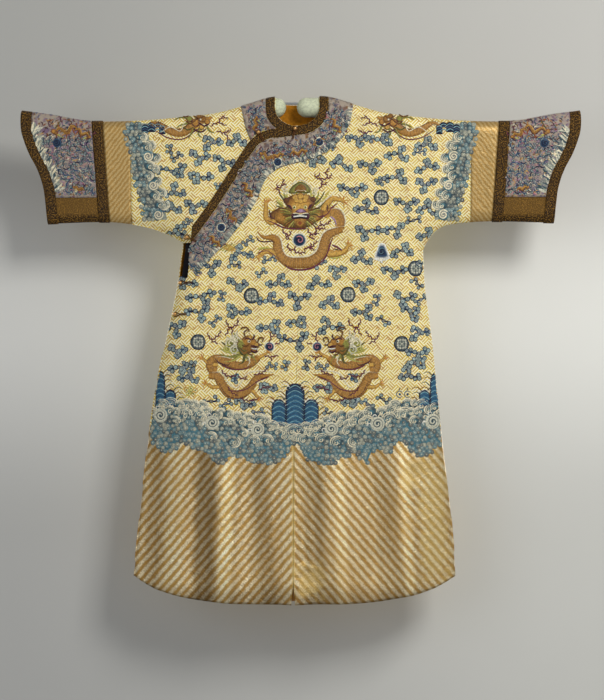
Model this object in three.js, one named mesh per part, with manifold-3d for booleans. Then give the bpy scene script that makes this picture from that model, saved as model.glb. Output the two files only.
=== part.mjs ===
// A Qing-style dragon robe, hung flat on a padded two-armed hanger.
// Millimetres, +Z up. The robe faces -Y, and the wearer's left is +X.
// The origin is the middle of the steel bar between the two padded arms, where a wall hook takes it.
import * as THREE from 'three';
import Module from 'manifold-3d';
import { mergeVertices } from 'three/addons/utils/BufferGeometryUtils.js';

// Cloth
const CLOTH = 2;                 // embroidered silk with its interlining
const BAND_CLOTH = 1.2;          // collar band, ribbons and cuff panels
const BAND_GAP = 0.8;            // a band stands this far off the cloth that it is sewn to
const SEAM_GAP = 0.3;            // between two pieces at a seam

// How the cloth hangs
const SLEEVE_CENTRE = 26;        // x of the line that the two sleeves are even about
const FOLD_RADIUS = 31;          // cloth over a padded arm, to its outside
const BACK_FULLNESS = 3;         // the back hangs this much deeper behind the neck
const SIDE_RADIUS = 60;
const UNDERSLEEVE_RADIUS = 30;
const SLEEVE_FOOT_DEPTH = 13;    // half depth of the sleeve near its lower seam
const FLAP_INSET = 9;            // the under flap lies this far inside the overlap
const TUCK = 6;                  // the right front sinks this far where it passes under the lapel
const UNDER_LAPEL = 40;          // how far the right front runs on below the lapel's edge
const VENT = { top: -1330, halfWidth: 5 };

// Sleeve seams, as reach from SLEEVE_CENTRE
const SLEEVE_SEAM = 474;
const CUFF_SEAM = { top: 553, bottom: 534, topZ: -50, bottomZ: -335 };
const SEAM_RIBBON = 30;
const EDGE_RIBBON = 30;
const CUFF_FOOT_REACH = 708;
const CUFF_PANEL_FOOT = -268;   // z at which the cuff's patterned panel stops

// Neck opening, seen from the front
const NECK = { x: 16, halfWidth: 62, depth: 85, backDepth: 21, straight: 31, backStraight: 13 };
const NECK_RIBBON = 25;
const LAPEL_RIBBON = 24;

// Hanger
const ARM_RADIUS = 28.2;
const ARM_START = 15;            // x of each padded arm's round end
const ARM_END_REACH = 536;       // inside the sleeve, short of the cuff
const BAR = { radius: 3, halfLength: 42, sides: 12 };

// Top fold of the shoulders and sleeves, the same on both sides of SLEEVE_CENTRE
const SHOULDER_LINE = [
  { reach: 0, z: 20 },
  { reach: 80, z: 17 },
  { reach: 140, z: 0 },
  { reach: 235, z: -26 },
  { reach: 335, z: -38 },
  { reach: 440, z: -47 },
  { reach: 560, z: -50 },
  { reach: 610, z: -48 },
  { reach: 700, z: -32 },
  { reach: 781, z: -21 },
];

// Lower edge of each sleeve, from the underarm out
const UNDERSLEEVE = {
  right: [
    { reach: 330, z: -391 },
    { reach: 350, z: -378 },
    { reach: 380, z: -364 },
    { reach: 422, z: -349 },
    { reach: 484, z: -337 },
    { reach: 551, z: -332 },
    { reach: 708, z: -337 },
  ],
  left: [
    { reach: 342, z: -410 },
    { reach: 350, z: -394 },
    { reach: 364, z: -372 },
    { reach: 388, z: -350 },
    { reach: 423, z: -338 },
    { reach: 484, z: -332 },
    { reach: 551, z: -330 },
    { reach: 708, z: -334 },
  ],
};

// Sides and centre seam of the body, in x, with the half depth of the front and back
const BODY = [
  { z: 40, right: -304, left: 368, seam: 20, front: 31, back: 31 },
  { z: -150, right: -304, left: 368, seam: 20, front: 33, back: 32 },
  { z: -391, right: -304, left: 368, seam: 20, front: 36, back: 34 },
  { z: -430, right: -309, left: 369, seam: 20, front: 37, back: 35 },
  { z: -517, right: -321, left: 374, seam: 19, front: 39, back: 36 },
  { z: -651, right: -349, left: 392, seam: 17, front: 42, back: 38 },
  { z: -785, right: -377, left: 406, seam: 13, front: 45, back: 40 },
  { z: -953, right: -402, left: 423, seam: 8, front: 49, back: 43 },
  { z: -1121, right: -421, left: 443, seam: 6, front: 53, back: 46 },
  { z: -1290, right: -438, left: 457, seam: 5, front: 57, back: 49 },
  { z: -1400, right: -440, left: 462, seam: 5, front: 59, back: 50 },
];

// Hem, by the share of the way from the centre seam to the side
const HEM = [
  { share: 0, z: -1398 },
  { share: 0.45, z: -1390 },
  { share: 0.68, z: -1372 },
  { share: 0.86, z: -1348 },
  { share: 1, z: -1322 },
];

// Outer edge of the horse-hoof cuff, down to its foot
const CUFF_EDGE = [
  { z: -20, reach: 781 },
  { z: -80, reach: 780 },
  { z: -113, reach: 771 },
  { z: -147, reach: 757 },
  { z: -181, reach: 738 },
  { z: -214, reach: 725 },
  { z: -248, reach: 717 },
  { z: -340, reach: 708 },
];

// Largest folds of the skirt: x at the hem, half width, how far it stands out there, and its height
const FOLDS = {
  front: [
    { x: -345, width: 62, out: 7, height: 560 },
    { x: -242, width: 52, out: -9, height: 640 },
    { x: -166, width: 50, out: 11, height: 760 },
    { x: -34, width: 42, out: -6, height: 520 },
    { x: 8, width: 30, out: 6, height: 620 },
    { x: 76, width: 46, out: -8, height: 560 },
    { x: 146, width: 48, out: 11, height: 700 },
    { x: 284, width: 42, out: -8, height: 620 },
    { x: 330, width: 42, out: 9, height: 740 },
  ],
  back: [
    { x: -330, width: 60, out: 8, height: 640 },
    { x: -205, width: 60, out: -8, height: 700 },
    { x: -95, width: 52, out: 10, height: 560 },
    { x: 5, width: 34, out: -6, height: 600 },
    { x: 105, width: 55, out: 9, height: 720 },
    { x: 225, width: 60, out: -9, height: 620 },
    { x: 345, width: 58, out: 8, height: 680 },
  ],
};

// Upper edge of the overlap, from the neck's front to its corner and down the lapel to the underarm
const LAPEL_EDGE = [
  { x: 20, z: -66 },
  { x: -30, z: -73 },
  { x: -68, z: -77 },
  { x: -98, z: -88 },
  { x: -113, z: -105 },
  { x: -164, z: -180 },
  { x: -225, z: -274 },
  { x: -268, z: -334 },
  { x: -304, z: -377 },
];
const LAPEL_CORNER = 3;          // row of that table at which the lapel turns down

// Lower edge of the patterned collar band, from the left shoulder to the lapel's foot
const BAND_LOWER_EDGE = [
  { x: 178, z: 40 },
  { x: 172, z: -8 },
  { x: 163, z: -60 },
  { x: 137, z: -104 },
  { x: 104, z: -135 },
  { x: 60, z: -158 },
  { x: 16, z: -168 },
  { x: -30, z: -182 },
  { x: -72, z: -215 },
  { x: -98, z: -275 },
  { x: -130, z: -325 },
  { x: -186, z: -395 },
  { x: -236, z: -446 },
  { x: -270, z: -478 },
];

// Outer edge of the collar band on the right shoulder, down to where it passes under the lapel
const RIGHT_BAND_EDGE = [
  { x: -141, z: 40 },
  { x: -140, z: -14 },
  { x: -127, z: -74 },
  { x: -112, z: -110 },
];
const BACK_BAND_DEPTH = 112;     // of the collar band behind the neck, below the shoulder line

// Slit between the underarm and the first side loop
const SLIT = { topX: -277, footX: -290, top: -382, foot: -492 };

// Ball buttons, each with the way its cord loop runs from it
const BUTTONS = [
  { name: 'neck', x: 10, z: -74, toX: -0.25, toZ: -1, on: 'ribbon' },
  { name: 'lapel', x: -92, z: -84, toX: 0.6, toZ: -1, on: 'ribbon' },
  { name: 'underarm', x: -290, z: -374, toX: 1, toZ: -0.55, on: 'ribbon' },
  { name: 'upper_side', x: -306, z: -503, toX: 1, toZ: 0.04, on: 'cloth' },
  { name: 'lower_side', x: -322, z: -591, toX: 1, toZ: 0.04, on: 'cloth' },
];
const BALL_RADIUS = 5.5;
const CORD_RADIUS = 1.4;
const LOOP_LENGTH = 30;

// Small maths
const lerp = (a, b, t) => a + (b - a) * t;
const clamp = (value, low, high) => Math.min(high, Math.max(low, value));
const steps = (from, to, count) => Array.from({ length: count + 1 }, (_, i) => lerp(from, to, i / count));
// Shares of a radius, from the edge in, that stand at even angles round it
const arc = (count) => steps(0, Math.PI / 2, count).map((turn) => 1 - Math.cos(turn));

function smoothstep(low, high, value) {
  const t = clamp((value - low) / (high - low), 0, 1);
  return t * t * (3 - 2 * t);
}

// Reads a column of a table between its rows, along a smooth curve through them.
function read(table, key, at, column) {
  const rising = table[1][key] > table[0][key];
  let i = 0;
  while (i < table.length - 2 && (rising ? at > table[i + 1][key] : at < table[i + 1][key])) i += 1;
  const span = table[i + 1][key] - table[i][key];
  const t = clamp((at - table[i][key]) / span, 0, 1);
  const rise = (j) => {
    const before = table[Math.max(j - 1, 0)];
    const after = table[Math.min(j + 1, table.length - 1)];
    return span * (after[column] - before[column]) / (after[key] - before[key]);
  };
  const curve = [lerp(table[i][column], table[i + 1][column], t * t * (3 - 2 * t))];
  curve.push(t * (1 - t) * (1 - t) * rise(i), t * t * (t - 1) * rise(i + 1));
  return curve[0] + curve[1] + curve[2];
}

const sign = (side) => (side === 'right' ? -1 : 1);
const reachOf = (x) => Math.abs(x - SLEEVE_CENTRE);
const xAtReach = (side, reach) => SLEEVE_CENTRE + sign(side) * reach;
const shoulderZ = (x) => read(SHOULDER_LINE, 'reach', reachOf(x), 'z');
const undersleeveZ = (side, reach) => read(UNDERSLEEVE[side], 'reach', reach, 'z');
const bodyAt = (z, column) => read(BODY, 'z', z, column);
const ventAt = (z) => VENT.halfWidth * smoothstep(VENT.top, HEM[0].z, z);
const UNDERARM = { right: UNDERSLEEVE.right[0].z, left: UNDERSLEEVE.left[0].z };

// Share of full depth at a distance in from an edge that is rounded over that radius
function rounding(distance, radius) {
  const t = clamp(distance / radius, 0, 1);
  return Math.sqrt(1 - (1 - t) * (1 - t));
}

// The garment's lower outline on one side, from the cuff along the sleeve and down the side seam
function lowerOutline(side) {
  const line = UNDERSLEEVE[side].map((row) => ({ x: xAtReach(side, row.reach), z: row.z })).reverse();
  BODY.filter((row) => row.z < UNDERARM[side]).forEach((row) => line.push({ x: row[side], z: row.z }));
  return line;
}
const OUTLINE = { right: lowerOutline('right'), left: lowerOutline('left') };

function distanceToOutline(x, z) {
  const line = OUTLINE[x < SLEEVE_CENTRE ? 'right' : 'left'];
  let best = Infinity;
  for (let i = 0; i < line.length - 1; i += 1) {
    const [dx, dz] = [line[i + 1].x - line[i].x, line[i + 1].z - line[i].z];
    const t = clamp(((x - line[i].x) * dx + (z - line[i].z) * dz) / (dx * dx + dz * dz), 0, 1);
    best = Math.min(best, Math.hypot(x - line[i].x - t * dx, z - line[i].z - t * dz));
  }
  return best;
}

function foldsAt(face, x, z) {
  const hemWidth = BODY.at(-1).left - BODY.at(-1).right;
  const spread = (bodyAt(z, 'left') - bodyAt(z, 'right')) / hemWidth;
  const shift = bodyAt(z, 'seam') - BODY.at(-1).seam;
  return FOLDS[face].reduce((total, fold) => {
    const across = (x - fold.x * spread - shift) / fold.width;
    const grown = smoothstep(HEM[0].z + fold.height, HEM[0].z, z);
    return total + fold.out * grown * Math.exp(-across * across);
  }, 0);
}

// Distance from the middle plane to the outside of the cloth; inset gives a layer further in
function halfDepth(face, x, z, inset) {
  const drop = shoulderZ(x) - z;
  const onSleeve = smoothstep(300, 430, reachOf(x));
  const behindNeck = face === 'back' ? smoothstep(200, 90, reachOf(x)) * smoothstep(300, 120, drop) : 0;
  const fuller = BACK_FULLNESS * behindNeck;
  const taper = clamp((drop - FOLD_RADIUS) / 260, 0, 1);
  const deep = lerp(bodyAt(z, face) + fuller, lerp(FOLD_RADIUS, SLEEVE_FOOT_DEPTH, taper), onSleeve);
  const radius = lerp(SIDE_RADIUS, UNDERSLEEVE_RADIUS, onSleeve) - inset;
  const edge = rounding(Math.max(distanceToOutline(x, z) - inset, 0), radius);
  return (deep - inset + foldsAt(face, x, z)) * edge * rounding(drop, FOLD_RADIUS);
}

// A point on the outside of the cloth
function clothPoint(face, x, z, inset = 0) {
  const depth = Math.max(halfDepth(face, x, z, inset), SEAM_GAP / 2);
  return new THREE.Vector3(x, face === 'front' ? -depth : depth, z);
}

const LAPEL_BY_X = [...LAPEL_EDGE].reverse();
const lapelZ = (x) => read(LAPEL_BY_X, 'x', clamp(x, LAPEL_BY_X[0].x, LAPEL_BY_X.at(-1).x), 'z');

// A point on the right front, which sinks where it passes under the lapel
function rightFrontPoint(x, z) {
  const point = clothPoint('front', x, z);
  const drop = shoulderZ(x) - z;
  const sunk = TUCK * smoothstep(38, 95, drop) * smoothstep(lapelZ(x) + 95, lapelZ(x) + 20, z);
  point.y = Math.min(point.y + sunk, -SEAM_GAP / 2);
  return point;
}

// Height of the neck opening's edge at an x inside it
function neckZ(face, x, widen = 0) {
  const across = clamp((x - NECK.x) / (NECK.halfWidth + widen), -1, 1);
  const straight = face === 'front' ? NECK.straight : NECK.backStraight;
  const deep = (face === 'front' ? NECK.depth : NECK.backDepth) + widen - straight;
  return shoulderZ(x) - straight - deep * Math.sqrt(1 - across * across);
}

// Joins the points of a grid into a sheet. Points that meet are made one, so a row can end in a corner.
// forwards: its outside shows to -Y when its columns run along +X and its rows run down.
function gridSheet({ columns, rows, pointAt, forwards, has, skip, onFold, onSeam }) {
  const sheet = { points: [], triangles: [], folds: new Set(), seams: new Set() };
  const numbers = new Map();
  const seen = new Map();
  for (let c = 0; c < columns; c += 1) {
    for (let r = 0; r < rows; r += 1) {
      if (!has || has(c, r)) {
        const point = pointAt(c, r);
        const place = point.toArray().map((value) => Math.round(value * 50)).join();
        if (!seen.has(place)) seen.set(place, sheet.points.push(point) - 1);
        const number = seen.get(place);
        numbers.set(c * rows + r, number);
        if (onFold && onFold(c, r)) sheet.folds.add(number);
        if (onSeam && onSeam(c, r)) sheet.seams.add(number);
      }
    }
  }
  for (let c = 0; c < columns - 1; c += 1) {
    for (let r = 0; r < rows - 1; r += 1) {
      const at = [[c, r], [c + 1, r], [c + 1, r + 1], [c, r + 1]].map(([i, j]) => numbers.get(i * rows + j));
      const whole = at.every((number) => number !== undefined);
      if (whole && !(skip && skip(c, r))) {
        [[at[0], at[1], at[2]], [at[0], at[2], at[3]]].forEach((corners) => {
          if (new Set(corners).size === 3) sheet.triangles.push(forwards ? corners.reverse() : corners);
        });
      }
    }
  }
  return sheet;
}

function meshGeometry(points, triangles) {
  const geometry = new THREE.BufferGeometry();
  geometry.setAttribute('position', new THREE.Float32BufferAttribute(points.flatMap((p) => p.toArray()), 3));
  geometry.setIndex(triangles.flat());
  return geometry;
}

// Gives a sheet a wall, between two heights over its points, and closes its edges.
function thicken(sheet, outside, inside) {
  const normals = sheet.points.map(() => new THREE.Vector3());
  sheet.triangles.forEach(([a, b, c]) => {
    const ab = sheet.points[b].clone().sub(sheet.points[a]);
    const face = ab.cross(sheet.points[c].clone().sub(sheet.points[a]));
    [a, b, c].forEach((i) => normals[i].add(face));
  });
  normals.forEach((normal, i) => {
    if (sheet.folds.has(i)) normal.setY(0);
    if (sheet.seams.has(i)) normal.setX(0);
    normal.normalize();
  });
  const layer = (height) => sheet.points.map((point, i) => point.clone().addScaledVector(normals[i], height));
  const count = sheet.points.length;
  const edges = new Map();
  sheet.triangles.forEach((corners) => corners.forEach((a, i) => {
    const b = corners[(i + 1) % 3];
    if (!edges.delete(`${b},${a}`)) edges.set(`${a},${b}`, [a, b]);
  }));
  const all = [...sheet.triangles, ...sheet.triangles.map(([a, b, c]) => [a + count, c + count, b + count])];
  edges.forEach(([a, b]) => all.push([b, a, a + count], [b, a + count, b + count]));
  return meshGeometry([...layer(outside), ...layer(inside)], all);
}

const cloth = (sheet) => thicken(sheet, 0, -CLOTH);
const laid = (sheet) => thicken(sheet, BAND_GAP + BAND_CLOTH, BAND_GAP);

// Drops below the shoulder fold and heights above the lower edge, at which every upper row stands
const TOP_ROWS = arc(5).map((share) => share * FOLD_RADIUS);
const FOOT_ROWS = arc(3).map((share) => share * UNDERSLEEVE_RADIUS).reverse();
const MIDDLE_ROWS = 4;
const SKIRT_ROWS = 11;
const RIGHT_FRONT_ROWS = 8;      // finer, because it sinks under the lapel
const rowCount = (middle) => TOP_ROWS.length + middle + FOOT_ROWS.length - 1;
const UPPER_ROWS = rowCount(MIDDLE_ROWS);

function upperRowZ(r, top, foot, middle = MIDDLE_ROWS) {
  if (r < TOP_ROWS.length) return top - TOP_ROWS[r];
  const ending = r - TOP_ROWS.length - middle + 1;
  if (ending >= 0) return foot + FOOT_ROWS[ending];
  return lerp(top - FOLD_RADIUS, foot + UNDERSLEEVE_RADIUS, (r - TOP_ROWS.length + 1) / middle);
}

// Columns of a half panel: across the neck opening, over the shoulder and round the side, then the sleeve
function halfColumns(side, neckSteps, shoulderSteps) {
  const s = sign(side);
  const across = steps(0, Math.PI / 2, neckSteps).map((turn) => NECK.x + s * NECK.halfWidth * Math.sin(turn));
  across[0] = bodyAt(0, 'seam');
  const edge = bodyAt(UNDERARM[side], side);
  const over = steps(across.at(-1), edge - s * SIDE_RADIUS, shoulderSteps).slice(1);
  const round = arc(4).reverse().slice(1).map((share) => edge - s * SIDE_RADIUS * share);
  const sleeve = UNDERSLEEVE[side].slice(1).filter((row) => row.reach < SLEEVE_SEAM - 20)
    .map((row) => xAtReach(side, row.reach));
  const body = [...across, ...over, ...round];
  return { xs: [...body, ...sleeve, xAtReach(side, SLEEVE_SEAM)], corner: body.length - 1 };
}

// The neck's edge runs straight down from the shoulder fold before it curves: no cloth bridges that corner.
const besideNeck = (face, neckSteps) => (c, r) => {
  const straight = face === 'front' ? NECK.straight : NECK.backStraight;
  return c === neckSteps - 1 && TOP_ROWS[r + 1] <= straight + 0.1;
};
const inNeck = (x) => Math.abs(x - NECK.x) < NECK.halfWidth - 0.5;
const outsideNeck = (x) => Math.abs(x - NECK.x) > NECK.halfWidth - 0.5;

// A half of the front or back, cut in one with its upper sleeve, from the centre seam to the sleeve seam
function halfSheet(side, face, neckSteps, shoulderSteps) {
  const { xs, corner } = halfColumns(side, neckSteps, shoulderSteps);
  const s = sign(side);
  const last = xs.length - 1;
  const armRow = UPPER_ROWS - 1;
  const vent = face === 'front' ? ventAt : () => 0;
  const upperPoint = (c, r) => {
    const foot = c <= corner ? UNDERARM[side] : undersleeveZ(side, reachOf(xs[c]));
    const level = upperRowZ(r, shoulderZ(xs[c]), foot);
    const z = inNeck(xs[c]) ? Math.min(level, neckZ(face, xs[c])) : level;
    if (c === 0) return clothPoint(face, bodyAt(z, 'seam') + s * SEAM_GAP / 2, z);
    return clothPoint(face, c === last ? xs[c] - s * SEAM_GAP / 2 : xs[c], z);
  };
  const skirtPoint = (c, r) => {
    const share = (xs[c] - xs[0]) / (xs[corner] - xs[0]);
    const z = lerp(UNDERARM[side], read(HEM, 'share', share, 'z'), (r - armRow) / SKIRT_ROWS);
    const fromEdge = s * (xs[corner] - xs[c]);
    const flat = (xs[c] - xs[0]) / (xs[corner] - s * SIDE_RADIUS - xs[0]);
    const seam = bodyAt(z, 'seam') + s * (SEAM_GAP / 2 + vent(z));
    const edge = bodyAt(z, side);
    const x = fromEdge < SIDE_RADIUS ? edge - s * fromEdge : lerp(seam, edge - s * SIDE_RADIUS, flat);
    return clothPoint(face, x, z);
  };
  return gridSheet({
    columns: xs.length,
    rows: UPPER_ROWS + SKIRT_ROWS,
    pointAt: (c, r) => (r <= armRow ? upperPoint(c, r) : skirtPoint(c, r)),
    forwards: (face === 'front') === (side === 'left'),
    has: (c, r) => c <= corner || r <= armRow,
    skip: besideNeck(face, neckSteps),
    onFold: (c, r) => (r === 0 && outsideNeck(xs[c])) || (c >= corner && r === armRow)
      || (c === corner && r > armRow),
    onSeam: (c) => c === 0 || c === last,
  });
}

// Right front: shoulder and upper sleeve, which run on a little way under the lapel
function rightFrontSheet() {
  const { xs, corner } = halfColumns('right', 6, 6);
  const last = xs.length - 1;
  const footAt = (c) => {
    if (c > corner) return undersleeveZ('right', reachOf(xs[c]));
    return Math.max(lapelZ(xs[c]) - UNDER_LAPEL, UNDERARM.right);
  };
  return gridSheet({
    columns: xs.length,
    rows: rowCount(RIGHT_FRONT_ROWS),
    pointAt: (c, r) => {
      const foot = c <= corner ? UNDERARM.right : footAt(c);
      const level = upperRowZ(r, shoulderZ(xs[c]), foot, RIGHT_FRONT_ROWS);
      const below = inNeck(xs[c]) ? Math.min(level, neckZ('front', xs[c])) : level;
      return rightFrontPoint(c === last ? xs[c] + SEAM_GAP / 2 : xs[c], Math.max(below, footAt(c)));
    },
    forwards: false,
    skip: besideNeck('front', 6),
    onFold: (c, r) => (r === 0 && outsideNeck(xs[c]))
      || (c >= corner && r === rowCount(RIGHT_FRONT_ROWS) - 1),
    onSeam: (c) => c === last,
  });
}

// Right edge of the overlap at a height: lapel, then slit, then the side seam
function overlapEdge(z) {
  if (z > SLIT.top) return read(LAPEL_EDGE.slice(LAPEL_CORNER), 'z', z, 'x');
  if (z > SLIT.foot) return lerp(SLIT.topX, SLIT.footX, (SLIT.top - z) / (SLIT.top - SLIT.foot));
  return bodyAt(z, 'right');
}

// Shares across a panel: even ones over its flat part, then ones that close up round its side
function edgeShares(flatShare, flatSteps, roundSteps) {
  const round = arc(roundSteps).reverse().slice(1).map((share) => 1 - share * (1 - flatShare));
  return [...steps(0, flatShare, flatSteps), ...round];
}

// Overlap: the right half of the outer front, below the lapel
function overlapSheet() {
  const lapelRows = LAPEL_EDGE.slice(LAPEL_CORNER).map((row) => row.z);
  const between = [-142, -227, -305, -356];
  const slitRows = [SLIT.top, lerp(SLIT.top, SLIT.foot, 0.5), SLIT.foot + 3];
  const firstSkirt = SLIT.foot;
  const upper = [...lapelRows, ...between, ...slitRows].sort((a, b) => b - a);
  const flatShare = 0.8;
  const shares = edgeShares(flatShare, 9, 4);
  const skirtRows = 11;
  const seamAt = (z) => bodyAt(z, 'seam') - SEAM_GAP / 2 - ventAt(z);
  const upperPoint = (share, r) => {
    const edge = overlapEdge(upper[r]);
    const x = lerp(seamAt(upper[r]), edge, share);
    return clothPoint('front', x, r === 0 ? lapelZ(x) : upper[r]);
  };
  const skirtPoint = (share, r) => {
    const z = lerp(firstSkirt, read(HEM, 'share', share, 'z'), (r - upper.length) / skirtRows);
    const edge = bodyAt(z, 'right');
    const flat = lerp(seamAt(z), edge + SIDE_RADIUS, share / flatShare);
    const round = lerp(edge + SIDE_RADIUS, edge, (share - flatShare) / (1 - flatShare));
    return clothPoint('front', share <= flatShare ? flat : round, z);
  };
  return gridSheet({
    columns: shares.length,
    rows: upper.length + skirtRows + 1,
    pointAt: (c, r) => (r < upper.length ? upperPoint(shares[c], r) : skirtPoint(shares[c], r)),
    forwards: false,
    onFold: (c, r) => c === shares.length - 1 && r >= upper.length,
    onSeam: (c) => c === 0,
  });
}

// Under flap: the plain inner front on the right side, from the right front's lower edge down
function underFlapSheet() {
  const zs = [UNDERARM.right - SEAM_GAP, ...steps(UNDERARM.right - 60, HEM[0].z + 70, 10)];
  const flatShare = 0.8;
  const shares = edgeShares(flatShare, 7, 3);
  return gridSheet({
    columns: shares.length,
    rows: zs.length,
    pointAt: (c, r) => {
      const inner = lerp(-120, 30, smoothstep(zs[0], zs[0] - 300, zs[r]));
      const x = lerp(inner, bodyAt(zs[r], 'right') + FLAP_INSET, shares[c]);
      return r === 0 ? rightFrontPoint(x, zs[0]) : clothPoint('front', x, zs[r], FLAP_INSET);
    },
    forwards: false,
    onFold: (c, r) => r > 0 && c === shares.length - 1,
  });
}

// One closed ring of points round a sleeve. reachAt(z) lets the ring slant or curve.
function sleeveRing(side, reachAt) {
  const s = sign(side);
  const middle = reachAt(-190);
  const top = shoulderZ(xAtReach(side, middle));
  const foot = undersleeveZ(side, Math.min(middle, CUFF_FOOT_REACH));
  const levels = steps(0, 4, 4).map((i) => lerp(top - FOLD_RADIUS, foot + UNDERSLEEVE_RADIUS, i / 4));
  const zs = [
    ...arc(4).slice(0, -1).map((share) => top - share * FOLD_RADIUS),
    ...levels,
    ...arc(3).reverse().slice(1).map((share) => foot + share * UNDERSLEEVE_RADIUS),
  ];
  const place = (face, z) => {
    const x = SLEEVE_CENTRE + s * reachAt(z);
    const share = (top - z) / (top - foot);
    const hereTop = shoulderZ(x);
    const hereFoot = undersleeveZ(side, Math.min(reachOf(x), CUFF_FOOT_REACH));
    const point = clothPoint(face, x, lerp(hereTop, hereFoot, share));
    if (z === zs[0] || z === zs.at(-1)) point.setY(0);
    return point;
  };
  const front = zs.map((z) => place('front', z));
  const back = zs.slice(1, -1).reverse().map((z) => place('back', z));
  return [...front, ...back, front[0].clone()];
}

// A sheet round a sleeve between two reaches, over the ring places that keep() lets through
function sleeveSheet(side, from, to, count, keep) {
  const rings = steps(0, 1, count).map((t) => sleeveRing(side, (z) => lerp(from(z), to(z), t)));
  return gridSheet({
    columns: rings.length,
    rows: rings[0].length,
    pointAt: (c, r) => rings[c][r],
    forwards: side === 'left',
    has: (c, r) => !keep || rings.every((ring) => keep(ring[r])),
    onSeam: (c) => c === 0 || c === rings.length - 1,
  });
}

const atSleeveSeam = () => SLEEVE_SEAM + SEAM_GAP / 2;
const slantAt = (z) => clamp((CUFF_SEAM.topZ - z) / (CUFF_SEAM.topZ - CUFF_SEAM.bottomZ), 0, 1);
const cuffSeam = (extra) => (z) => lerp(CUFF_SEAM.top, CUFF_SEAM.bottom, slantAt(z)) + extra;
const cuffEdgeZ = (z) => clamp(z, CUFF_EDGE.at(-1).z, CUFF_EDGE[0].z);
const cuffEdge = (back) => (z) => read(CUFF_EDGE, 'z', cuffEdgeZ(z), 'reach') - back;

// Solids, for cutting one piece with another
const wasm = await Module();
wasm.setup();

function solidOf(geometry) {
  const bare = geometry.clone();
  bare.deleteAttribute('normal');
  bare.deleteAttribute('uv');
  const merged = mergeVertices(bare, 1e-4);
  return new wasm.Manifold(new wasm.Mesh({
    numProp: 3,
    vertProperties: new Float32Array(merged.attributes.position.array),
    triVerts: new Uint32Array(merged.index.array),
  }));
}

function geometryOf(solid) {
  const mesh = solid.getMesh();
  const geometry = new THREE.BufferGeometry();
  geometry.setAttribute('position', new THREE.BufferAttribute(Float32Array.from(mesh.vertProperties), 3));
  geometry.setIndex(new THREE.BufferAttribute(Uint32Array.from(mesh.triVerts), 1));
  return geometry;
}

// Cuts a piece out of a sheet's laid layer by its outline, given in x and z.
function cutLaid(sheet, face, outline) {
  const turned = outline.reduce((total, p, i) => {
    const next = outline[(i + 1) % outline.length];
    return total + p.x * next.z - next.x * p.z;
  }, 0);
  const polygon = outline.map((p) => [p.x, p.z]);
  if (turned < 0) polygon.reverse();
  const depth = 200;
  const prism = wasm.Manifold.extrude([polygon], depth).rotate([90, 0, 0]);
  return geometryOf(solidOf(laid(sheet)).intersect(prism.translate([0, face === 'back' ? depth : 0, 0])));
}

// The same line moved sideways, to its left as it runs
function offsetLine(line, distance) {
  return line.map((point, i) => {
    const before = line[Math.max(i - 1, 0)];
    const after = line[Math.min(i + 1, line.length - 1)];
    const length = Math.hypot(after.x - before.x, after.z - before.z);
    return {
      x: point.x - distance * (after.z - before.z) / length,
      z: point.z + distance * (after.x - before.x) / length,
    };
  });
}

// The neck opening's edge, widened, over a range of turns round it (0 is the wearer's left)
function neckLine(face, from, to, count, widen) {
  return steps(from, to, count).map((degrees) => {
    const x = NECK.x + (NECK.halfWidth + widen) * Math.cos(THREE.MathUtils.degToRad(degrees));
    return { x, z: neckZ(face, x, widen) };
  });
}

const risen = (point) => ({ x: point.x, z: 60 });
const seamX = bodyAt(0, 'seam');

// Front of the collar on the wearer's left: ribbon round the neck, then the patterned band outside it
function leftNeckRibbon() {
  const outer = neckLine('front', 0, 90, 9, NECK_RIBBON);
  return [risen({ x: NECK.x }), risen(outer[0]), ...outer];
}

function leftBand() {
  const inner = neckLine('front', 0, 90, 9, NECK_RIBBON + 1).reverse();
  const outer = BAND_LOWER_EDGE.filter((row) => row.x > seamX);
  return [...inner, risen(inner.at(-1)), ...outer, { x: 0, z: -165 }];
}

const lapelFoot = LAPEL_EDGE.at(-1);
const lapelLine = LAPEL_EDGE.filter((row, i) => i !== LAPEL_CORNER);

function lapelRibbon() {
  const lower = offsetLine(lapelLine, LAPEL_RIBBON);
  lower[0] = { x: 22, z: -68 - NECK_RIBBON };
  const above = [{ x: 22, z: 0 }, { x: -60, z: 0 }, { x: -330, z: -340 }, { x: -330, z: lapelFoot.z - 30 }];
  return [...above, ...lower.reverse()];
}

function lapelBand() {
  const upper = offsetLine(lapelLine, LAPEL_RIBBON + 1);
  upper[0] = { x: 22, z: -69 - NECK_RIBBON };
  const lower = BAND_LOWER_EDGE.filter((row) => row.x < seamX).reverse();
  return [...upper, { x: -290, z: -440 }, ...lower, { x: 22, z: -167 }];
}

// Collar on the right front, down to where the lapel covers it
function rightNeckRibbon() {
  const outer = neckLine('front', 180, 118, 6, NECK_RIBBON);
  return [risen({ x: NECK.x }), risen(outer[0]), ...outer, { x: -20, z: -78 }, { x: NECK.x, z: -60 }];
}

function rightBand() {
  const inner = neckLine('front', 180, 118, 6, NECK_RIBBON + 1);
  const underLapel = [{ x: -60, z: -94 }, { x: -100, z: -104 }];
  return [risen(inner[0]), ...inner, ...underLapel, ...[...RIGHT_BAND_EDGE].reverse()];
}

// Collar behind the neck
function backNeckRibbon(side) {
  const [from, to] = side === 'left' ? [0, 90] : [180, 90];
  const outer = neckLine('back', from, to, 7, NECK_RIBBON);
  return [risen({ x: NECK.x }), risen(outer[0]), ...outer];
}

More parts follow.
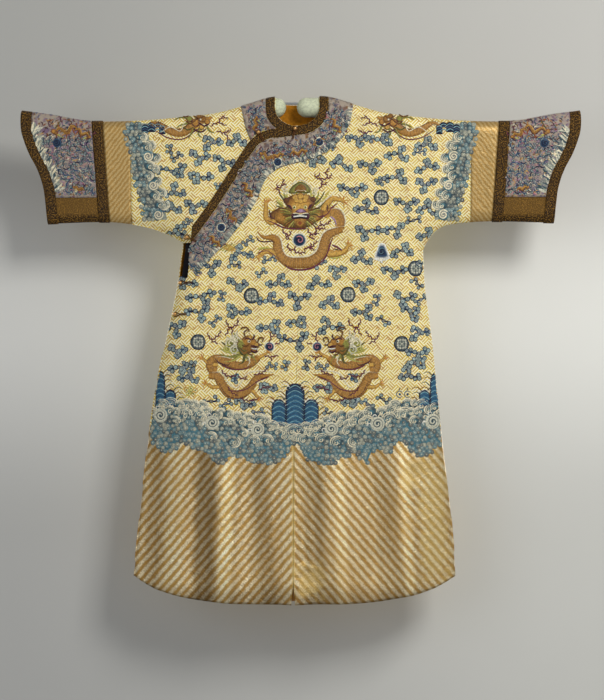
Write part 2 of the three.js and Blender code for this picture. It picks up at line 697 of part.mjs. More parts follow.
function backBand(side) {
  const [from, to] = side === 'left' ? [0, 90] : [180, 90];
  const inner = neckLine('back', from, to, 7, NECK_RIBBON + 1);
  const half = side === 'left' ? 156 : 157;
  const outer = steps(from, to, 9).map((degrees) => {
    const x = NECK.x + half * Math.cos(THREE.MathUtils.degToRad(degrees));
    return { x, z: shoulderZ(x) - BACK_BAND_DEPTH * Math.sin(THREE.MathUtils.degToRad(degrees)) };
  });
  return [...inner.reverse(), risen(inner.at(-1)), risen(outer[0]), ...outer];
}

// Silk lining that shows inside the back of the neck
function liningSheet() {
  const xs = steps(-56, 88, 6);
  return gridSheet({
    columns: xs.length,
    rows: 5,
    pointAt: (c, r) => {
      const z = lerp(shoulderZ(xs[c]) - FOLD_RADIUS + 4, -130, r / 4);
      const point = clothPoint('back', xs[c], z);
      return point.setY(point.y - CLOTH - BAND_GAP);
    },
    forwards: false,
  });
}

// A point that stands off the front by its normal there
function overFront(x, z, height) {
  const step = 1;
  const alongX = clothPoint('front', x + step, z).sub(clothPoint('front', x - step, z));
  const alongZ = clothPoint('front', x, z + step).sub(clothPoint('front', x, z - step));
  return clothPoint('front', x, z).addScaledVector(alongX.cross(alongZ).normalize(), height);
}

const restHeight = (on) => (on === 'ribbon' ? BAND_GAP + BAND_CLOTH + 0.5 : 0.9);

function ballButton(row) {
  const centre = overFront(row.x, row.z, restHeight(row.on) + BALL_RADIUS);
  const ball = new THREE.SphereGeometry(BALL_RADIUS, 10, 6);
  return ball.rotateX(Math.PI / 2).translate(centre.x, centre.y, centre.z);
}

// Cord loop: one length of cord that comes in, goes round the ball and runs back beside itself
function cordLoop(row) {
  const sides = 6;
  const size = Math.hypot(row.toX, row.toZ);
  const [alongX, alongZ] = [row.toX / size, row.toZ / size];
  const round = Math.sqrt((BALL_RADIUS + CORD_RADIUS + 0.5) ** 2 - (BALL_RADIUS - CORD_RADIUS) ** 2);
  const apart = CORD_RADIUS + 0.3;
  const legs = [{ out: LOOP_LENGTH, over: apart }, { out: round + 3, over: apart }];
  const turn = steps(-50, -310, 8).map((degrees) => ({
    out: round * Math.cos(THREE.MathUtils.degToRad(degrees)),
    over: -round * Math.sin(THREE.MathUtils.degToRad(degrees)),
  }));
  const back = [...legs].reverse().map((leg) => ({ out: leg.out, over: -leg.over }));
  const line = [...legs, ...turn, ...back].map((leg) => ({
    x: row.x + alongX * leg.out - alongZ * leg.over,
    z: row.z + alongZ * leg.out + alongX * leg.over,
  }));
  const height = restHeight(row.on) + CORD_RADIUS;
  const rings = line.map((point, i) => {
    const centre = overFront(point.x, point.z, height);
    const before = line[Math.max(i - 1, 0)];
    const after = line[Math.min(i + 1, line.length - 1)];
    const ahead = overFront(after.x, after.z, height);
    const tangent = ahead.sub(overFront(before.x, before.z, height)).normalize();
    const across = new THREE.Vector3(0, -1, 0).cross(tangent).normalize();
    const up = tangent.clone().cross(across);
    return steps(0, 2 * Math.PI, sides).slice(1).map((angle) => centre.clone()
      .addScaledVector(across, CORD_RADIUS * Math.cos(angle))
      .addScaledVector(up, CORD_RADIUS * Math.sin(angle)));
  });
  return ringBody(rings);
}

// A closed body through rings of points, capped at both ends
function ringBody(rings) {
  const sides = rings[0].length;
  const triangles = [];
  for (let s = 0; s < rings.length - 1; s += 1) {
    for (let k = 0; k < sides; k += 1) {
      const [a, b] = [s * sides + k, s * sides + (k + 1) % sides];
      triangles.push([a, b, b + sides], [a, b + sides, a + sides]);
    }
  }
  const last = (rings.length - 1) * sides;
  for (let k = 1; k < sides - 1; k += 1) triangles.push([0, k + 1, k], [last, last + k, last + k + 1]);
  const geometry = meshGeometry(rings.flat(), triangles);
  if (solidOf(geometry).volume() > 0) return geometry;
  return meshGeometry(rings.flat(), triangles.map(([a, b, c]) => [a, c, b]));
}

// Padded arm: the round body that the shoulder fold lies on, domed at the neck, with a hole for the bar
function hangerArm(side) {
  const s = sign(side);
  const sides = 16;
  const dome = arc(5).slice(1).map((share) => s * (ARM_START + ARM_RADIUS * share));
  const along = steps(dome.at(-1), xAtReach(side, ARM_END_REACH), 14).slice(1);
  const rings = [...dome, ...along].map((x) => {
    const into = clamp(1 - (s * x - ARM_START) / ARM_RADIUS, 0, 1);
    const radius = ARM_RADIUS * Math.sqrt(1 - into * into);
    return steps(0, 2 * Math.PI, sides).slice(1).map((turn) => new THREE.Vector3(
      x, radius * Math.sin(turn), shoulderZ(x) - FOLD_RADIUS + radius * Math.cos(turn)));
  });
  const hole = solidOf(barBody(SEAM_GAP));
  return geometryOf(solidOf(ringBody(rings)).subtract(hole));
}

function barBody(larger) {
  const radius = BAR.radius + larger;
  const length = 2 * (BAR.halfLength + larger);
  return new THREE.CylinderGeometry(radius, radius, length, BAR.sides).rotateZ(Math.PI / 2);
}

// Finishes
function finish(colour, roughness, metalness = 0) {
  return new THREE.MeshStandardMaterial({ color: colour, roughness, metalness });
}
const YELLOW_SILK = finish(0xe3cf93, 0.55);
const STRIPED_SILK = finish(0xb59a63, 0.42);
const DARK_SILK = finish(0x14151c, 0.6);
const LINING_SILK = finish(0xb8741c, 0.55);
const BAND_SILK = finish(0x8d8796, 0.6);
const GOLD_RIBBON = finish(0x5a4524, 0.5, 0.2);
const CORD = finish(0x4a3418, 0.7);
const GILT = finish(0xd9a86a, 0.3, 0.8);
const PADDING = finish(0xb9c4a4, 0.8);
const STEEL = finish(0x9aa0a2, 0.3, 0.9);

const robe = new THREE.Group();

function add(name, geometry, colour) {
  const mesh = new THREE.Mesh(geometry, colour);
  mesh.name = name;
  robe.add(mesh);
}

// Body
const frontLeft = halfSheet('left', 'front', 6, 8);
const overlap = overlapSheet();
const rightFront = rightFrontSheet();
const backs = { left: halfSheet('left', 'back', 4, 7), right: halfSheet('right', 'back', 4, 7) };
add('front_left', cloth(frontLeft), YELLOW_SILK);
add('front_overlap', cloth(overlap), YELLOW_SILK);
add('right_front', cloth(rightFront), YELLOW_SILK);
add('under_flap', cloth(underFlapSheet()), DARK_SILK);
add('back_left', cloth(backs.left), YELLOW_SILK);
add('back_right', cloth(backs.right), YELLOW_SILK);
add('lining_back_neck', thicken(liningSheet(), 0, -1), LINING_SILK);

// Collar
add('collar_ribbon_left', cutLaid(frontLeft, 'front', leftNeckRibbon()), GOLD_RIBBON);
add('collar_band_left', cutLaid(frontLeft, 'front', leftBand()), BAND_SILK);
add('lapel_ribbon', cutLaid(overlap, 'front', lapelRibbon()), GOLD_RIBBON);
add('lapel_band', cutLaid(overlap, 'front', lapelBand()), BAND_SILK);
add('collar_ribbon_right', cutLaid(rightFront, 'front', rightNeckRibbon()), GOLD_RIBBON);
add('collar_band_right', cutLaid(rightFront, 'front', rightBand()), BAND_SILK);
['left', 'right'].forEach((side) => {
  add(`collar_ribbon_back_${side}`, cutLaid(backs[side], 'back', backNeckRibbon(side)), GOLD_RIBBON);
  add(`collar_band_back_${side}`, cutLaid(backs[side], 'back', backBand(side)), BAND_SILK);
});

// Sleeves and cuffs
['left', 'right'].forEach((side) => {
  const abovePanelFoot = (point) => point.z > CUFF_PANEL_FOOT;
  const seamRibbon = sleeveSheet(side, cuffSeam(1), cuffSeam(SEAM_RIBBON), 1);
  const edgeRibbon = sleeveSheet(side, cuffEdge(EDGE_RIBBON), cuffEdge(1), 1);
  const panel = sleeveSheet(side, cuffSeam(SEAM_RIBBON + 1), cuffEdge(EDGE_RIBBON + 1), 4, abovePanelFoot);
  add(`sleeve_${side}`, cloth(sleeveSheet(side, atSleeveSeam, cuffSeam(-SEAM_GAP / 2), 3)), STRIPED_SILK);
  add(`cuff_${side}`, cloth(sleeveSheet(side, cuffSeam(SEAM_GAP / 2), cuffEdge(0), 5)), GOLD_RIBBON);
  add(`cuff_${side}_seam_ribbon`, laid(seamRibbon), GOLD_RIBBON);
  add(`cuff_${side}_edge_ribbon`, laid(edgeRibbon), GOLD_RIBBON);
  add(`cuff_${side}_panel`, laid(panel), BAND_SILK);
});

// Fastenings
BUTTONS.forEach((row) => {
  add(`button_${row.name}`, ballButton(row), GILT);
  add(`loop_${row.name}`, cordLoop(row), CORD);
});

// Hanger
add('hanger_arm_left', hangerArm('left'), PADDING);
add('hanger_arm_right', hangerArm('right'), PADDING);
add('hanger_bar', barBody(0), STEEL);

export default robe;
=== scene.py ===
"""Dresses the hung dragon robe: silk panels, collar, cuffs, embroidery, fastenings and hanger.

Lengths in this file are millimetres in the robe's own frame unless a name says otherwise: x runs to the
wearer's left, z runs up, and the front faces -y. They become metres as each mesh is made.
"""

import logging
import math
from collections.abc import Callable
from dataclasses import dataclass, field
from enum import Enum
from functools import partial

import bpy
import numpy as np
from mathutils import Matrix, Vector

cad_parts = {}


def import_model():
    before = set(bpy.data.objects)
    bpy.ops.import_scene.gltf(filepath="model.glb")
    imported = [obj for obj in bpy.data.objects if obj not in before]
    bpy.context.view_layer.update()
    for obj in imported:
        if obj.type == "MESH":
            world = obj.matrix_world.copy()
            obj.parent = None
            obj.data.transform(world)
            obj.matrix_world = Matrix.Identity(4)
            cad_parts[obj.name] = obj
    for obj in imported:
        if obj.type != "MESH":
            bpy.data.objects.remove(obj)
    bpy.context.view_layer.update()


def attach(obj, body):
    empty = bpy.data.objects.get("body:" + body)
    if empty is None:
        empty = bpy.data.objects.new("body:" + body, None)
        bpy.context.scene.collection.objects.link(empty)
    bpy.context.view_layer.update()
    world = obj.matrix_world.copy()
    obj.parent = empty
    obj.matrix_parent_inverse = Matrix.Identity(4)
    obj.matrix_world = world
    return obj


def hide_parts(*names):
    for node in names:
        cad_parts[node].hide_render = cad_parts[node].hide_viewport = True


MM = 0.001
ROOT = "root"
log = logging.getLogger("robe")

Array = np.ndarray
Numbers = float | np.ndarray
Row = tuple[float, ...]
Line = tuple[Row, ...] | list[Row] | np.ndarray
Colour = tuple[float, float, float, float]
Draws = np.random.Generator


class Face(Enum):
    """The two faces of the hung robe, by the way along y that each one looks."""

    FRONT = -1
    BACK = 1


class Side(Enum):
    """The wearer's sides, by the way along x."""

    RIGHT = -1
    LEFT = 1


def srgb(red: int, green: int, blue: int) -> Colour:
    """Gives a screen colour of 0 to 255 as linear light."""
    values = (red, green, blue)
    return tuple(((v / 255 + 0.055) / 1.055) ** 2.4 if v > 10 else v / 255 / 12.92 for v in values) + (1.0,)


class Thread(Enum):
    """Silk and metal threads of the embroidery."""

    CREAM = srgb(232, 222, 190)
    WHITE = srgb(234, 232, 220)
    FOAM = srgb(206, 204, 182)
    MIST = srgb(150, 156, 142)
    TEAL = srgb(74, 122, 134)
    SKY = srgb(126, 168, 176)
    BLUE = srgb(46, 78, 108)
    LAPIS = srgb(48, 98, 128)
    SLATE = srgb(58, 80, 88)
    NAVY = srgb(20, 30, 56)
    INK = srgb(30, 44, 62)
    GOLD = srgb(178, 128, 56)
    BROWN = srgb(104, 66, 32)
    BRONZE = srgb(142, 100, 44)
    OCHRE = srgb(206, 162, 78)
    GREEN = srgb(140, 138, 66)
    MOSS = srgb(92, 88, 44)
    LIME = srgb(190, 182, 92)
    PURPLE = srgb(104, 44, 62)
    PLUM = srgb(72, 30, 46)
    LILAC = srgb(164, 132, 160)
    MAUVE = srgb(136, 116, 132)
    PINK = srgb(186, 120, 130)
    RUST = srgb(138, 72, 40)
    ORANGE = srgb(188, 118, 56)
    BLACK = srgb(24, 22, 26)
    GREY = srgb(132, 134, 128)


# Small maths on arrays

def smoothstep(low: float, high: float, value: Array) -> Array:
    """Rises from 0 at low to 1 at high, or falls where high is below low."""
    t = np.clip((value - low) / (high - low), 0, 1)
    return t * t * (3 - 2 * t)


def lerp(a: Numbers, b: Numbers, t: Numbers) -> Numbers:
    """Goes from a to b by the share t."""
    return a + (b - a) * t


def curve_through(keys: Row, values: Row, at: Numbers) -> Array:
    """Reads a table between its rows, along a smooth curve through them.

    Args:
        keys: the rows' keys, rising or falling.
        values: the rows' values.
        at: where it is read.

    Returns:
        The values there.
    """
    k, v = np.asarray(keys, float), np.asarray(values, float)
    if k[0] > k[-1]:
        k, v = k[::-1], v[::-1]
    index = np.arange(len(k))
    before, after = np.maximum(index - 1, 0), np.minimum(index + 1, len(k) - 1)
    slope = (v[after] - v[before]) / (k[after] - k[before])
    i = np.clip(np.searchsorted(k, at, side="right") - 1, 0, len(k) - 2)
    span = k[i + 1] - k[i]
    t = np.clip((at - k[i]) / span, 0, 1)
    bend = t * (1 - t) ** 2 * slope[i] + t * t * (t - 1) * slope[i + 1]
    return lerp(v[i], v[i + 1], t * t * (3 - 2 * t)) + span * bend


def rounding(distance: Array, radius: Numbers) -> Array:
    """Share of full depth at a distance in from an edge that is rounded over a radius."""
    t = np.clip(distance / radius, 0, 1)
    return np.sqrt(1 - (1 - t) ** 2)


def arc(count: int) -> Array:
    """Shares of a radius, from the edge in, at even angles round it."""
    return 1 - np.cos(np.linspace(0, math.pi / 2, count + 1))


def path_length(points: Array) -> Array:
    """Length so far at each point of a line."""
    return np.concatenate([[0], np.cumsum(np.hypot(*np.diff(points[:, :2], axis=0).T))])


def even_line(points: Line, count: int) -> Array:
    """Gives a line again as count points at even lengths along it.

    Args:
        points: where the line runs.
        count: how many points come back.

    Returns:
        The points, evenly spaced.
    """
    line = np.asarray(points, float)
    length = path_length(line)
    at = np.linspace(0, length[-1], count)
    return np.stack([np.interp(at, length, line[:, 0]), np.interp(at, length, line[:, 1])], axis=1)


def smooth_line(points: Line, step: float = 5.0, closed: bool = False) -> Array:
    """Runs a smooth curve through points and gives it at steps of about one length.

    Args:
        points: the points that it goes through.
        step: length between the points that come back.
        closed: whether it ends where it starts.

    Returns:
        An array of points, two columns.
    """
    p = np.asarray(points, float)
    if len(p) < 3:
        count = max(2, int(np.hypot(*(p[-1] - p[0])) / step) + 1)
        return np.linspace(p[0], p[-1], count)
    ends = (p[-1:], p[:2]) if closed else (2 * p[:1] - p[1:2], 2 * p[-1:] - p[-2:-1])
    q = np.concatenate([ends[0], p, ends[1]])
    parts = []
    for i in range(1, len(q) - 2):
        a, b, c, d = q[i - 1:i + 3]
        t = np.linspace(0, 1, max(2, int(np.hypot(*(c - b)) / step) + 2))[:-1, None]
        curve = 2 * b + (c - a) * t + (2 * a - 5 * b + 4 * c - d) * t ** 2 + (3 * b - a - 3 * c + d) * t ** 3
        parts.append(0.5 * curve)
    return np.concatenate(parts + [q[-2:-1]])


def ways(path: Array) -> tuple[Array, Array]:
    """Directions of length 1 along a line and to its left, at each of its points.

    Args:
        path: the line.

    Returns:
        The directions along it and to its left.
    """
    ahead = np.gradient(path, axis=0)
    ahead /= np.maximum(np.linalg.norm(ahead, axis=1, keepdims=True), 1e-6)
    return ahead, np.stack([-ahead[:, 1], ahead[:, 0]], axis=1)


def round_points(x: float, z: float, radius: Numbers, turns: Array) -> Array:
    """Places at some turns, in radians, round a middle."""
    return np.stack([x + radius * np.cos(turns), z + radius * np.sin(turns)], axis=1)


def grid_faces(rows: int, across: int, ring: bool = False) -> list:
    """Joins rows of points with four-sided faces.

    Args:
        rows: how many rows there are.
        across: how many points each row has.
        ring: whether each row closes on itself.

    Returns:
        The faces, as point numbers.
    """
    return [[i * across + k, i * across + (k + 1) % across, (i + 1) * across + (k + 1) % across,
             (i + 1) * across + k]
            for i in range(rows - 1) for k in range(across if ring else across - 1)]


def fan_faces(first: int, around: int) -> list:
    """Closes a ring of points with triangles to the point that follows it."""
    return [[first + i, first + (i + 1) % around, first + around] for i in range(around)]


@dataclass(frozen=True)
class Spot:
    """A place on the flat cloth with a turn in radians, a size and a hand, where a motif is drawn."""

    x: float
    z: float
    turn: float = 0.0
    size: float = 1.0
    hand: int = 1

    def at(self, u: float, v: float) -> tuple[float, float]:
        """A point of the motif on the flat cloth.

        Args:
            u: place along it.
            v: place across it.

        Returns:
            Where it lies, in millimetres.
        """
        c, s = math.cos(self.turn), math.sin(self.turn)
        across, up = c * u * self.hand - s * v, s * u * self.hand + c * v
        return self.x + self.size * across, self.z + self.size * up


@dataclass(frozen=True)
class Crease:
    """A small crease in the cloth, along a straight line, that stands out or lies in."""

    x0: float
    z0: float
    x1: float
    z1: float
    width: float
    out: float

    def at(self, x: Array, z: Array) -> Array:
        """How far it moves the cloth out at each place.

        Args:
            x: place across.
            z: height.

        Returns:
            Where it lies, in millimetres.
        """
        dx, dz = self.x1 - self.x0, self.z1 - self.z0
        t = ((x - self.x0) * dx + (z - self.z0) * dz) / (dx * dx + dz * dz)
        far = np.hypot(x - self.x0 - np.clip(t, 0, 1) * dx, z - self.z0 - np.clip(t, 0, 1) * dz)
        fade = smoothstep(-0.05, 0.3, t) * smoothstep(1.08, 0.6, t)
        return self.out * fade * np.exp(-(far / self.width) ** 2)


@dataclass(frozen=True)
class Hang:
    """The shape in which the cloth hangs. Its numbers are those of the robe's solids."""

    centre: float = 26.0
    fold_radius: float = 31.0
    back_fullness: float = 3.0
    side_radius: float = 60.0
    undersleeve_radius: float = 30.0
    sleeve_foot_depth: float = 13.0
    tuck: float = 6.0
    seam_gap: float = 0.3
    vent_top: float = -1330.0
    vent_half: float = 5.0
    neck_x: float = 16.0
    neck_half: float = 62.0
    neck_depth: tuple[float, float] = (85.0, 21.0)
    neck_straight: tuple[float, float] = (31.0, 13.0)
    # reach from the centre, height
    shoulder: tuple[Row, ...] = (
        (0, 20), (80, 17), (140, 0), (235, -26), (335, -38), (440, -47), (560, -50), (610, -48), (700, -32),
        (781, -21))
    # reach, height of the sleeve's lower edge
    undersleeve: dict = field(default_factory=lambda: {
        Side.RIGHT: ((330, -391), (350, -378), (380, -364), (422, -349), (484, -337), (551, -332),
                     (708, -337)),
        Side.LEFT: ((342, -410), (350, -394), (364, -372), (388, -350), (423, -338), (484, -332), (551, -330),
                    (708, -334))})
    # height, right side, left side, centre seam, half depth of the front and of the back
    body: tuple[Row, ...] = (
        (40, -304, 368, 20, 31, 31), (-150, -304, 368, 20, 33, 32), (-391, -304, 368, 20, 36, 34),
        (-430, -309, 369, 20, 37, 35), (-517, -321, 374, 19, 39, 36), (-651, -349, 392, 17, 42, 38),
        (-785, -377, 406, 13, 45, 40), (-953, -402, 423, 8, 49, 43), (-1121, -421, 443, 6, 53, 46),
        (-1290, -438, 457, 5, 57, 49), (-1400, -440, 462, 5, 59, 50))
    # share of the way from the centre seam to the side, height
    hem: tuple[Row, ...] = ((0, -1398), (0.45, -1390), (0.68, -1372), (0.86, -1348), (1, -1322))
    cuff_edge: tuple[Row, ...] = (
        (-20, 781), (-80, 780), (-113, 771), (-147, 757), (-181, 738), (-214, 725), (-248, 717), (-340, 708))
    # large folds: x at the hem, half width, how far out, height
    folds: dict = field(default_factory=lambda: {
        Face.FRONT: ((-345, 62, 7, 560), (-242, 52, -9, 640), (-166, 50, 11, 760), (-34, 42, -6, 520),
                     (8, 30, 6, 620),
                     (76, 46, -8, 560), (146, 48, 11, 700), (284, 42, -8, 620), (330, 42, 9, 740)),
        Face.BACK: ((-330, 60, 8, 640), (-205, 60, -8, 700), (-95, 52, 10, 560), (5, 34, -6, 600),
                    (105, 55, 9, 720),
                    (225, 60, -9, 620), (345, 58, 8, 680))})
    # upper edge of the overlap, from the neck to the underarm
    lapel: tuple[Row, ...] = (
        (20, -66), (-30, -73), (-68, -77), (-98, -88), (-113, -105), (-164, -180), (-225, -274), (-268, -334),
        (-304, -377))
    # small creases, drawn where the cloth shows them, and a few like them behind
    # x and z at its foot, x and z at its top, width, how far out
    creases: dict = field(default_factory=lambda: {
        Face.FRONT: (
            (-282, -1392, -266, -960, 34, -9.5), (-206, -1396, -192, -930, 24, 13.0),
            (36, -1398, 34, -950, 30, -9.0),
            (108, -1398, 98, -930, 24, 12.0), (240, -1392, 222, -950, 30, -8.5),
            (312, -1386, 290, -930, 24, 11.0),
            (-394, -1360, -356, -960, 26, -6.0), (-120, -1398, -112, -950, 26, -6.0),
            (-312, -1392, -286, -1010, 13, 2.6), (-281, -1392, -262, -1060, 10, -2.2),
            (-214, -1396, -200, -930, 15, 2.4), (-190, -1396, -182, -1120, 9, -1.9),
            (-118, -1398, -112, -1000, 14, -2.6), (-86, -1398, -84, -1180, 9, 2.0),
            (-58, -1398, -50, -1060, 10, 1.6),
            (34, -1398, 30, -1120, 9, -2.0), (56, -1400, 46, -1010, 10, 2.2),
            (112, -1398, 100, -960, 12, -2.4),
            (168, -1396, 152, -1150, 9, -1.8), (196, -1396, 180, -980, 13, 2.4),
            (238, -1392, 222, -1050, 11, -2.2),
            (262, -1392, 250, -1180, 8, 1.6), (372, -1372, 346, -1000, 12, -2.6),
            (408, -1360, 380, -1080, 10, 2.0),
            (-392, -1350, -360, -1050, 11, -2.4), (-372, -1366, -344, -1160, 8, 1.8),
            (20, -1286, 96, -1304, 7, 2.0),
            (24, -1312, 88, -1338, 7, -1.7), (12, -1342, 70, -1362, 7, 1.8), (310, -988, 372, -1010, 8, 2.2),
            (318, -1024, 378, -1052, 8, -2.0), (322, -1062, 368, -1090, 7, 1.8),
            (-296, -398, -150, -262, 16, -2.4),
            (-300, -424, -118, -352, 18, 2.6), (-306, -470, -160, -450, 16, -2.0),
            (-286, -330, -236, -120, 13, 1.8),
            (362, -414, 236, -250, 16, -2.6), (364, -440, 214, -340, 17, 2.6),
            (370, -500, 232, -470, 16, -2.0),
            (352, -360, 300, -130, 13, 2.0), (330, -330, 262, -110, 12, -1.6), (40, -230, 54, -520, 22, 1.8),
            (120, -330, 132, -640, 24, -1.8), (-70, -420, -84, -760, 24, 1.8),
            (210, -560, 226, -880, 24, 2.0),
            (-180, -600, -196, -900, 22, -2.0), (300, -620, 330, -930, 20, -2.2),
            (-270, -640, -300, -930, 20, 2.2),
            (20, -620, 16, -980, 20, -2.0), (-366, -108, -350, -330, 12, 1.8),
            (-398, -96, -392, -318, 11, -1.8),
            (-440, -80, -430, -300, 14, 1.8), (-520, -90, -506, -320, 12, 1.5),
            (-548, -70, -538, -300, 8, -1.4),
            (412, -110, 402, -330, 12, 1.8), (446, -84, 440, -322, 11, -1.7), (478, -80, 472, -310, 13, 1.6),
            (566, -90, 556, -320, 11, 1.5), (594, -80, 588, -300, 8, -1.3), (-650, -60, -640, -240, 16, 1.6),
            (706, -70, 694, -230, 16, 1.6), (-604, -110, -598, -300, 12, -1.4),
            (650, -110, 646, -290, 12, -1.4),
            (-30, -840, 60, -1010, 15, 1.5)),
        Face.BACK: (
            (-360, -1370, -330, -1010, 13, 2.4), (-286, -1392, -270, -1050, 11, -2.2),
            (-246, -1394, -236, -960, 13, 2.0), (-150, -1396, -146, -1090, 11, -2.2),
            (-60, -1398, -56, -1010, 12, 2.2), (46, -1398, 42, -1060, 11, 2.0),
            (72, -1398, 66, -1180, 8, -1.8),
            (160, -1396, 150, -980, 13, -2.2), (196, -1394, 184, -1120, 9, 1.9),
            (280, -1388, 268, -1010, 12, 2.2),
            (312, -1384, 296, -1160, 9, -2.0), (392, -1362, 366, -1040, 12, -2.2),
            (-292, -410, -140, -280, 17, -2.4),
            (-296, -450, -120, -390, 18, 2.4), (360, -420, 228, -270, 17, -2.4),
            (362, -460, 190, -380, 18, 2.4),
            (-270, -330, -226, -130, 14, 1.8), (346, -350, 300, -140, 14, 1.8),
            (-60, -260, -72, -620, 26, 1.8),
            (90, -240, 110, -560, 26, -1.8), (10, -520, 8, -900, 22, 1.8), (-180, -560, -196, -900, 24, -2.0),
            (220, -580, 240, -900, 24, 2.0), (-400, -100, -390, -320, 12, 1.8),
            (-446, -84, -436, -306, 12, -1.6),
            (430, -100, 424, -326, 12, 1.8), (480, -84, 474, -310, 12, -1.6),
            (-560, -90, -548, -310, 10, 1.4),
            (604, -90, 596, -310, 10, 1.4), (-660, -70, -650, -240, 15, 1.4),
            (712, -80, 700, -230, 15, 1.4))})

    def reach(self, x: Array) -> Array:
        """How far out along the sleeves a place is."""
        return np.abs(np.asarray(x, float) - self.centre)

    def x_at(self, side: Side, reach: Numbers) -> Numbers:
        """The place across at a reach along a sleeve."""
        return self.centre + side.value * reach

    def side_x(self, side: Side, z: Array) -> Array:
        """The body's side seam on a side, at a height."""
        return self.body_at(z, 1 if side is Side.RIGHT else 2)

    def in_neck(self, x: Array) -> Array:
        """Whether places across lie over the neck opening."""
        return np.abs(x - self.neck_x) < self.neck_half - 0.5

    def shoulder_z(self, x: Array) -> Array:
        """Height of the top fold over an x."""
        return curve_through(*zip(*self.shoulder), self.reach(x))

    def undersleeve_z(self, side: Side, reach: Array) -> Array:
        """Height of a sleeve's lower edge at a reach."""
        return curve_through(*zip(*self.undersleeve[side]), reach)

    def body_at(self, z: Array, column: int) -> Array:
        """Reads a column of the body's table at a height: 1 right, 2 left, 3 seam, 4 front, 5 back."""
        return curve_through([row[0] for row in self.body], [row[column] for row in self.body], z)

    def underarm(self, side: Side) -> float:
        """Height of the underarm on a side."""
        return float(self.undersleeve[side][0][1])

    def vent(self, z: Array) -> Array:
        """How far the front's centre seam opens to each side near the hem."""
        return self.vent_half * smoothstep(self.vent_top, self.hem[0][1], z)

    def outline(self, side: Side) -> Array:
        """The lower outline on a side, from the cuff along the sleeve and down the side seam.

        Args:
            side: left or right.

        Returns:
            An array of points, two columns.
        """
        sleeve = [(self.centre + side.value * reach, z) for reach, z in reversed(self.undersleeve[side])]
        column = 1 if side is Side.RIGHT else 2
        return np.array(sleeve + [(row[column], row[0]) for row in self.body if row[0] < self.underarm(side)],
                        float)

    def from_outline(self, x: Array, z: Array) -> Array:
        """Distance from a place to the lower outline on its side.

        Args:
            x: places across.
            z: heights.

        Returns:
            The distances.
        """
        best = np.full(x.shape, 1e9)
        for side in Side:
            mine = x < self.centre if side is Side.RIGHT else x >= self.centre
            line = self.outline(side)
            near = np.full(int(mine.sum()), 1e9)
            for (x0, z0), (x1, z1) in zip(line[:-1], line[1:]):
                dx, dz = x1 - x0, z1 - z0
                t = np.clip(((x[mine] - x0) * dx + (z[mine] - z0) * dz) / (dx * dx + dz * dz), 0, 1)
                near = np.minimum(near, np.hypot(x[mine] - x0 - t * dx, z[mine] - z0 - t * dz))
            best[mine] = near
        return best

    def holds(self, x: Array, z: Array, margin: float = 1.0) -> Array:
        """Whether a place lies on the cloth, inside its folds and seams.

        Args:
            x: places across.
            z: heights.
            margin: how far inside it must lie.

        Returns:
            True or false for each place.
        """
        within = (x > self.body_at(z, 1) + margin) & (x < self.body_at(z, 2) - margin)
        for side in Side:
            out = (x - self.centre) * side.value
            foot = self.undersleeve_z(side, np.maximum(out, 330)) + margin
            arm = (out > self.undersleeve[side][0][0]) & (z > foot)
            within |= arm | ((out > 0) & (out <= self.undersleeve[side][0][0]) & (z > self.underarm(side)))
        return within & (z < self.shoulder_z(x) - margin)

    def folds_at(self, face: Face, x: Array, z: Array) -> Array:
        """How far the large folds and the creases move the cloth out.

        Args:
            face: front or back.
            x: places across.
            z: heights.

        Returns:
            The distances.
        """
        spread = (self.body_at(z, 2) - self.body_at(z, 1)) / (self.body[-1][2] - self.body[-1][1])
        shift = self.body_at(z, 3) - self.body[-1][3]
        total = np.zeros(x.shape)
        for at, width, out, height in self.folds[face]:
            across = (x - at * spread - shift) / width
            total += out * smoothstep(self.hem[0][1] + height, self.hem[0][1], z) * np.exp(-across ** 2)
        for row in self.creases[face]:
            total += Crease(*row).at(x, z)
        return total

    def depth(self, face: Face, x: Array, z: Array, inset: float = 0.0) -> Array:
        """Distance from the middle plane to the outside of the cloth.

        Args:
            face: front or back.
            x: places across.
            z: heights.
            inset: how far further in a layer lies.

        Returns:
            The half depths.
        """
        drop = self.shoulder_z(x) - z
        on_sleeve = smoothstep(300, 430, self.reach(x))
        fuller = 0.0
        if face is Face.BACK:
            fuller = self.back_fullness * smoothstep(200, 90, self.reach(x)) * smoothstep(300, 120, drop)
        taper = np.clip((drop - self.fold_radius) / 260, 0, 1)
        body = self.body_at(z, 4 if face is Face.FRONT else 5) + fuller
        deep = lerp(body, lerp(self.fold_radius, self.sleeve_foot_depth, taper), on_sleeve)
        radius = lerp(self.side_radius, self.undersleeve_radius, on_sleeve) - inset
        edge = rounding(np.maximum(self.from_outline(x, z) - inset, 0), radius)
        full = (deep - inset + self.folds_at(face, x, z)) * edge * rounding(drop, self.fold_radius)
        return np.maximum(full, self.seam_gap / 2)

    def lapel_z(self, x: Array) -> Array:
        """Height of the overlap's upper edge over an x."""
        return curve_through(*zip(*reversed(self.lapel)), np.clip(x, self.lapel[-1][0], self.lapel[0][0]))

    def neck_z(self, face: Face, x: Array, widen: float = 0.0) -> Array:
        """Height of the neck opening's edge, widened, at an x inside it.

        Args:
            face: front or back.
            x: places across.
            widen: how far it is widened.

        Returns:
            The heights.
        """
        which = 0 if face is Face.FRONT else 1
        across = np.clip((x - self.neck_x) / (self.neck_half + widen), -1, 1)
        deep = self.neck_depth[which] + widen - self.neck_straight[which]
        return self.shoulder_z(x) - self.neck_straight[which] - deep * np.sqrt(1 - across ** 2)

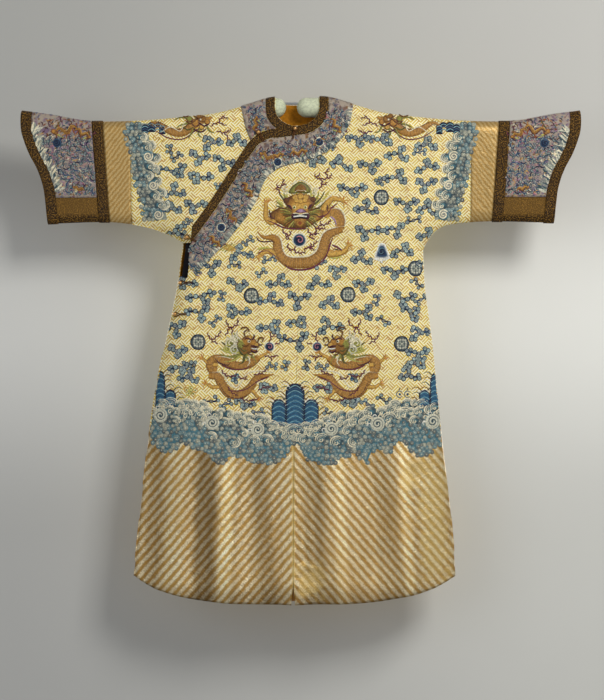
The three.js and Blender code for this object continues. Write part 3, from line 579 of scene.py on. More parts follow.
    def surface_y(self, facing: Array, x: Array, z: Array, inset: float, sunk: bool) -> Array:
        """Where the cloth lies along y. facing is -1 on the front, 1 on the back and 0 on a fold.

        Args:
            facing: -1 for the front and 1 for the back.
            x: places across.
            z: heights.
            inset: how far further in a layer lies.
            sunk: whether it lies on the right front.

        Returns:
            The places along y.
        """
        y = np.zeros(x.shape)
        for face in Face:
            mine = np.sign(facing) == face.value
            if mine.any():
                y[mine] = face.value * self.depth(face, x[mine], z[mine], inset)
        if sunk:
            drop, over_lapel = self.shoulder_z(x) - z, z - self.lapel_z(x)
            low = smoothstep(95, 20, over_lapel)
            y = np.minimum(y + self.tuck * smoothstep(38, 95, drop) * low, -self.seam_gap / 2)
        return y

    def place(self, facing: Numbers, x: Numbers, z: Numbers, over: Numbers = 0.0, inset: float = 0.0,
              sunk: bool = False) -> Array:
        """Puts flat places on the hung cloth.

        Args:
            facing: -1 for the front and 1 for the back, for each place.
            x: places across.
            z: heights.
            over: how far each one stands off the cloth.
            inset: how far further in a layer lies.
            sunk: whether it is the right front, which sinks under the lapel.

        Returns:
            Points as an array of three columns.
        """
        x, z = np.asarray(x, float), np.asarray(z, float)
        facing = np.broadcast_to(np.asarray(facing, float), x.shape)
        y = self.surface_y(facing, x, z, inset, sunk)
        points = np.stack([x, y, z], axis=-1)
        if np.any(over):
            step, y_at = 1.5, partial(self.surface_y, facing, inset=inset, sunk=sunk)
            slope_x = (y_at(x=x + step, z=z) - y_at(x=x - step, z=z)) / (2 * step)
            slope_z = (y_at(x=x, z=z + step) - y_at(x=x, z=z - step)) / (2 * step)
            normal = np.stack([-slope_x, np.ones_like(x), -slope_z], axis=-1)
            normal = normal * np.where(facing < 0, -1, 1)[..., None]
            normal /= np.linalg.norm(normal, axis=-1, keepdims=True)
            points = points + normal * np.broadcast_to(over, x.shape)[..., None]
        return points


HANG = Hang()


# Meshes

@dataclass
class Patch:
    """A sheet of points and faces, with its place on the flat cloth."""

    points: Array
    faces: list
    uv: Array
    fold: Array
    seam: Array
    area: float = 0.0
    size: tuple[float, float] = (0.0, 0.0)


def make_piece(name: str, points: Array, faces: list, finishes: list, uv: Array | None = None,
               kinds: Array | None = None, colours: Array | None = None) -> bpy.types.Object:
    """Makes a named piece that rides on the robe's one body.

    Args:
        name: the piece's name.
        points: its points, in millimetres.
        faces: its faces, as point numbers.
        finishes: its materials.
        uv: a flat place in millimetres for each point.
        kinds: which material each face takes.
        colours: a thread colour for each point.

    Returns:
        The object.
    """
    mesh = bpy.data.meshes.new(name)
    mesh.from_pydata((np.asarray(points) * MM).tolist(), [], [tuple(int(i) for i in f) for f in faces])
    if uv is not None:
        layer = mesh.uv_layers.new(name="cloth")
        loops = np.empty(len(mesh.loops), dtype=np.int32)
        mesh.loops.foreach_get("vertex_index", loops)
        layer.data.foreach_set("uv", (np.asarray(uv)[loops] * MM).astype(np.float32).ravel())
    if colours is not None:
        layer = mesh.attributes.new("thread", "FLOAT_COLOR", "POINT")
        layer.data.foreach_set("color", np.asarray(colours, dtype=np.float32).ravel())
    for finish in finishes:
        mesh.materials.append(finish)
    if kinds is not None:
        mesh.polygons.foreach_set("material_index", np.asarray(kinds, dtype=np.int32))
    mesh.polygons.foreach_set("use_smooth", np.ones(len(mesh.polygons), dtype=bool))
    mesh.update()
    piece = bpy.data.objects.new(name, mesh)
    bpy.context.scene.collection.objects.link(piece)
    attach(piece, ROOT)
    log.info("%s: %d faces", name, len(faces))
    return piece


def weave_patch(x: Array, z: Array, facing: Numbers, used: Array | None = None, cells: Array | None = None,
                fold: Array | None = None, seam: Array | None = None, inset: float = 0.0, sunk: bool = False,
                over: float = 0.0) -> Patch:
    """Turns columns and rows of flat places into a sheet on the hung cloth.

    Args:
        x: places across, an array of columns by rows.
        z: heights, the same.
        facing: -1 front, 1 back, 0 on a sleeve's fold, the same or one number.
        used: which places are in the sheet.
        cells: which cells between them are in it.
        fold: which places lie on a fold, where the wall leans straight along x and z.
        seam: which places lie on a seam, where the wall doesn't lean along x.
        inset: how far inside the outer cloth it lies.
        sunk: whether it is the right front.
        over: how far it stands off the cloth.

    Returns:
        The patch, its points that meet made one.
    """
    shape = x.shape
    facing = np.broadcast_to(np.asarray(facing, float), shape)
    blank = np.zeros(shape, bool)
    used = np.ones(shape, bool) if used is None else used
    fold, seam = (blank if fold is None else fold), (blank if seam is None else seam)
    points = HANG.place(facing.ravel(), x.ravel(), z.ravel(), over, inset, sunk)
    keys = np.round(points * 50).astype(np.int64)
    first, inverse = np.unique(keys, axis=0, return_index=True, return_inverse=True)[1:]
    inverse = inverse.reshape(shape)
    kept = points[first]
    a, b = inverse[:-1, :-1], inverse[1:, :-1]
    c, d = inverse[1:, 1:], inverse[:-1, 1:]
    whole = used[:-1, :-1] & used[1:, :-1] & used[1:, 1:] & used[:-1, 1:]
    if cells is not None:
        whole &= cells
    corners = np.stack([a[whole], b[whole], c[whole], d[whole]], axis=1)
    outward = np.cross(kept[corners[:, 2]] - kept[corners[:, 0]], kept[corners[:, 3]] - kept[corners[:, 1]])
    cell_facing = (facing[:-1, :-1] + facing[1:, 1:])[whole]
    if (outward[:, 1] * cell_facing).sum() < 0:
        corners = corners[:, ::-1]
    area = float(np.linalg.norm(outward, axis=1).sum() / 2)
    faces = []
    for quad in corners.tolist():
        face = [i for n, i in enumerate(quad) if i != quad[n - 1]]
        if len(set(face)) == len(face) and len(face) > 2:
            faces.append(face)
    flags = [np.zeros(len(kept), bool), np.zeros(len(kept), bool)]
    for flag, source in zip(flags, (fold, seam)):
        np.logical_or.at(flag, inverse.ravel(), source.ravel())
    grid = points.reshape(shape + (3,))
    size = tuple(float(np.linalg.norm(np.diff(grid, axis=axis),
                                      axis=2).sum(axis=axis).max()) for axis in (0, 1))
    uv = np.stack([x.ravel()[first], z.ravel()[first]], axis=1)
    used_points = np.zeros(len(kept), bool)
    used_points[np.unique(corners)] = True
    renumber = np.cumsum(used_points) - 1
    faces = [[int(renumber[i]) for i in face] for face in faces]
    return Patch(kept[used_points], faces, uv[used_points], flags[0][used_points], flags[1][used_points],
                 area, size)


def shell(patch: Patch, outside: float, inside: float) -> tuple[Array, list, Array, Array]:
    """Gives a sheet a wall between two heights over its points, and closes its edges.

    Args:
        patch: the sheet.
        outside: height of the outer face.
        inside: height of the inner face.

    Returns:
        Points, faces, flat places, and for each face 0 outside, 1 inside or on the rim.
    """
    p = patch.points
    tri = np.array([(f[0], f[i], f[i + 1]) for f in patch.faces for i in range(1, len(f) - 1)])
    normal = np.zeros_like(p)
    flat = np.cross(p[tri[:, 1]] - p[tri[:, 0]], p[tri[:, 2]] - p[tri[:, 0]])
    for k in range(3):
        np.add.at(normal, tri[:, k], flat)
    normal[patch.fold, 1] = 0
    normal[patch.seam, 0] = 0
    length = np.linalg.norm(normal, axis=1, keepdims=True)
    normal /= np.where(length > 0, length, 1)
    count = len(p)
    rim = {}
    for face in patch.faces:
        for i, a in enumerate(face):
            b = face[(i + 1) % len(face)]
            if (b, a) in rim:
                del rim[(b, a)]
            else:
                rim[(a, b)] = True
    inner = [[i + count for i in reversed(face)] for face in patch.faces]
    edge = [[b, a, a + count, b + count] for a, b in rim]
    kinds = np.array([0] * len(patch.faces) + [1] * len(inner) + [0] * len(edge))
    points = np.concatenate([p + normal * outside, p + normal * inside])
    return points, patch.faces + inner + edge, np.concatenate([patch.uv, patch.uv]), kinds


def node_group(name: str, inputs: dict[str, str], output: str) -> bpy.types.NodeTree:
    """Starts a node tree with named inputs and one output of geometry.

    Args:
        name: the tree's name.
        inputs: its named inputs and their kinds.
        output: name of its output.

    Returns:
        The tree, with no nodes yet.
    """
    made = bpy.data.node_groups.new(name, "GeometryNodeTree")
    for label, kind in inputs.items():
        made.interface.new_socket(label, in_out="INPUT", socket_type=f"NodeSocket{kind}")
    made.interface.new_socket(output, in_out="OUTPUT", socket_type="NodeSocketGeometry")
    return made


def run_tree(tree: bpy.types.NodeTree, start: bpy.types.Mesh, values: dict) -> bpy.types.Mesh:
    """Runs a node tree on a mesh.

    Args:
        tree: the tree.
        start: the mesh that it starts from.
        values: what its named inputs take.

    Returns:
        The plain mesh that it makes.
    """
    holder = bpy.data.objects.new(start.name, start)
    bpy.context.scene.collection.objects.link(holder)
    modifier = holder.modifiers.new("tree", "NODES")
    modifier.node_group = tree
    for socket in tree.interface.items_tree:
        if socket.item_type == "SOCKET" and socket.name in values:
            modifier[socket.identifier] = values[socket.name]
    graph = bpy.context.evaluated_depsgraph_get()
    plain = bpy.data.meshes.new_from_object(holder.evaluated_get(graph), preserve_all_data_layers=True,
                                            depsgraph=graph)
    holder.modifiers.clear()
    bpy.data.objects.remove(holder)
    return plain


def read_values(values: bpy.types.bpy_prop_collection, label: str, width: int) -> Array:
    """Reads one property of a mesh's points as rows of numbers.

    Args:
        values: the values to read.
        label: the property's name.
        width: how many numbers a point has.

    Returns:
        An array with a row for each point.
    """
    flat = np.empty(len(values) * width, np.float32)
    values.foreach_get(label, flat)
    return flat.reshape(-1, width)


def cloth_piece(name: str, patch: Patch, finishes: list, node: str,
                wall: tuple[float, float] = (0.0, -2.0)) -> bpy.types.Object:
    """Args:
        name: the piece's name.
        patch: its sheet.
        finishes: its outer material and, where it has one, its inner one.
        node: the solid that it stands for.
        wall: heights of its outer and inner face over the sheet.

    Returns:
        The object.
    """
    points, faces, uv, kinds = shell(patch, *wall)
    piece = make_piece(name, points, faces, finishes, uv, kinds if len(finishes) > 1 else None)
    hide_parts(node)
    width, length = (value * MM for value in patch.size)
    return piece


# Finishes

Socket = bpy.types.NodeSocket
Value = Socket | float | Colour


class Graph:
    """Adds nodes to a tree and joins them, so that a finish reads as its own recipe."""

    def __init__(self, tree: bpy.types.NodeTree) -> None:
        """Keeps the tree."""
        self.tree = tree

    def node(self, kind: str, inputs: dict | None = None, **settings) -> bpy.types.Node:
        """Adds a node.

        Args:
            kind: its type.
            inputs: values or sockets for its inputs, by name or number.
            settings: its own settings.

        Returns:
            The node.
        """
        made = self.tree.nodes.new(kind)
        for key, value in settings.items():
            setattr(made, key, value)
        for key, value in (inputs or {}).items():
            self.feed(made.inputs[key], value)
        return made

    def feed(self, socket: Socket, value: Value) -> None:
        """Gives an input a value or another node's output.

        Args:
            socket: the input.
            value: what it gets.
        """
        if isinstance(value, Socket):
            self.tree.links.new(value, socket)
        else:
            socket.default_value = value

    def math(self, operation: str, a: Value, b: Value = 0.5, c: Value = 0.5) -> Socket:
        """Works out one number from others."""
        return self.node("ShaderNodeMath", {0: a, 1: b, 2: c}, operation=operation).outputs[0]

    def wave(self, value: Value, pitch: float) -> Socket:
        """A smooth wave from 0 to 1 that repeats over a pitch in metres."""
        turned = self.math("MULTIPLY_ADD", value, 2 * math.pi / pitch, 0.0)
        return self.math("MULTIPLY_ADD", self.math("SINE", turned), 0.5, 0.5)

    def mix(self, share: Value, a: Value, b: Value, blend: str = "MIX") -> Socket:
        """Mixes two colours."""
        return self.node("ShaderNodeMix", {0: share, 6: a, 7: b}, data_type="RGBA",
                         blend_type=blend).outputs[2]

    def tint(self, share: Value, a: Value, b: Value) -> Socket:
        """Multiplies a colour by another, by a share."""
        return self.mix(share, a, b, "MULTIPLY")

    def partly(self, share: float, where: Value, a: Value, b: Value) -> Socket:
        """Mixes in the second colour where a number says, by a share of it."""
        return self.mix(self.math("MULTIPLY", where, share), a, b)

    def steps(self, value: Value, low: float, high: float) -> Socket:
        """Goes smoothly from 0 at low to 1 at high."""
        return self.node("ShaderNodeMapRange", {0: value, 1: low, 2: high},
                         interpolation_type="SMOOTHSTEP").outputs[0]

    def noise(self, vector: Value, scale: float, detail: float = 3.0, rough: float = 0.5) -> Socket:
        """Cloudy noise."""
        return self.node("ShaderNodeTexNoise",
                         {"Vector": vector, "Scale": scale, "Detail": detail, "Roughness": rough},
                         noise_dimensions="3D").outputs["Fac"]

    def shake(self, vector: Value, scale: float, detail: float, rough: float, far: float) -> Socket:
        """Noise that moves a place by up to half of far to both sides."""
        return self.math("MULTIPLY_ADD", self.noise(vector, scale, detail, rough), far, -far / 2)

    def ramp(self, value: Value, stops: list) -> Socket:
        """Reads a colour from stops of (place, colour).

        Args:
            value: what it gets.
            stops: its places and colours.

        Returns:
            The colour.
        """
        made = self.node("ShaderNodeValToRGB", {0: value})
        elements = made.color_ramp.elements
        while len(elements) < len(stops):
            elements.new(0.5)
        for element, (at, colour) in zip(elements, stops):
            element.position, element.color = at, colour
        return made.outputs[0]


@dataclass(frozen=True)
class Finish:
    """A material that its recipe makes once."""

    name: str

    def recipe(self, g: Graph) -> dict:
        """Gives the surface shader's inputs, with 'height' for its relief."""
        raise NotImplementedError

    def material(self) -> bpy.types.Material:
        """The material, made when first asked for.

        Returns:
            The material.
        """
        known = bpy.data.materials.get(self.name)
        if known:
            return known
        made = bpy.data.materials.new(self.name)
        made.use_nodes = True
        made.node_tree.nodes.clear()
        g = Graph(made.node_tree)
        inputs = self.recipe(g)
        height, depth = inputs.pop("height", None), inputs.pop("depth", 0.0004)
        if height is not None:
            bump = g.node("ShaderNodeBump", {"Height": height, "Distance": depth, "Strength": 1.0})
            inputs["Normal"] = bump.outputs[0]
        surface = g.node("ShaderNodeBsdfPrincipled", inputs)
        output = g.node("ShaderNodeOutputMaterial")
        made.node_tree.links.new(surface.outputs[0], output.inputs[0])
        made.diffuse_color = (0.7, 0.6, 0.4, 1)
        return made


def flat_place(g: Graph) -> tuple:
    """The cloth's own flat place in metres: the vector, and its two numbers.

    Args:
        g: the material's own nodes.

    Returns:
        The vector, the place across and the height.
    """
    vector = g.node("ShaderNodeUVMap", uv_map="cloth").outputs[0]
    parts = g.node("ShaderNodeSeparateXYZ", {0: vector})
    return vector, parts.outputs[0], parts.outputs[1]


@dataclass(frozen=True)
class RobeSilk(Finish):
    """Yellow silk covered with a gold parquet fret, and slanting stripes round the skirt's foot."""

    cell: float = 0.0276
    pitch: float = 0.0254
    stripes_top: float = -0.905
    seam: float = 0.005
    cream: Colour = srgb(250, 243, 200)
    gold: Colour = srgb(190, 138, 54)
    yellow: Colour = srgb(224, 190, 52)
    stripe_gold: Colour = srgb(190, 148, 78)
    stripe_silver: Colour = srgb(244, 228, 188)
    foil: Colour = srgb(232, 200, 120)
    # tints of painted highlight (bright) and painted shade (deep) for the stripes
    bright: Colour = (1.4, 1.5, 1.6, 1.0)
    deep: Colour = (0.30, 0.27, 0.24, 1.0)
    # painted highlight and painted shade along broad folds, where the gold shines or lies in shade:
    # x at the hem, x at the stripes' top, half width, how much
    painted_sheen_and_shade: tuple[Row, ...] = ((-0.248, -0.234, 0.038, -0.66), (-0.330, -0.318, 0.036, 0.45),
                              (-0.190, -0.170, 0.024, 0.9),
                              (-0.400, -0.372, 0.026, -0.45), (-0.060, -0.094, 0.030, -0.42),
                              (0.064, 0.058, 0.034, -0.36),
                              (0.142, 0.132, 0.020, 0.5), (0.262, 0.244, 0.028, -0.24),
                              (0.332, 0.310, 0.020, 0.6),
                              (0.400, 0.376, 0.040, 0.45), (-0.010, -0.016, 0.016, 0.35))
    # patches of painted highlight, where the crumpled stripes catch the light: x, z, half width, half height
    # in metres
    laid: tuple[Row, ...] = ((0.052, -1.330, 0.046, 0.056), (0.338, -1.035, 0.034, 0.054),
                             (0.40, -1.15, 0.05, 0.2))

    def recipe(self, g: Graph) -> dict:
        """Fret above, stripes below, with painted highlight and shade along folds, painted glints, and
        painted shade toward the hem.

        Args:
            g: the material's own nodes.

        Returns:
            The surface shader's inputs.
        """
        vector, u, v = flat_place(g)
        u2 = g.math("ADD", u, g.shake(vector, 9.0, 2.0, 0.5, 0.004))
        a = g.math("DIVIDE", g.math("ADD", u2, v), self.cell)
        b = g.math("DIVIDE", g.math("SUBTRACT", u2, v), self.cell)
        odd = g.math("MODULO", g.math("ABSOLUTE", g.math("ADD", g.math("FLOOR", a), g.math("FLOOR", b))), 2.0)
        lines_a, lines_b = g.wave(a, 1 / 3), g.wave(b, 1 / 3)
        lines = g.math("ADD", g.math("MULTIPLY", lines_a, odd),
                       g.math("MULTIPLY", lines_b, g.math("SUBTRACT", 1.0, odd)))
        worn = g.noise(vector, 60.0, 4.0, 0.6)
        fret = g.mix(g.steps(lines, 0.42, 0.66), g.mix(g.steps(worn, 0.55, 0.8), self.cream, self.yellow),
                     g.mix(g.steps(worn, 0.42, 0.66), self.yellow, self.gold))
        fret = g.partly(0.2, g.steps(g.noise(vector, 7.0), 0.45, 0.75), fret, srgb(206, 184, 120))
        away = g.math("ABSOLUTE", g.math("SUBTRACT", u, self.seam))
        slant = g.math("MULTIPLY_ADD", v, 0.87, away)
        slant = g.math("ADD", slant, g.shake(vector, 26.0, 2.0, 0.5, 0.007))
        slant = g.math("ADD", slant, g.shake(vector, 130.0, 3.0, 0.7, 0.012))
        share = g.math("FRACT", g.math("DIVIDE", slant, self.pitch))
        stripe = g.ramp(share, [(0.0, self.stripe_gold), (0.3, self.stripe_gold), (0.5, self.stripe_silver),
                                (0.78, self.stripe_silver), (1.0, self.stripe_gold)])
        grain = g.noise(vector, 300.0, 3.0, 0.6)
        stripe = g.partly(0.75, g.steps(grain, 0.45, 0.7), stripe, srgb(140, 108, 60))
        stripe = g.partly(0.35, g.steps(g.noise(vector, 9.0), 0.45, 0.7), stripe, self.stripe_gold)
        # painted sheen and painted shade: each band tints the stripes lighter or darker along a fold
        for x, top_x, half, tone in self.painted_sheen_and_shade:
            middle = g.math("MULTIPLY_ADD", g.math("MULTIPLY_ADD", v, 2.2, 3.04), top_x - x, x)
            off = g.math("DIVIDE", g.math("ABSOLUTE", g.math("SUBTRACT", u, middle)), half)
            off = g.math("ADD", off, g.shake(vector, 22.0, 3.0, 0.5, 0.9))
            deep = g.math("MULTIPLY", g.steps(off, 1.15, 0.35), abs(tone))
            stripe = g.tint(deep, stripe, self.bright if tone > 0 else self.deep)
        # painted shade: the stripes darken toward the hem
        stripe = g.tint(g.math("MULTIPLY", g.steps(v, -1.325, -1.385), 0.6), stripe, self.deep)
        stripe = g.partly(0.55, g.steps(away, 0.0055, 0.003), stripe, self.foil)
        # painted glints: the stripes are mixed toward foil in these patches
        edge = g.shake(vector, 24.0, 4.0, 0.7, 2.4)
        painted_glint = 0.0
        for x, z, half_x, half_z in self.laid:
            dx = g.math("DIVIDE", g.math("ABSOLUTE", g.math("SUBTRACT", u, x)), half_x)
            dz = g.math("DIVIDE", g.math("ABSOLUTE", g.math("SUBTRACT", v, z)), half_z)
            inside = g.steps(g.math("ADD", g.math("MAXIMUM", dx, dz), edge), 1.1, 0.45)
            painted_glint = g.math("MAXIMUM", painted_glint, g.math("MULTIPLY", inside, 0.4))
        stripe = g.mix(painted_glint, stripe, self.foil)
        low = g.steps(v, self.stripes_top + 0.004, self.stripes_top - 0.004)
        ribs = g.wave(slant, 0.0042)
        relief = g.math("ADD", g.math("MULTIPLY", lines, 0.5), g.math("MULTIPLY", grain, 0.5))
        relief = g.math("ADD", relief, g.math("MULTIPLY", g.math("MULTIPLY", ribs, low), 0.6))
        crumple = g.math("MULTIPLY", g.noise(vector, 60.0, 4.0, 0.65), g.math("MULTIPLY_ADD", low, 3.0, 2.6))
        return {"Base Color": g.mix(low, fret, stripe), "Roughness": g.math("MULTIPLY_ADD", low, -0.16, 0.56),
                "Metallic": g.math("MULTIPLY_ADD", low, 0.62, 0.04), "Specular IOR Level": 0.35,
                "height": g.math("ADD", relief, crumple), "depth": 0.0006}


@dataclass(frozen=True)
class SleeveSilk(Finish):
    """Striped gold and silver brocade of the lower sleeves."""

    pitch: float = 0.0135
    gold: Colour = srgb(182, 144, 80)
    silver: Colour = srgb(206, 176, 118)

    def recipe(self, g: Graph) -> dict:
        """Slanting stripes with a figured weave.

        Args:
            g: the material's own nodes.

        Returns:
            The surface shader's inputs.
        """
        vector, u, v = flat_place(g)
        slant = g.math("ADD", g.math("MULTIPLY", v, 0.8), g.math("ABSOLUTE", g.math("SUBTRACT", u, 0.026)))
        slant = g.math("ADD", slant, g.math("MULTIPLY", g.noise(vector, 30.0, 4.0, 0.7), 0.022))
        band = g.steps(g.wave(slant, self.pitch), 0.35, 0.65)
        grain = g.noise(vector, 380.0, 2.0)
        colour = g.mix(band, self.gold, self.silver)
        colour = g.mix(g.steps(grain, 0.5, 0.8), colour, srgb(126, 98, 52))
        return {"Base Color": colour, "Roughness": 0.42, "Metallic": 0.5, "Specular IOR Level": 0.35,
                "height": g.math("ADD", grain, g.math("MULTIPLY", g.noise(vector, 55.0, 4.0, 0.6), 3.2)),
                "depth": 0.0007}


@dataclass(frozen=True)
class Brocade(Finish):
    """Dark ribbon or cuff brocade with gold figures."""

    ground: Colour = srgb(42, 28, 12)
    figure: Colour = srgb(146, 106, 42)
    scale: float = 300.0
    gold_share: float = 0.5
    # painted light: above shadow_z the brocade is mixed toward its gold by this share, leaving painted shade
    # on the rounded underside below
    shadow_z: float = -0.306
    painted_light_share: float = 0.0

    def recipe(self, g: Graph) -> dict:
        """Small figures of gold thread in a dark twill, mixed toward gold above shadow_z as painted light.

        Args:
            g: the material's own nodes.

        Returns:
            The surface shader's inputs.
        """
        vector, u, v = flat_place(g)
        low = 0.56 - self.gold_share * 0.12
        figure = g.steps(g.noise(vector, self.scale, 1.5, 0.6), low, low + 0.08)
        twill = g.wave(g.math("ADD", u, v), 0.0016)
        patchy = g.steps(g.noise(vector, 30.0, 3.0), 0.3, 0.7)
        colour = g.mix(g.math("MULTIPLY", figure, g.math("MULTIPLY_ADD", patchy, 0.35, 0.6)), self.ground,
                       self.figure)
        # painted light above shadow_z, painted shade below it
        colour = g.partly(self.painted_light_share, g.steps(v, self.shadow_z - 0.014, self.shadow_z), colour, self.figure)
        return {"Base Color": colour, "Roughness": 0.5, "Specular IOR Level": 0.15,
                "height": g.math("ADD", g.math("MULTIPLY", twill, 0.5), g.math("MULTIPLY", figure, 1.2)),
                "depth": 0.0005}


@dataclass(frozen=True)
class BandSilk(Finish):
    """Densely worked silk of the collar band and cuff panels: mauve, cream and blue scrolls."""

    scale: float = 130.0
    ground: Colour = srgb(104, 86, 82)

    def recipe(self, g: Graph) -> dict:
        """Curling islands of blue and cream on a mauve ground.

        Args:
            g: the material's own nodes.

        Returns:
            The surface shader's inputs.
        """
        vector, u, _ = flat_place(g)
        push = g.node("ShaderNodeTexNoise", {"Vector": vector, "Scale": 60.0, "Detail": 2.0}).outputs["Color"]
        bent = g.node("ShaderNodeVectorMath", {0: push, 1: (0.02, 0.02, 0.0)},
                      operation="MULTIPLY").outputs[0]
        where = g.node("ShaderNodeVectorMath", {0: vector, 1: bent}, operation="ADD").outputs[0]
        cells = g.node("ShaderNodeTexVoronoi", {"Vector": where, "Scale": self.scale})
        pick = g.node("ShaderNodeSeparateColor", {0: cells.outputs["Color"]}).outputs[0]
        tint = g.ramp(pick, [(0.0, srgb(64, 78, 106)), (0.2, self.ground), (0.4, srgb(156, 142, 124)),
                             (0.56, srgb(84, 108, 122)), (0.72, srgb(132, 100, 112)),
                             (0.86, srgb(126, 90, 48))])
        edge = g.steps(cells.outputs["Distance"], 0.30, 0.62)
        colour = g.mix(edge, tint, srgb(168, 154, 138))
        colour = g.mix(g.steps(g.noise(vector, 46.0, 3.0), 0.5, 0.7), colour, self.ground)
        satin = g.wave(u, 0.0014)
        return {"Base Color": colour, "Roughness": 0.5, "Specular IOR Level": 0.25,
                "height": g.math("ADD", g.math("MULTIPLY", satin, 0.4), edge), "depth": 0.0005}


@dataclass(frozen=True)
class PlainSilk(Finish):
    """Plain woven silk or cotton with slubs."""

    colour: Colour = srgb(186, 116, 30)
    rough: float = 0.5
    thread: float = 0.0011

    def recipe(self, g: Graph) -> dict:
        """A plain weave, a little uneven in tone.

        Args:
            g: the material's own nodes.

        Returns:
            The surface shader's inputs.
        """
        vector, u, v = flat_place(g)
        slub = g.noise(vector, 140.0, 4.0, 0.6)
        dark = tuple(c * 0.62 for c in self.colour[:3]) + (1.0,)
        colour = g.partly(0.8, g.steps(slub, 0.35, 0.75), self.colour, dark)
        weave = g.math("ADD", g.wave(u, self.thread), g.wave(v, self.thread))
        crumple = g.noise(vector, 38.0, 4.0, 0.6)
        return {"Base Color": colour, "Roughness": self.rough, "Specular IOR Level": 0.2,
                "height": g.math("ADD", g.math("MULTIPLY", weave, 0.3), g.math("MULTIPLY", crumple, 3.0)),
                "depth": 0.0006}


@dataclass(frozen=True)
class SatinThread(Finish):
    """Satin stitch and couched metal thread, in the colour that each stitch carries."""

    rough: float = 0.42

    def recipe(self, g: Graph) -> dict:
        """Fine ridges of floss over the thread's own colour.

        Args:
            g: the material's own nodes.

        Returns:
            The surface shader's inputs.
        """
        tone = g.node("ShaderNodeAttribute", attribute_name="thread").outputs["Color"]
        place = g.node("ShaderNodeTexCoord").outputs["Object"]
        floss = g.noise(place, 700.0, 2.0)
        shade = g.noise(place, 240.0, 3.0, 0.6)
        value = g.math("MULTIPLY_ADD", g.steps(shade, 0.3, 0.7), 0.62, 0.66)
        mixed = g.node("ShaderNodeHueSaturation",
                       {"Color": tone, "Saturation": 1.0, "Value": value}).outputs[0]
        mixed = g.partly(0.3, g.steps(floss, 0.5, 0.8), mixed, srgb(60, 50, 40))
        return {"Base Color": mixed, "Roughness": self.rough, "Specular IOR Level": 0.25,
                "height": g.math("ADD", floss, shade), "depth": 0.0004}


@dataclass(frozen=True)
class Metal(Finish):
    """Polished or brushed metal with light wear."""

    colour: Colour = srgb(222, 172, 108)
    rough: float = 0.24

    def recipe(self, g: Graph) -> dict:
        """Metal with fine scratches and dull spots.

        Args:
            g: the material's own nodes.

        Returns:
            The surface shader's inputs.
        """
        place = g.node("ShaderNodeTexCoord").outputs["Object"]
        wear = g.noise(place, 420.0, 5.0, 0.7)
        dark = tuple(c * 0.45 for c in self.colour[:3]) + (1.0,)
        colour = g.mix(g.steps(wear, 0.5, 0.85), self.colour, dark)
        return {"Base Color": colour, "Metallic": 0.9,
                "Roughness": g.math("MULTIPLY_ADD", wear, 0.3, self.rough - 0.1),
                "height": wear, "depth": 0.0002}


@dataclass(frozen=True)
class PaintedLightStageGrey(Finish):
    """The seamless grey behind and below, seen from its own front only, with painted light: lighter to the
    right and a painted pool of light at mid height.
    """

    def material(self) -> bpy.types.Material:
        """A dull grey with painted light, lighter to the right and brightest in a painted pool at mid height,
        clear from behind.

        Returns:
            The material.
        """
        made = bpy.data.materials.new(self.name)
        made.use_nodes = True
        made.node_tree.nodes.clear()
        g = Graph(made.node_tree)
        place = g.node("ShaderNodeTexCoord").outputs["Object"]
        parts = g.node("ShaderNodeSeparateXYZ", {0: place})
        # painted light: the grey grows lighter to the right and changes with height
        across = g.steps(parts.outputs[0], -1.0, 1.1)
        up = g.steps(parts.outputs[2], -1.6, 0.3)
        speck = g.noise(place, 6.0, 4.0, 0.6)
        low = g.mix(across, srgb(190, 190, 187), srgb(222, 222, 216))
        high = g.mix(across, srgb(180, 180, 176), srgb(198, 197, 192))
        tone = g.mix(up, low, high)
        # painted pool of light, brightest at mid height
        middle = g.steps(g.math("ABSOLUTE", g.math("ADD", parts.outputs[2], 0.62)), 0.62, 0.0)
        tone = g.partly(0.75, middle, tone, g.mix(across, srgb(232, 232, 228), srgb(250, 250, 244)))
        tone = g.partly(0.05, speck, tone, srgb(150, 150, 148))
        dull = g.node("ShaderNodeBsdfDiffuse", {0: tone})
        clear = g.node("ShaderNodeBsdfTransparent")
        behind = g.node("ShaderNodeNewGeometry").outputs["Backfacing"]
        both = g.node("ShaderNodeMixShader", {0: behind, 1: dull.outputs[0], 2: clear.outputs[0]})
        output = g.node("ShaderNodeOutputMaterial")
        made.node_tree.links.new(both.outputs[0], output.inputs[0])
        return made


ROBE_SILK = RobeSilk("yellow silk with gold fret")
SLEEVE_SILK = SleeveSilk("striped sleeve silk")
RIBBON = Brocade("dark and gold ribbon")
CUFF_BROCADE = Brocade("cuff brocade", srgb(46, 31, 13), srgb(152, 112, 46), 280.0, 0.5, -0.306, 0.4)
BAND = BandSilk("band silk")
CUFF_PANEL = BandSilk("cuff panel silk", 150.0, srgb(122, 100, 122))
LINING = PlainSilk("orange lining silk", srgb(210, 138, 24))
DARK_SILK = PlainSilk("blue black silk", srgb(14, 12, 18), 0.7)
PAD_COTTON = PlainSilk("pale green cotton", srgb(218, 224, 192), 0.7, 0.0016)
CORD_SILK = SatinThread("wrapped cord silk", 0.6)
STITCHES = SatinThread("embroidery silk")
BRASS = Metal("gilded brass")
STEEL = Metal("brushed steel", srgb(168, 172, 176), 0.34)


# Sheets of the robe

# heights of the outer and inner face of a band or ribbon over the cloth
LAID_WALL = (2.0, 0.8)


def blend_rows(inner: Line, outer: Line, across: int, along: int) -> tuple[Array, Array]:
    """Fills the strip between two lines with rows of places.

    Args:
        inner: one edge.
        outer: the other edge.
        across: steps from one to the other.
        along: steps along them.

    Returns:
        The x and z of the places.
    """
    a, b = even_line(inner, along + 1), even_line(outer, along + 1)
    t = np.linspace(0, 1, across + 1)[:, None, None]
    both = a[None] * (1 - t) + b[None] * t
    return both[..., 0], both[..., 1]


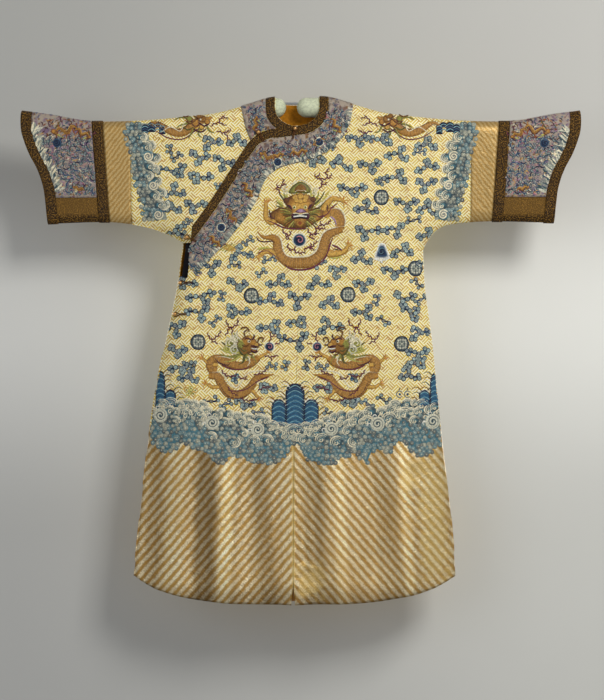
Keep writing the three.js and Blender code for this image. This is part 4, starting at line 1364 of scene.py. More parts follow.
@dataclass(frozen=True)
class BodyPanels:
    """The two backs, the left front, the overlap, the right front and the under flap."""

    pitch: float = 8.0
    sleeve_seam: float = 474.0
    flap_inset: float = 9.0
    under_lapel: float = 40.0
    neck_steps: int = 16
    # right end, left end and foot of the lining behind the neck
    lining: Row = (-56.0, 88.0, -130.0)
    slit: Row = (-277.0, -290.0, -382.0, -492.0)

    def upper_rows(self, top: Array, foot: Array, middle: int) -> Array:
        """Heights of the rows from the shoulder fold to the underarm, for each column.

        Args:
            top: height of the fold, for each column.
            foot: height of the underarm, for each column.
            middle: how many steps lie between.

        Returns:
            The heights.
        """
        radius, low = HANG.fold_radius, HANG.undersleeve_radius
        tops = top[:, None] - arc(10)[None] * radius
        between = np.linspace(0, 1, middle + 1)[1:-1][None]
        mids = lerp(top[:, None] - radius, foot[:, None] + low, between)
        feet = foot[:, None] + arc(6)[::-1][None] * low
        return np.concatenate([tops, mids, feet], axis=1)

    def neck_cut(self, face: Face, xs: Array, z: Array) -> Array:
        """Lowers the rows over the neck opening to its edge."""
        return np.where(HANG.in_neck(xs)[:, None], np.minimum(z, HANG.neck_z(face, xs)[:, None]), z)

    def cells(self, face: Face, columns: int, rows: int) -> Array:
        """Which cells are cloth: all but those beside the straight top of the neck opening.

        Args:
            face: front or back.
            columns: how many columns it has.
            rows: how many rows it has.

        Returns:
            True or false for each cell.
        """
        tops = np.concatenate([arc(10) * HANG.fold_radius, np.full(rows, 1e3)])[1:rows]
        straight = HANG.neck_straight[0 if face is Face.FRONT else 1]
        return ~((np.arange(columns - 1) == self.neck_steps - 1)[:, None] & (tops <= straight + 0.1)[None])

    def columns(self, side: Side) -> tuple[Array, int]:
        """Columns of a half panel, and the number of the one at the side seam.

        Args:
            side: left or right.

        Returns:
            The places across, and the number of the seam.
        """
        s = side.value
        turn = np.linspace(0, math.pi / 2, self.neck_steps + 1)
        across = HANG.neck_x + s * HANG.neck_half * np.sin(turn)
        across[0] = HANG.body_at(np.array([0.0]), 3)[0]
        edge = float(HANG.side_x(side, np.array([HANG.underarm(side)]))[0])
        inner = edge - s * HANG.side_radius
        over = np.linspace(across[-1], inner, int(abs(inner - across[-1]) / self.pitch) + 1)[1:]
        round_side = edge - s * HANG.side_radius * arc(9)[::-1][1:]
        out = HANG.centre + s * self.sleeve_seam
        sleeve = np.linspace(edge, out, int(abs(out - edge) / self.pitch) + 1)[1:]
        body = np.concatenate([across, over, round_side])
        return np.concatenate([body, sleeve]), len(body) - 1

    def half(self, side: Side, face: Face) -> Patch:
        """A half of the front or back, cut in one with its upper sleeve.

        Args:
            side: left or right.
            face: front or back.

        Returns:
            The patch.
        """
        s = side.value
        xs, corner = self.columns(side)
        under = HANG.underarm(side)
        number = np.arange(len(xs))
        foot = np.where(number <= corner, under, HANG.undersleeve_z(side, HANG.reach(xs)))
        z_up = self.neck_cut(face, xs, self.upper_rows(HANG.shoulder_z(xs), foot, 36))
        x_up = np.broadcast_to(xs[:, None], z_up.shape).copy()
        x_up[0] = HANG.body_at(z_up[0], 3) + s * HANG.seam_gap / 2
        x_up[-1] -= s * HANG.seam_gap / 2
        arm_row = z_up.shape[1] - 1
        drop = np.linspace(0, 1, 118)[1:]
        share = (xs - xs[0]) / (xs[corner] - xs[0])
        hem = curve_through(*zip(*HANG.hem), np.clip(share, 0, 1))
        z_low = lerp(under, hem[:, None], drop[None])
        from_edge = s * (xs[corner] - xs)
        flat = (xs - xs[0]) / (xs[corner] - s * HANG.side_radius - xs[0])
        vent = HANG.vent(z_low) if face is Face.FRONT else 0.0
        seam = HANG.body_at(z_low, 3) + s * (HANG.seam_gap / 2 + vent)
        edge = HANG.side_x(side, z_low)
        x_low = np.where((from_edge < HANG.side_radius)[:, None], edge - s * from_edge[:, None],
                         lerp(seam, edge - s * HANG.side_radius, flat[:, None]))
        x, z = np.concatenate([x_up, x_low], axis=1), np.concatenate([z_up, z_low], axis=1)
        row = np.arange(x.shape[1])[None]
        col = number[:, None]
        used = (col <= corner) | (row <= arm_row)
        over_shoulder = (row == 0) & ~HANG.in_neck(xs)[:, None]
        fold = over_shoulder | ((col >= corner) & (row == arm_row)) | ((col == corner) & (row > arm_row))
        seams = np.broadcast_to((col == 0) | (col == len(xs) - 1), x.shape)
        return weave_patch(x, z, face.value, used, self.cells(face, *x.shape), fold, seams)

    def right_front(self) -> Patch:
        """Shoulder and upper sleeve of the right front, which run on a little way under the lapel.

        Returns:
            The patch.
        """
        xs, corner = self.columns(Side.RIGHT)
        number = np.arange(len(xs))
        under = HANG.underarm(Side.RIGHT)
        sleeve_foot = HANG.undersleeve_z(Side.RIGHT, HANG.reach(xs))
        level_foot = np.where(number <= corner, under, sleeve_foot)
        stop = np.where(number > corner, sleeve_foot, np.maximum(HANG.lapel_z(xs) - self.under_lapel, under))
        z = self.neck_cut(Face.FRONT, xs, self.upper_rows(HANG.shoulder_z(xs), level_foot, 40))
        z = np.maximum(z, stop[:, None])
        x = np.broadcast_to(xs[:, None], z.shape).copy()
        x[-1] += HANG.seam_gap / 2
        row, col = np.arange(z.shape[1])[None], number[:, None]
        over_shoulder = (row == 0) & ~HANG.in_neck(xs)[:, None]
        fold = over_shoulder | ((col >= corner) & (row == z.shape[1] - 1))
        seams = np.broadcast_to(col == len(xs) - 1, z.shape)
        return weave_patch(x, z, -1, None, self.cells(Face.FRONT, *z.shape), fold, seams, sunk=True)

    def overlap_edge(self, z: Array) -> Array:
        """Right edge of the overlap at each height: lapel, slit, then side seam.

        Args:
            z: height.

        Returns:
            The places across.
        """
        top_x, foot_x, top, foot = self.slit
        lapel = HANG.lapel[3:]
        on_lapel = curve_through([r[1] for r in lapel], [r[0] for r in lapel], z)
        on_slit = lerp(top_x, foot_x, (top - z) / (top - foot))
        return np.where(z > top, on_lapel, np.where(z > foot, on_slit, HANG.body_at(z, 1)))

    def overlap(self) -> Patch:
        """The right half of the outer front, below the lapel.

        Returns:
            The patch.
        """
        flat_share = 0.8
        shares = np.concatenate([np.linspace(0, flat_share, 40), 1 - (1 - flat_share) * arc(10)[::-1][1:]])
        first = self.slit[3]
        z_up = np.concatenate([np.linspace(-88, -380, 40), np.linspace(self.slit[2], first + 3, 15)])
        edge = self.overlap_edge(z_up)
        seam = HANG.body_at(z_up, 3) - HANG.seam_gap / 2
        x_up = lerp(seam[None], edge[None], shares[:, None])
        z_up = np.broadcast_to(z_up[None], x_up.shape).copy()
        z_up[:, 0] = HANG.lapel_z(x_up[:, 0])
        hem = curve_through(*zip(*HANG.hem), shares)
        z_low = lerp(first, hem[:, None], np.linspace(0, 1, 114)[None])
        side = HANG.body_at(z_low, 1)
        seam_low = HANG.body_at(z_low, 3) - HANG.seam_gap / 2 - HANG.vent(z_low)
        flat = lerp(seam_low, side + HANG.side_radius, shares[:, None] / flat_share)
        turned = lerp(side + HANG.side_radius, side, (shares[:, None] - flat_share) / (1 - flat_share))
        x_low = np.where(shares[:, None] <= flat_share, flat, turned)
        x, z = np.concatenate([x_up, x_low], axis=1), np.concatenate([z_up, z_low], axis=1)
        row, col = np.arange(x.shape[1])[None], np.arange(x.shape[0])[:, None]
        fold = (col == x.shape[0] - 1) & (row >= x_up.shape[1])
        seams = np.broadcast_to(col == 0, x.shape)
        return weave_patch(x, z, -1, None, None, fold, seams)

    def under_flap(self) -> Patch:
        """The plain inner front on the right side, from the right front's lower edge down.

        Returns:
            The patch.
        """
        top = HANG.underarm(Side.RIGHT) - HANG.seam_gap
        zs = np.concatenate([[top], np.linspace(top - 20, -1328, 90)])
        shares = np.concatenate([np.linspace(0, 0.8, 30), 1 - 0.2 * arc(8)[::-1][1:]])
        inner = lerp(-120, 30, smoothstep(top, top - 300, zs))
        x = lerp(inner[None], HANG.body_at(zs, 1)[None] + self.flap_inset, shares[:, None])
        z = np.broadcast_to(zs[None], x.shape)
        row, col = np.arange(x.shape[1])[None], np.arange(x.shape[0])[:, None]
        fold = (row > 0) & (col == x.shape[0] - 1)
        patch = weave_patch(x, z, -1, None, None, np.broadcast_to(fold, x.shape), None, self.flap_inset)
        near = patch.uv[:, 1] > top - 1
        patch.points[near] = HANG.place(-1, patch.uv[near, 0], patch.uv[near, 1], sunk=True)
        return patch

    def build(self) -> None:
        """Makes the body's six cloth pieces and the lining behind the neck."""
        silk = [ROBE_SILK.material(), LINING.material()]
        for name, side, face in (("front_left", Side.LEFT, Face.FRONT), ("back_left", Side.LEFT, Face.BACK),
                                 ("back_right", Side.RIGHT, Face.BACK)):
            cloth_piece(f"silk_{name}", self.half(side, face), silk, name)
        cloth_piece("silk_front_overlap", self.overlap(), silk, "front_overlap")
        cloth_piece("silk_right_front", self.right_front(), silk, "right_front")
        cloth_piece("silk_under_flap", self.under_flap(), [DARK_SILK.material()], "under_flap")
        right, left, foot = self.lining
        xs = np.linspace(right, left, 25)
        share = np.linspace(0, 1, 16)
        top = HANG.shoulder_z(xs) - HANG.fold_radius + 4
        z = lerp(top[:, None], foot, share[None])
        lining = weave_patch(np.broadcast_to(xs[:, None], z.shape), z, 1)
        lining.points[:, 1] -= 2.8
        cloth_piece("lining_silk_back_neck", lining, [LINING.material()], "lining_back_neck",
                    (0.0, -1.0))


@dataclass(frozen=True)
class Sleeves:
    """Lower sleeves, horse-hoof cuffs, and the ribbons and panels on them."""

    sleeve_seam: float = 474.0
    cuff_top: float = 553.0
    cuff_bottom: float = 534.0
    ribbon: float = 30.0
    foot_reach: float = 708.0
    panel_foot: float = -268.0
    halfway: float = -190.0

    def arm_seam(self, z: Array, extra: float) -> Array:
        """Reach of the seam between upper and lower sleeve."""
        return np.full(z.shape, self.sleeve_seam + extra)

    def cuff_seam(self, z: Array, extra: float) -> Array:
        """Reach of the slanting seam between sleeve and cuff."""
        return lerp(self.cuff_top, self.cuff_bottom, np.clip((-50 - z) / 285, 0, 1)) + extra

    def cuff_edge(self, z: Array, back: float) -> Array:
        """Reach of the cuff's outer edge, or a line inside it."""
        return curve_through(*zip(*HANG.cuff_edge), np.clip(z, -340, -20)) - back

    def ring_levels(self, top: float, foot: float) -> Array:
        """Heights round one side of a sleeve, from its fold to its lower edge.

        Args:
            top: height of its fold.
            foot: height of its lower edge.

        Returns:
            The heights.
        """
        radius, low = HANG.fold_radius, HANG.undersleeve_radius
        mids = np.linspace(top - radius, foot + low, 30)
        return np.concatenate([top - arc(8)[:-1] * radius, mids, foot + low * arc(6)[::-1][1:]])

    def tube(self, side: Side, start: Callable[[Array], Array], end: Callable[[Array], Array], count: int,
             keep_above: float | None = None) -> Patch:
        """A sheet round a sleeve between two lines of reach.

        Args:
            side: which sleeve.
            start: reach of its inner edge by height.
            end: reach of its outer edge by height.
            count: steps between them.
            keep_above: height below which it is left out.

        Returns:
            The patch.
        """
        columns_x, columns_z = [], []
        halfway = np.array([self.halfway])
        for t in np.linspace(0, 1, count + 1):
            middle = float(lerp(start(halfway), end(halfway), t)[0])
            top = float(HANG.shoulder_z(np.array([HANG.x_at(side, middle)]))[0])
            foot = float(HANG.undersleeve_z(side, np.array([min(middle, self.foot_reach)]))[0])
            levels = self.ring_levels(top, foot)
            reach = lerp(start(levels), end(levels), t)
            x = HANG.x_at(side, reach)
            share = (top - levels) / (top - foot)
            here_foot = HANG.undersleeve_z(side, np.minimum(reach, self.foot_reach))
            z = lerp(HANG.shoulder_z(x), here_foot, share)
            columns_x.append(np.concatenate([x, x[1:-1][::-1], x[:1]]))
            columns_z.append(np.concatenate([z, z[1:-1][::-1], z[:1]]))
        rows = (len(columns_x[0]) + 1) // 2
        facing = np.concatenate([[0], -np.ones(rows - 2), [0], np.ones(rows - 2), [0]])
        x, z = np.array(columns_x), np.array(columns_z)
        used = None
        if keep_above is not None:
            used = np.broadcast_to((z > keep_above).all(axis=0)[None], z.shape)
        ends = np.zeros(x.shape, bool)
        ends[[0, -1]] = True
        return weave_patch(x, z, np.broadcast_to(facing[None], x.shape), used, None, None, ends)

    def build(self) -> None:
        """Makes both lower sleeves and cuffs with their trim."""
        gap = HANG.seam_gap / 2
        for side in Side:
            word = side.name.lower()
            sleeve = self.tube(side, partial(self.arm_seam, extra=gap), partial(self.cuff_seam, extra=-gap),
                               9)
            cloth_piece(f"silk_sleeve_{word}", sleeve, [SLEEVE_SILK.material(), LINING.material()],
                        f"sleeve_{word}")
            cuff = self.tube(side, partial(self.cuff_seam, extra=gap), partial(self.cuff_edge, back=0.0), 30)
            cloth_piece(f"brocade_cuff_{word}", cuff, [CUFF_BROCADE.material(), LINING.material()],
                        f"cuff_{word}")
            seam = self.tube(side, partial(self.cuff_seam, extra=1.0),
                             partial(self.cuff_seam, extra=self.ribbon), 5)
            cloth_piece(f"ribbon_cuff_seam_{word}", seam, [RIBBON.material()],
                        f"cuff_{word}_seam_ribbon",
                        LAID_WALL)
            edge = self.tube(side, partial(self.cuff_edge, back=self.ribbon),
                             partial(self.cuff_edge, back=1.0), 5)
            cloth_piece(f"ribbon_cuff_edge_{word}", edge, [RIBBON.material()],
                        f"cuff_{word}_edge_ribbon",
                        LAID_WALL)
            margin = self.ribbon + 1
            panel = self.tube(side, partial(self.cuff_seam, extra=margin),
                              partial(self.cuff_edge, back=margin), 20,
                              self.panel_foot)
            cloth_piece(f"silk_cuff_panel_{word}", panel, [CUFF_PANEL.material()],
                        f"cuff_{word}_panel",
                        LAID_WALL)


@dataclass(frozen=True)
class Collar:
    """Neck ribbon, patterned collar band and lapel, front and back."""

    ribbon: float = 25.0
    lapel_ribbon: float = 24.0
    back_band_half: float = 156.5
    back_band_depth: float = 112.0
    # where the lapel starts, beside the front's middle seam
    seam_x: float = 19.7
    # outer edge on the left shoulder, round the chest and down the lapel
    band_edge: tuple[Row, ...] = (
        (172, -8), (163, -60), (137, -104), (104, -135), (60, -158), (20, -167.5), (16, -168), (-30, -182),
        (-72, -215),
        (-98, -275), (-130, -325), (-186, -395), (-236, -446), (-270, -478))
    right_edge: tuple[Row, ...] = ((-140, -14), (-127, -74), (-112, -110))

    def neck_line(self, face: Face, start: float, end: float, widen: float) -> Array:
        """The neck's edge, widened, over a range of turns in degrees, from the shoulder fold down.

        Args:
            face: front or back.
            start: where it starts, in degrees.
            end: where it ends, in degrees.
            widen: how far it is widened.

        Returns:
            An array of points, two columns.
        """
        turn = np.radians(np.linspace(start, end, 24))
        x = HANG.neck_x + (HANG.neck_half + widen) * np.cos(turn)
        return self.rise(np.stack([x, HANG.neck_z(face, x, widen)], axis=1))

    def rise(self, line: Array) -> Array:
        """Carries a line's first point up to the shoulder fold.

        Args:
            line: the line.

        Returns:
            The longer line.
        """
        x = line[0, 0]
        top = float(HANG.shoulder_z(np.array([x]))[0])
        up = np.stack([np.full(9, x), top - arc(8) * (top - line[0, 1])], axis=1)
        return np.concatenate([up[:-1], line])

    def strip(self, name: str, node: str, inner: Line, outer: Line, facing: int, finish: Finish,
              across: int, along: int, sunk: bool = False) -> None:
        """Makes one band or ribbon between two lines, laid on its panel.

        Args:
            name: the piece's name.
            node: the solid that it stands for.
            inner: one edge.
            outer: the other edge.
            facing: -1 for the front and 1 for the back.
            finish: its material.
            across: steps from edge to edge.
            along: steps along it.
            sunk: whether it lies on the right front.
        """
        x, z = blend_rows(inner, outer, across, along)
        top = HANG.shoulder_z(x)
        fold = z > top - 0.4
        z = np.minimum(z, top)
        patch = weave_patch(x, z, facing, None, None, fold, None, sunk=sunk)
        cloth_piece(name, patch, [finish.material()], node, LAID_WALL)

    def build(self) -> None:
        """Makes the ten pieces of the collar and lapel."""
        front, back = Face.FRONT, Face.BACK
        wide = self.ribbon + 1
        self.strip("ribbon_neck_left", "collar_ribbon_left", self.neck_line(front, 0, 86.5, 0.3),
                   self.neck_line(front, 0, 87.5, self.ribbon), -1, RIBBON,
                   5, 44)
        outer = np.array([row for row in self.band_edge if row[0] >= 20.1], float)
        self.strip("band_neck_left", "collar_band_left", self.neck_line(front, 0, 87.5, wide),
                   self.rise(np.concatenate([outer, [(20.3, -167.5)]])), -1, BAND,
                   12, 50)
        lapel = smooth_line([row for n, row in enumerate(HANG.lapel[:-1]) if n != 3] + [(-276.5, -345)], 6.0)
        lapel[0, 0] = self.seam_x
        left = ways(lapel)[1]
        lower, inner = lapel + self.lapel_ribbon * left, lapel + (self.lapel_ribbon + 1) * left
        lower[0, 0] = inner[0, 0] = self.seam_x
        self.strip("ribbon_lapel", "lapel_ribbon", lapel + np.array([0, -0.3]),
                   np.concatenate([lower, [(-280, -392)]]), -1,
                   RIBBON, 5, 80)
        edge = [row for row in self.band_edge if row[0] < 20]
        self.strip("band_lapel", "lapel_band", np.concatenate([inner, [(-281, -396), (-286, -440)]]),
                   smooth_line([(self.seam_x, -167.7)] + edge[1:], 6.0), -1, BAND,
                   14, 80)
        self.strip("ribbon_neck_right", "collar_ribbon_right", self.neck_line(front, 180, 94, 0.3),
                   self.neck_line(front, 180, 94, self.ribbon), -1, RIBBON,
                   5, 36, True)
        right_inner = np.concatenate([self.neck_line(front, 180, 124, wide), [(-50, -92)]])
        self.strip("band_neck_right", "collar_band_right", right_inner,
                   np.concatenate([self.rise(np.array(self.right_edge, float)), [(-100, -106)]]), -1, BAND,
                   8, 36, True)
        for side, start in ((Side.LEFT, 0), (Side.RIGHT, 180)):
            word = side.name.lower()
            gap = 2.4 * side.value
            end = 90 - gap
            self.strip(f"ribbon_neck_back_{word}", f"collar_ribbon_back_{word}",
                       self.neck_line(back, start, end, 0.3),
                       self.neck_line(back, start, end, self.ribbon), 1, RIBBON,
                       5, 44)
            turn = np.radians(np.linspace(start, 90 - gap * 0.6, 30))
            x = HANG.neck_x + self.back_band_half * np.cos(turn)
            outer = np.stack([x, HANG.shoulder_z(x) - self.back_band_depth * np.sin(turn)], axis=1)
            self.strip(f"band_neck_back_{word}", f"collar_band_back_{word}",
                       self.neck_line(back, start, end, wide),
                       outer, 1, BAND, 12, 50)


@dataclass(frozen=True)
class Hanger:
    """Two padded arms and the steel bar that joins them."""

    radius: float = 28.2
    start: float = 15.0
    end_reach: float = 536.0
    bar_radius: float = 3.0
    bar_half: float = 42.0

    def pad(self, side: Side) -> None:
        """A padded arm under tight cotton, gathered at its domed end.

        Args:
            side: left or right.
        """
        s = side.value
        around, dome = 48, arc(10)[1:]
        first = s * (self.start + self.radius * dome)
        out = HANG.centre + s * self.end_reach
        xs = np.concatenate([[s * self.start], first, np.linspace(first[-1], out, 86)[1:]])
        turn = np.linspace(0, 2 * math.pi, around, endpoint=False)
        points, uv = [], []
        for x in xs:
            into = np.clip(1 - (s * x - self.start) / self.radius, 0, 1)
            radius = max(self.radius * math.sqrt(1 - into ** 2), 0.05)
            gather = 0.5 * math.exp(-(s * x - self.start) / 26) * np.sin(turn * 16) * min(radius / 12, 1)
            seam = -0.9 * np.exp(-((turn - 4.4) / 0.05) ** 2)
            wrinkle = 0.25 * np.sin(x / 17 + 2.2 * np.sin(turn * 2 + x / 41))
            r = np.minimum(radius - 0.5 + gather + seam + wrinkle * min(radius / 20, 1), radius)
            points.append(np.stack([np.full(around, x), r * np.sin(turn),
                                    HANG.shoulder_z(np.array([x]))[0] - HANG.fold_radius + r * np.cos(turn)],
                                    axis=1))
            uv.append(np.stack([np.full(around, x), turn * self.radius], axis=1))
        count = len(xs)
        faces = grid_faces(count, around, ring=True)
        faces += [list(range(around))[::-1], list(range((count - 1) * around, count * around))]
        if s > 0:
            faces = [face[::-1] for face in faces]
        word = side.name.lower()
        piece = make_piece(f"hanger_pad_{word}", np.concatenate(points), faces, [PAD_COTTON.material()],
                           np.concatenate(uv))
        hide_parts(f"hanger_arm_{word}")

    def build(self) -> None:
        """Makes the arms and the bar."""
        for side in Side:
            self.pad(side)
        sides, half, radius = 32, self.bar_half, self.bar_radius
        profile = [(-half, 0.6), (-half, radius - 0.5), (-half + 0.6, radius)]
        profile += [(x, radius if n % 2 else radius - 0.06) for n,
                    x in enumerate(np.linspace(1 - half, half - 1, 42))]
        profile += [(half - 0.6, radius), (half, radius - 0.5), (half, 0.6)]
        turn = np.linspace(0, 2 * math.pi, sides, endpoint=False)
        rings = [np.stack([np.full(sides, x), r * np.cos(turn), r * np.sin(turn)], axis=1) for x,
                 r in profile]
        faces = grid_faces(len(profile), sides, ring=True)
        faces += [list(range(sides))[::-1], list(range((len(profile) - 1) * sides, len(profile) * sides))]
        bar = make_piece("hanger_rod", np.concatenate(rings), faces, [STEEL.material()])
        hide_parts("hanger_bar")


# Stitches

@dataclass
class Needle:
    """Works stitches flat on the cloth's plane, and then lays them on the hung robe."""

    places: list = field(default_factory=list)
    lifts: list = field(default_factory=list)
    tones: list = field(default_factory=list)
    faces: list = field(default_factory=list)
    count: int = 0
    mirror: float | None = None

    def add(self, places: Array, lifts: Array, tones: Array, faces: list) -> None:
        """Adds flat points, their heights and colours, and faces over them.

        Args:
            places: flat points.
            lifts: their heights over the cloth.
            tones: their colours.
            faces: their faces, as point numbers.
        """
        places = np.array(places, float)
        if self.mirror is not None:
            places[:, 0] = 2 * self.mirror - places[:, 0]
        self.places.append(places)
        self.lifts.append(np.asarray(lifts, float))
        self.tones.append(np.asarray(tones, float))
        self.faces.extend([[i + self.count for i in face] for face in faces])
        self.count += len(places)

    def stroke(self, line: Line, width: float | Row, thread: Thread, edge: Thread | None = None,
               other: Thread | None = None,
               crown: float = 0.9, base: float = 0.25, taper: tuple[float, float] = (0.2, 0.2),
               step: float = 4.5,
               closed: bool = False) -> Array:
        """Works one stroke along a line.

        Args:
            line: points that it runs through.
            width: its full width, or several, evenly along it.
            thread: its colour.
            edge: colour of its left edge.
            other: colour of its right edge.
            crown: how high its middle stands.
            base: how high it starts over the cloth.
            taper: share of its width at its two ends.
            step: length between its points.
            closed: whether it is a ring.

        Returns:
            The smooth line that it follows.
        """
        path = smooth_line(line, step, closed)
        n = len(path)
        side = ways(path)[1]
        t = np.linspace(0, 1, n)
        widths = np.interp(t, np.linspace(0, 1, np.size(width)), np.atleast_1d(width).astype(float)) / 2
        if not closed:
            reach = 0.16 if n > 6 else 0.4
            widths = widths * np.minimum(1, taper[0] + (1 - taper[0]) * np.sqrt(t / reach))
            widths = widths * np.minimum(1, taper[1] + (1 - taper[1]) * np.sqrt((1 - t) / reach))
        wide = float(np.max(widths)) > 4.5
        across = np.array([-1, -0.8, -0.35, 0.35, 0.8, 1]) if wide else np.array([-1, 0, 1])
        rise = np.array([0, 0.75, 1, 1, 0.75, 0]) if wide else np.array([0, 1, 0])
        tone = np.tile(np.array(thread.value), (len(across), 1))
        if edge:
            tone[:2 if wide else 1] = edge.value
        if other:
            tone[-(2 if wide else 1):] = other.value
        m = len(across)
        places = path[:, None] + side[:, None] * across[None, :, None] * widths[:, None, None]
        lifts = np.broadcast_to(base - 0.45 * (rise == 0) + crown * rise, (n, m))
        tones = np.broadcast_to(tone[None], (n, m, 4))
        self.add(places.reshape(-1, 2), lifts.ravel(), tones.reshape(-1, 4), grid_faces(n, m))
        return path

    def flame(self, line: Line, width: float = 4.2, base: float = 0.5) -> None:
        """Works one tongue of flame: a wavering stroke with barbs to both sides.

        Args:
            line: points that it runs through.
            width: its full width.
            base: how high it starts over the cloth.
        """
        path = smooth_line(line, 3.0)
        ahead, side = ways(path)
        run = np.arange(len(path)) * 3.0
        path = path + side * (1.9 * np.sin(run * 2 * math.pi / 13))[:, None]
        self.stroke(path, (width, width * 0.8), Thread.PURPLE, Thread.PLUM, base=base, taper=(0.7, 0.3),
                    step=3.0)
        for n, at in enumerate(range(2, len(path) - 1, 3)):
            way = side[at] * (1 if n % 2 else -1) * 6.5 + ahead[at] * 4.5
            bow = path[at] + way * 0.5 + ahead[at] * 1.6
            self.stroke([path[at], bow, path[at] + way], (width * 0.75, width * 0.3),
                        Thread.PURPLE if n % 3 else Thread.PLUM,
                        base=base, step=2.5)

    def fill(self, outline: Line, thread: Thread, edge: Thread | None = None, crown: float = 0.9,
             base: float = 0.25,
             middle: Thread | None = None, step: float = 4.0) -> None:
        """Fills a rounded shape, all of whose edge can be seen from its middle.

        Args:
            outline: its edge.
            thread: its colour.
            edge: colour of its edge.
            crown: how high its middle stands.
            base: how high it starts over the cloth.
            middle: colour of its middle.
            step: length between its points.
        """
        ring = smooth_line(outline, step, True)[:-1]
        centre = ring.mean(axis=0)
        shares = np.array([1.0, 0.88, 0.6, 0.3])
        lift = np.array([-0.45, 0.7, 1.0, 1.0])
        n = len(ring)
        places = np.concatenate([centre + (ring - centre) * s for s in shares] + [centre[None]])
        rings = [np.full(n, base + (h * crown if h > 0 else h)) for h in lift]
        lifts = np.concatenate(rings + [[base + crown]])
        tones = np.tile(np.array(thread.value), (len(places), 1))
        if edge:
            tones[:2 * n] = edge.value
        if middle:
            tones[3 * n:] = middle.value
        self.add(places, lifts, tones, grid_faces(4, n, ring=True) + fan_faces(3 * n, n))

    def wash(self, x: Array, z: Array, threads: tuple[Thread, Thread], share: Array, lift: float) -> None:
        """Covers a grid of places with flat floss from one thread to another, tucked in at two sides.

        Args:
            x: places across, as a grid.
            z: heights, as a grid.
            threads: its colours.
            share: how far it has gone from one to the other, row by row.
            lift: its height over the cloth.
        """
        first, second = (np.array(thread.value) for thread in threads)
        tones = np.broadcast_to(lerp(first, second, share[None, :, None]), x.shape + (4,))
        lifts = np.full(x.shape, lift)
        lifts[:, [0, -1]] = -0.3
        self.add(np.stack([x.ravel(), z.ravel()], axis=1), lifts.ravel(), tones.reshape(-1, 4),
                 grid_faces(*x.shape))

    def disc(self, x: float, z: float, radius: float, thread: Thread, edge: Thread | None = None,
             crown: float = 0.9,
             base: float = 0.25, middle: Thread | None = None) -> None:
        """Fills a round."""
        turn = np.linspace(0, 2 * math.pi, 12, endpoint=False)
        self.fill(round_points(x, z, radius, turn), thread, edge, crown, base, middle,
                  max(radius * 0.45, 1.2))

    def spiral(self, x: float, z: float, radius: float, turns: float, width: float, thread: Thread,
               start: float = 0.0,
               hand: int = 1, base: float = 0.7) -> None:
        """Works a stroke that winds in to a middle.

        Args:
            x: place across.
            z: height.
            radius: its radius.
            turns: how many times it winds.
            width: its full width.
            thread: its colour.
            start: where it starts, in radians.
            hand: 1, or -1 for its mirror image.
            base: how high it starts over the cloth.
        """
        t = np.linspace(0, 1, int(12 * turns) + 3)
        angle = start + hand * t * turns * 2 * math.pi
        r = radius * (1 - 0.86 * t)
        self.stroke(round_points(x, z, r, angle), width, thread, base=base, step=3.0, taper=(0.5, 0.4))

    def arc(self, x: float, z: float, radius: float, start: float, end: float, width: float, thread: Thread,
            flat: float = 1.0, base: float = 0.5, tilt: float = 0.0) -> None:
        """Works part of a ring, in degrees; flat squeezes its height.

        Args:
            x: place across.
            z: height.
            radius: its radius.
            start: where it starts, in degrees.
            end: where it ends, in degrees.
            width: its full width.
            thread: its colour.
            flat: how far its height is squeezed.
            base: how high it starts over the cloth.
            tilt: its turn in degrees.
        """
        a = np.radians(np.linspace(start, end, 7))
        p = np.stack([radius * np.cos(a), radius * flat * np.sin(a)], axis=1)
        c, s = math.cos(math.radians(tilt)), math.sin(math.radians(tilt))
        p = np.stack([x + c * p[:, 0] - s * p[:, 1], z + s * p[:, 0] + c * p[:, 1]], axis=1)
        self.stroke(p, width, thread, base=base, step=4.0)

    def spray(self, lines: list, width: float, threads: tuple, base: float = 0.4) -> None:
        """Works a set of thin tapering strokes in turn from a few threads."""
        for n, line in enumerate(lines):
            self.stroke(line, (width, width * 0.4), threads[n % len(threads)], base=base, step=4.0)

    def lay(self, name: str, face: Face, over: float = 0.0, sunk: bool = False, turned: bool = False,
            slot: str = "yellow_silk") -> None:
        """Lays all that it has worked on the robe as one piece.

        Args:
            name: the piece's name.
            face: front or back.
            over: how far its ground stands off the cloth.
            sunk: whether it lies on the right front.
            turned: whether left and right change places, as behind.
            slot: not used.
        """
        places, lifts = np.concatenate(self.places), np.concatenate(self.lifts)
        tones = np.concatenate(self.tones)
        if turned:
            places[:, 0] = 2 * HANG.body_at(places[:, 1], 3) - places[:, 0]
        points = HANG.place(face.value, places[:, 0], places[:, 1], lifts + over, sunk=sunk)
        corners = np.array([(f[0], f[1], f[2]) for f in self.faces])
        outward = np.cross(points[corners[:, 1]] - points[corners[:, 0]],
                           points[corners[:, 2]] - points[corners[:, 0]])
        within = HANG.holds(places[:, 0], places[:, 1])
        faces = [f if way * face.value >= 0 else f[::-1] for f,
                 way in zip(self.faces, outward[:, 1]) if within[f].all()]
        used = np.zeros(len(points), bool)
        used[[i for f in faces for i in f]] = True
        number = np.cumsum(used) - 1
        faces = [[int(number[i]) for i in f] for f in faces]
        points, places, tones = points[used], places[used], tones[used]
        piece = make_piece(name, points, faces, [STITCHES.material()], places, colours=tones)


class Motif(Enum):
    """Small shapes that are stitched again and again."""

    CURL = "ring with a light eye"
    SCALE = "crescent"
    FEATHER = "short tapering stitch"
    RING = "seed knot"


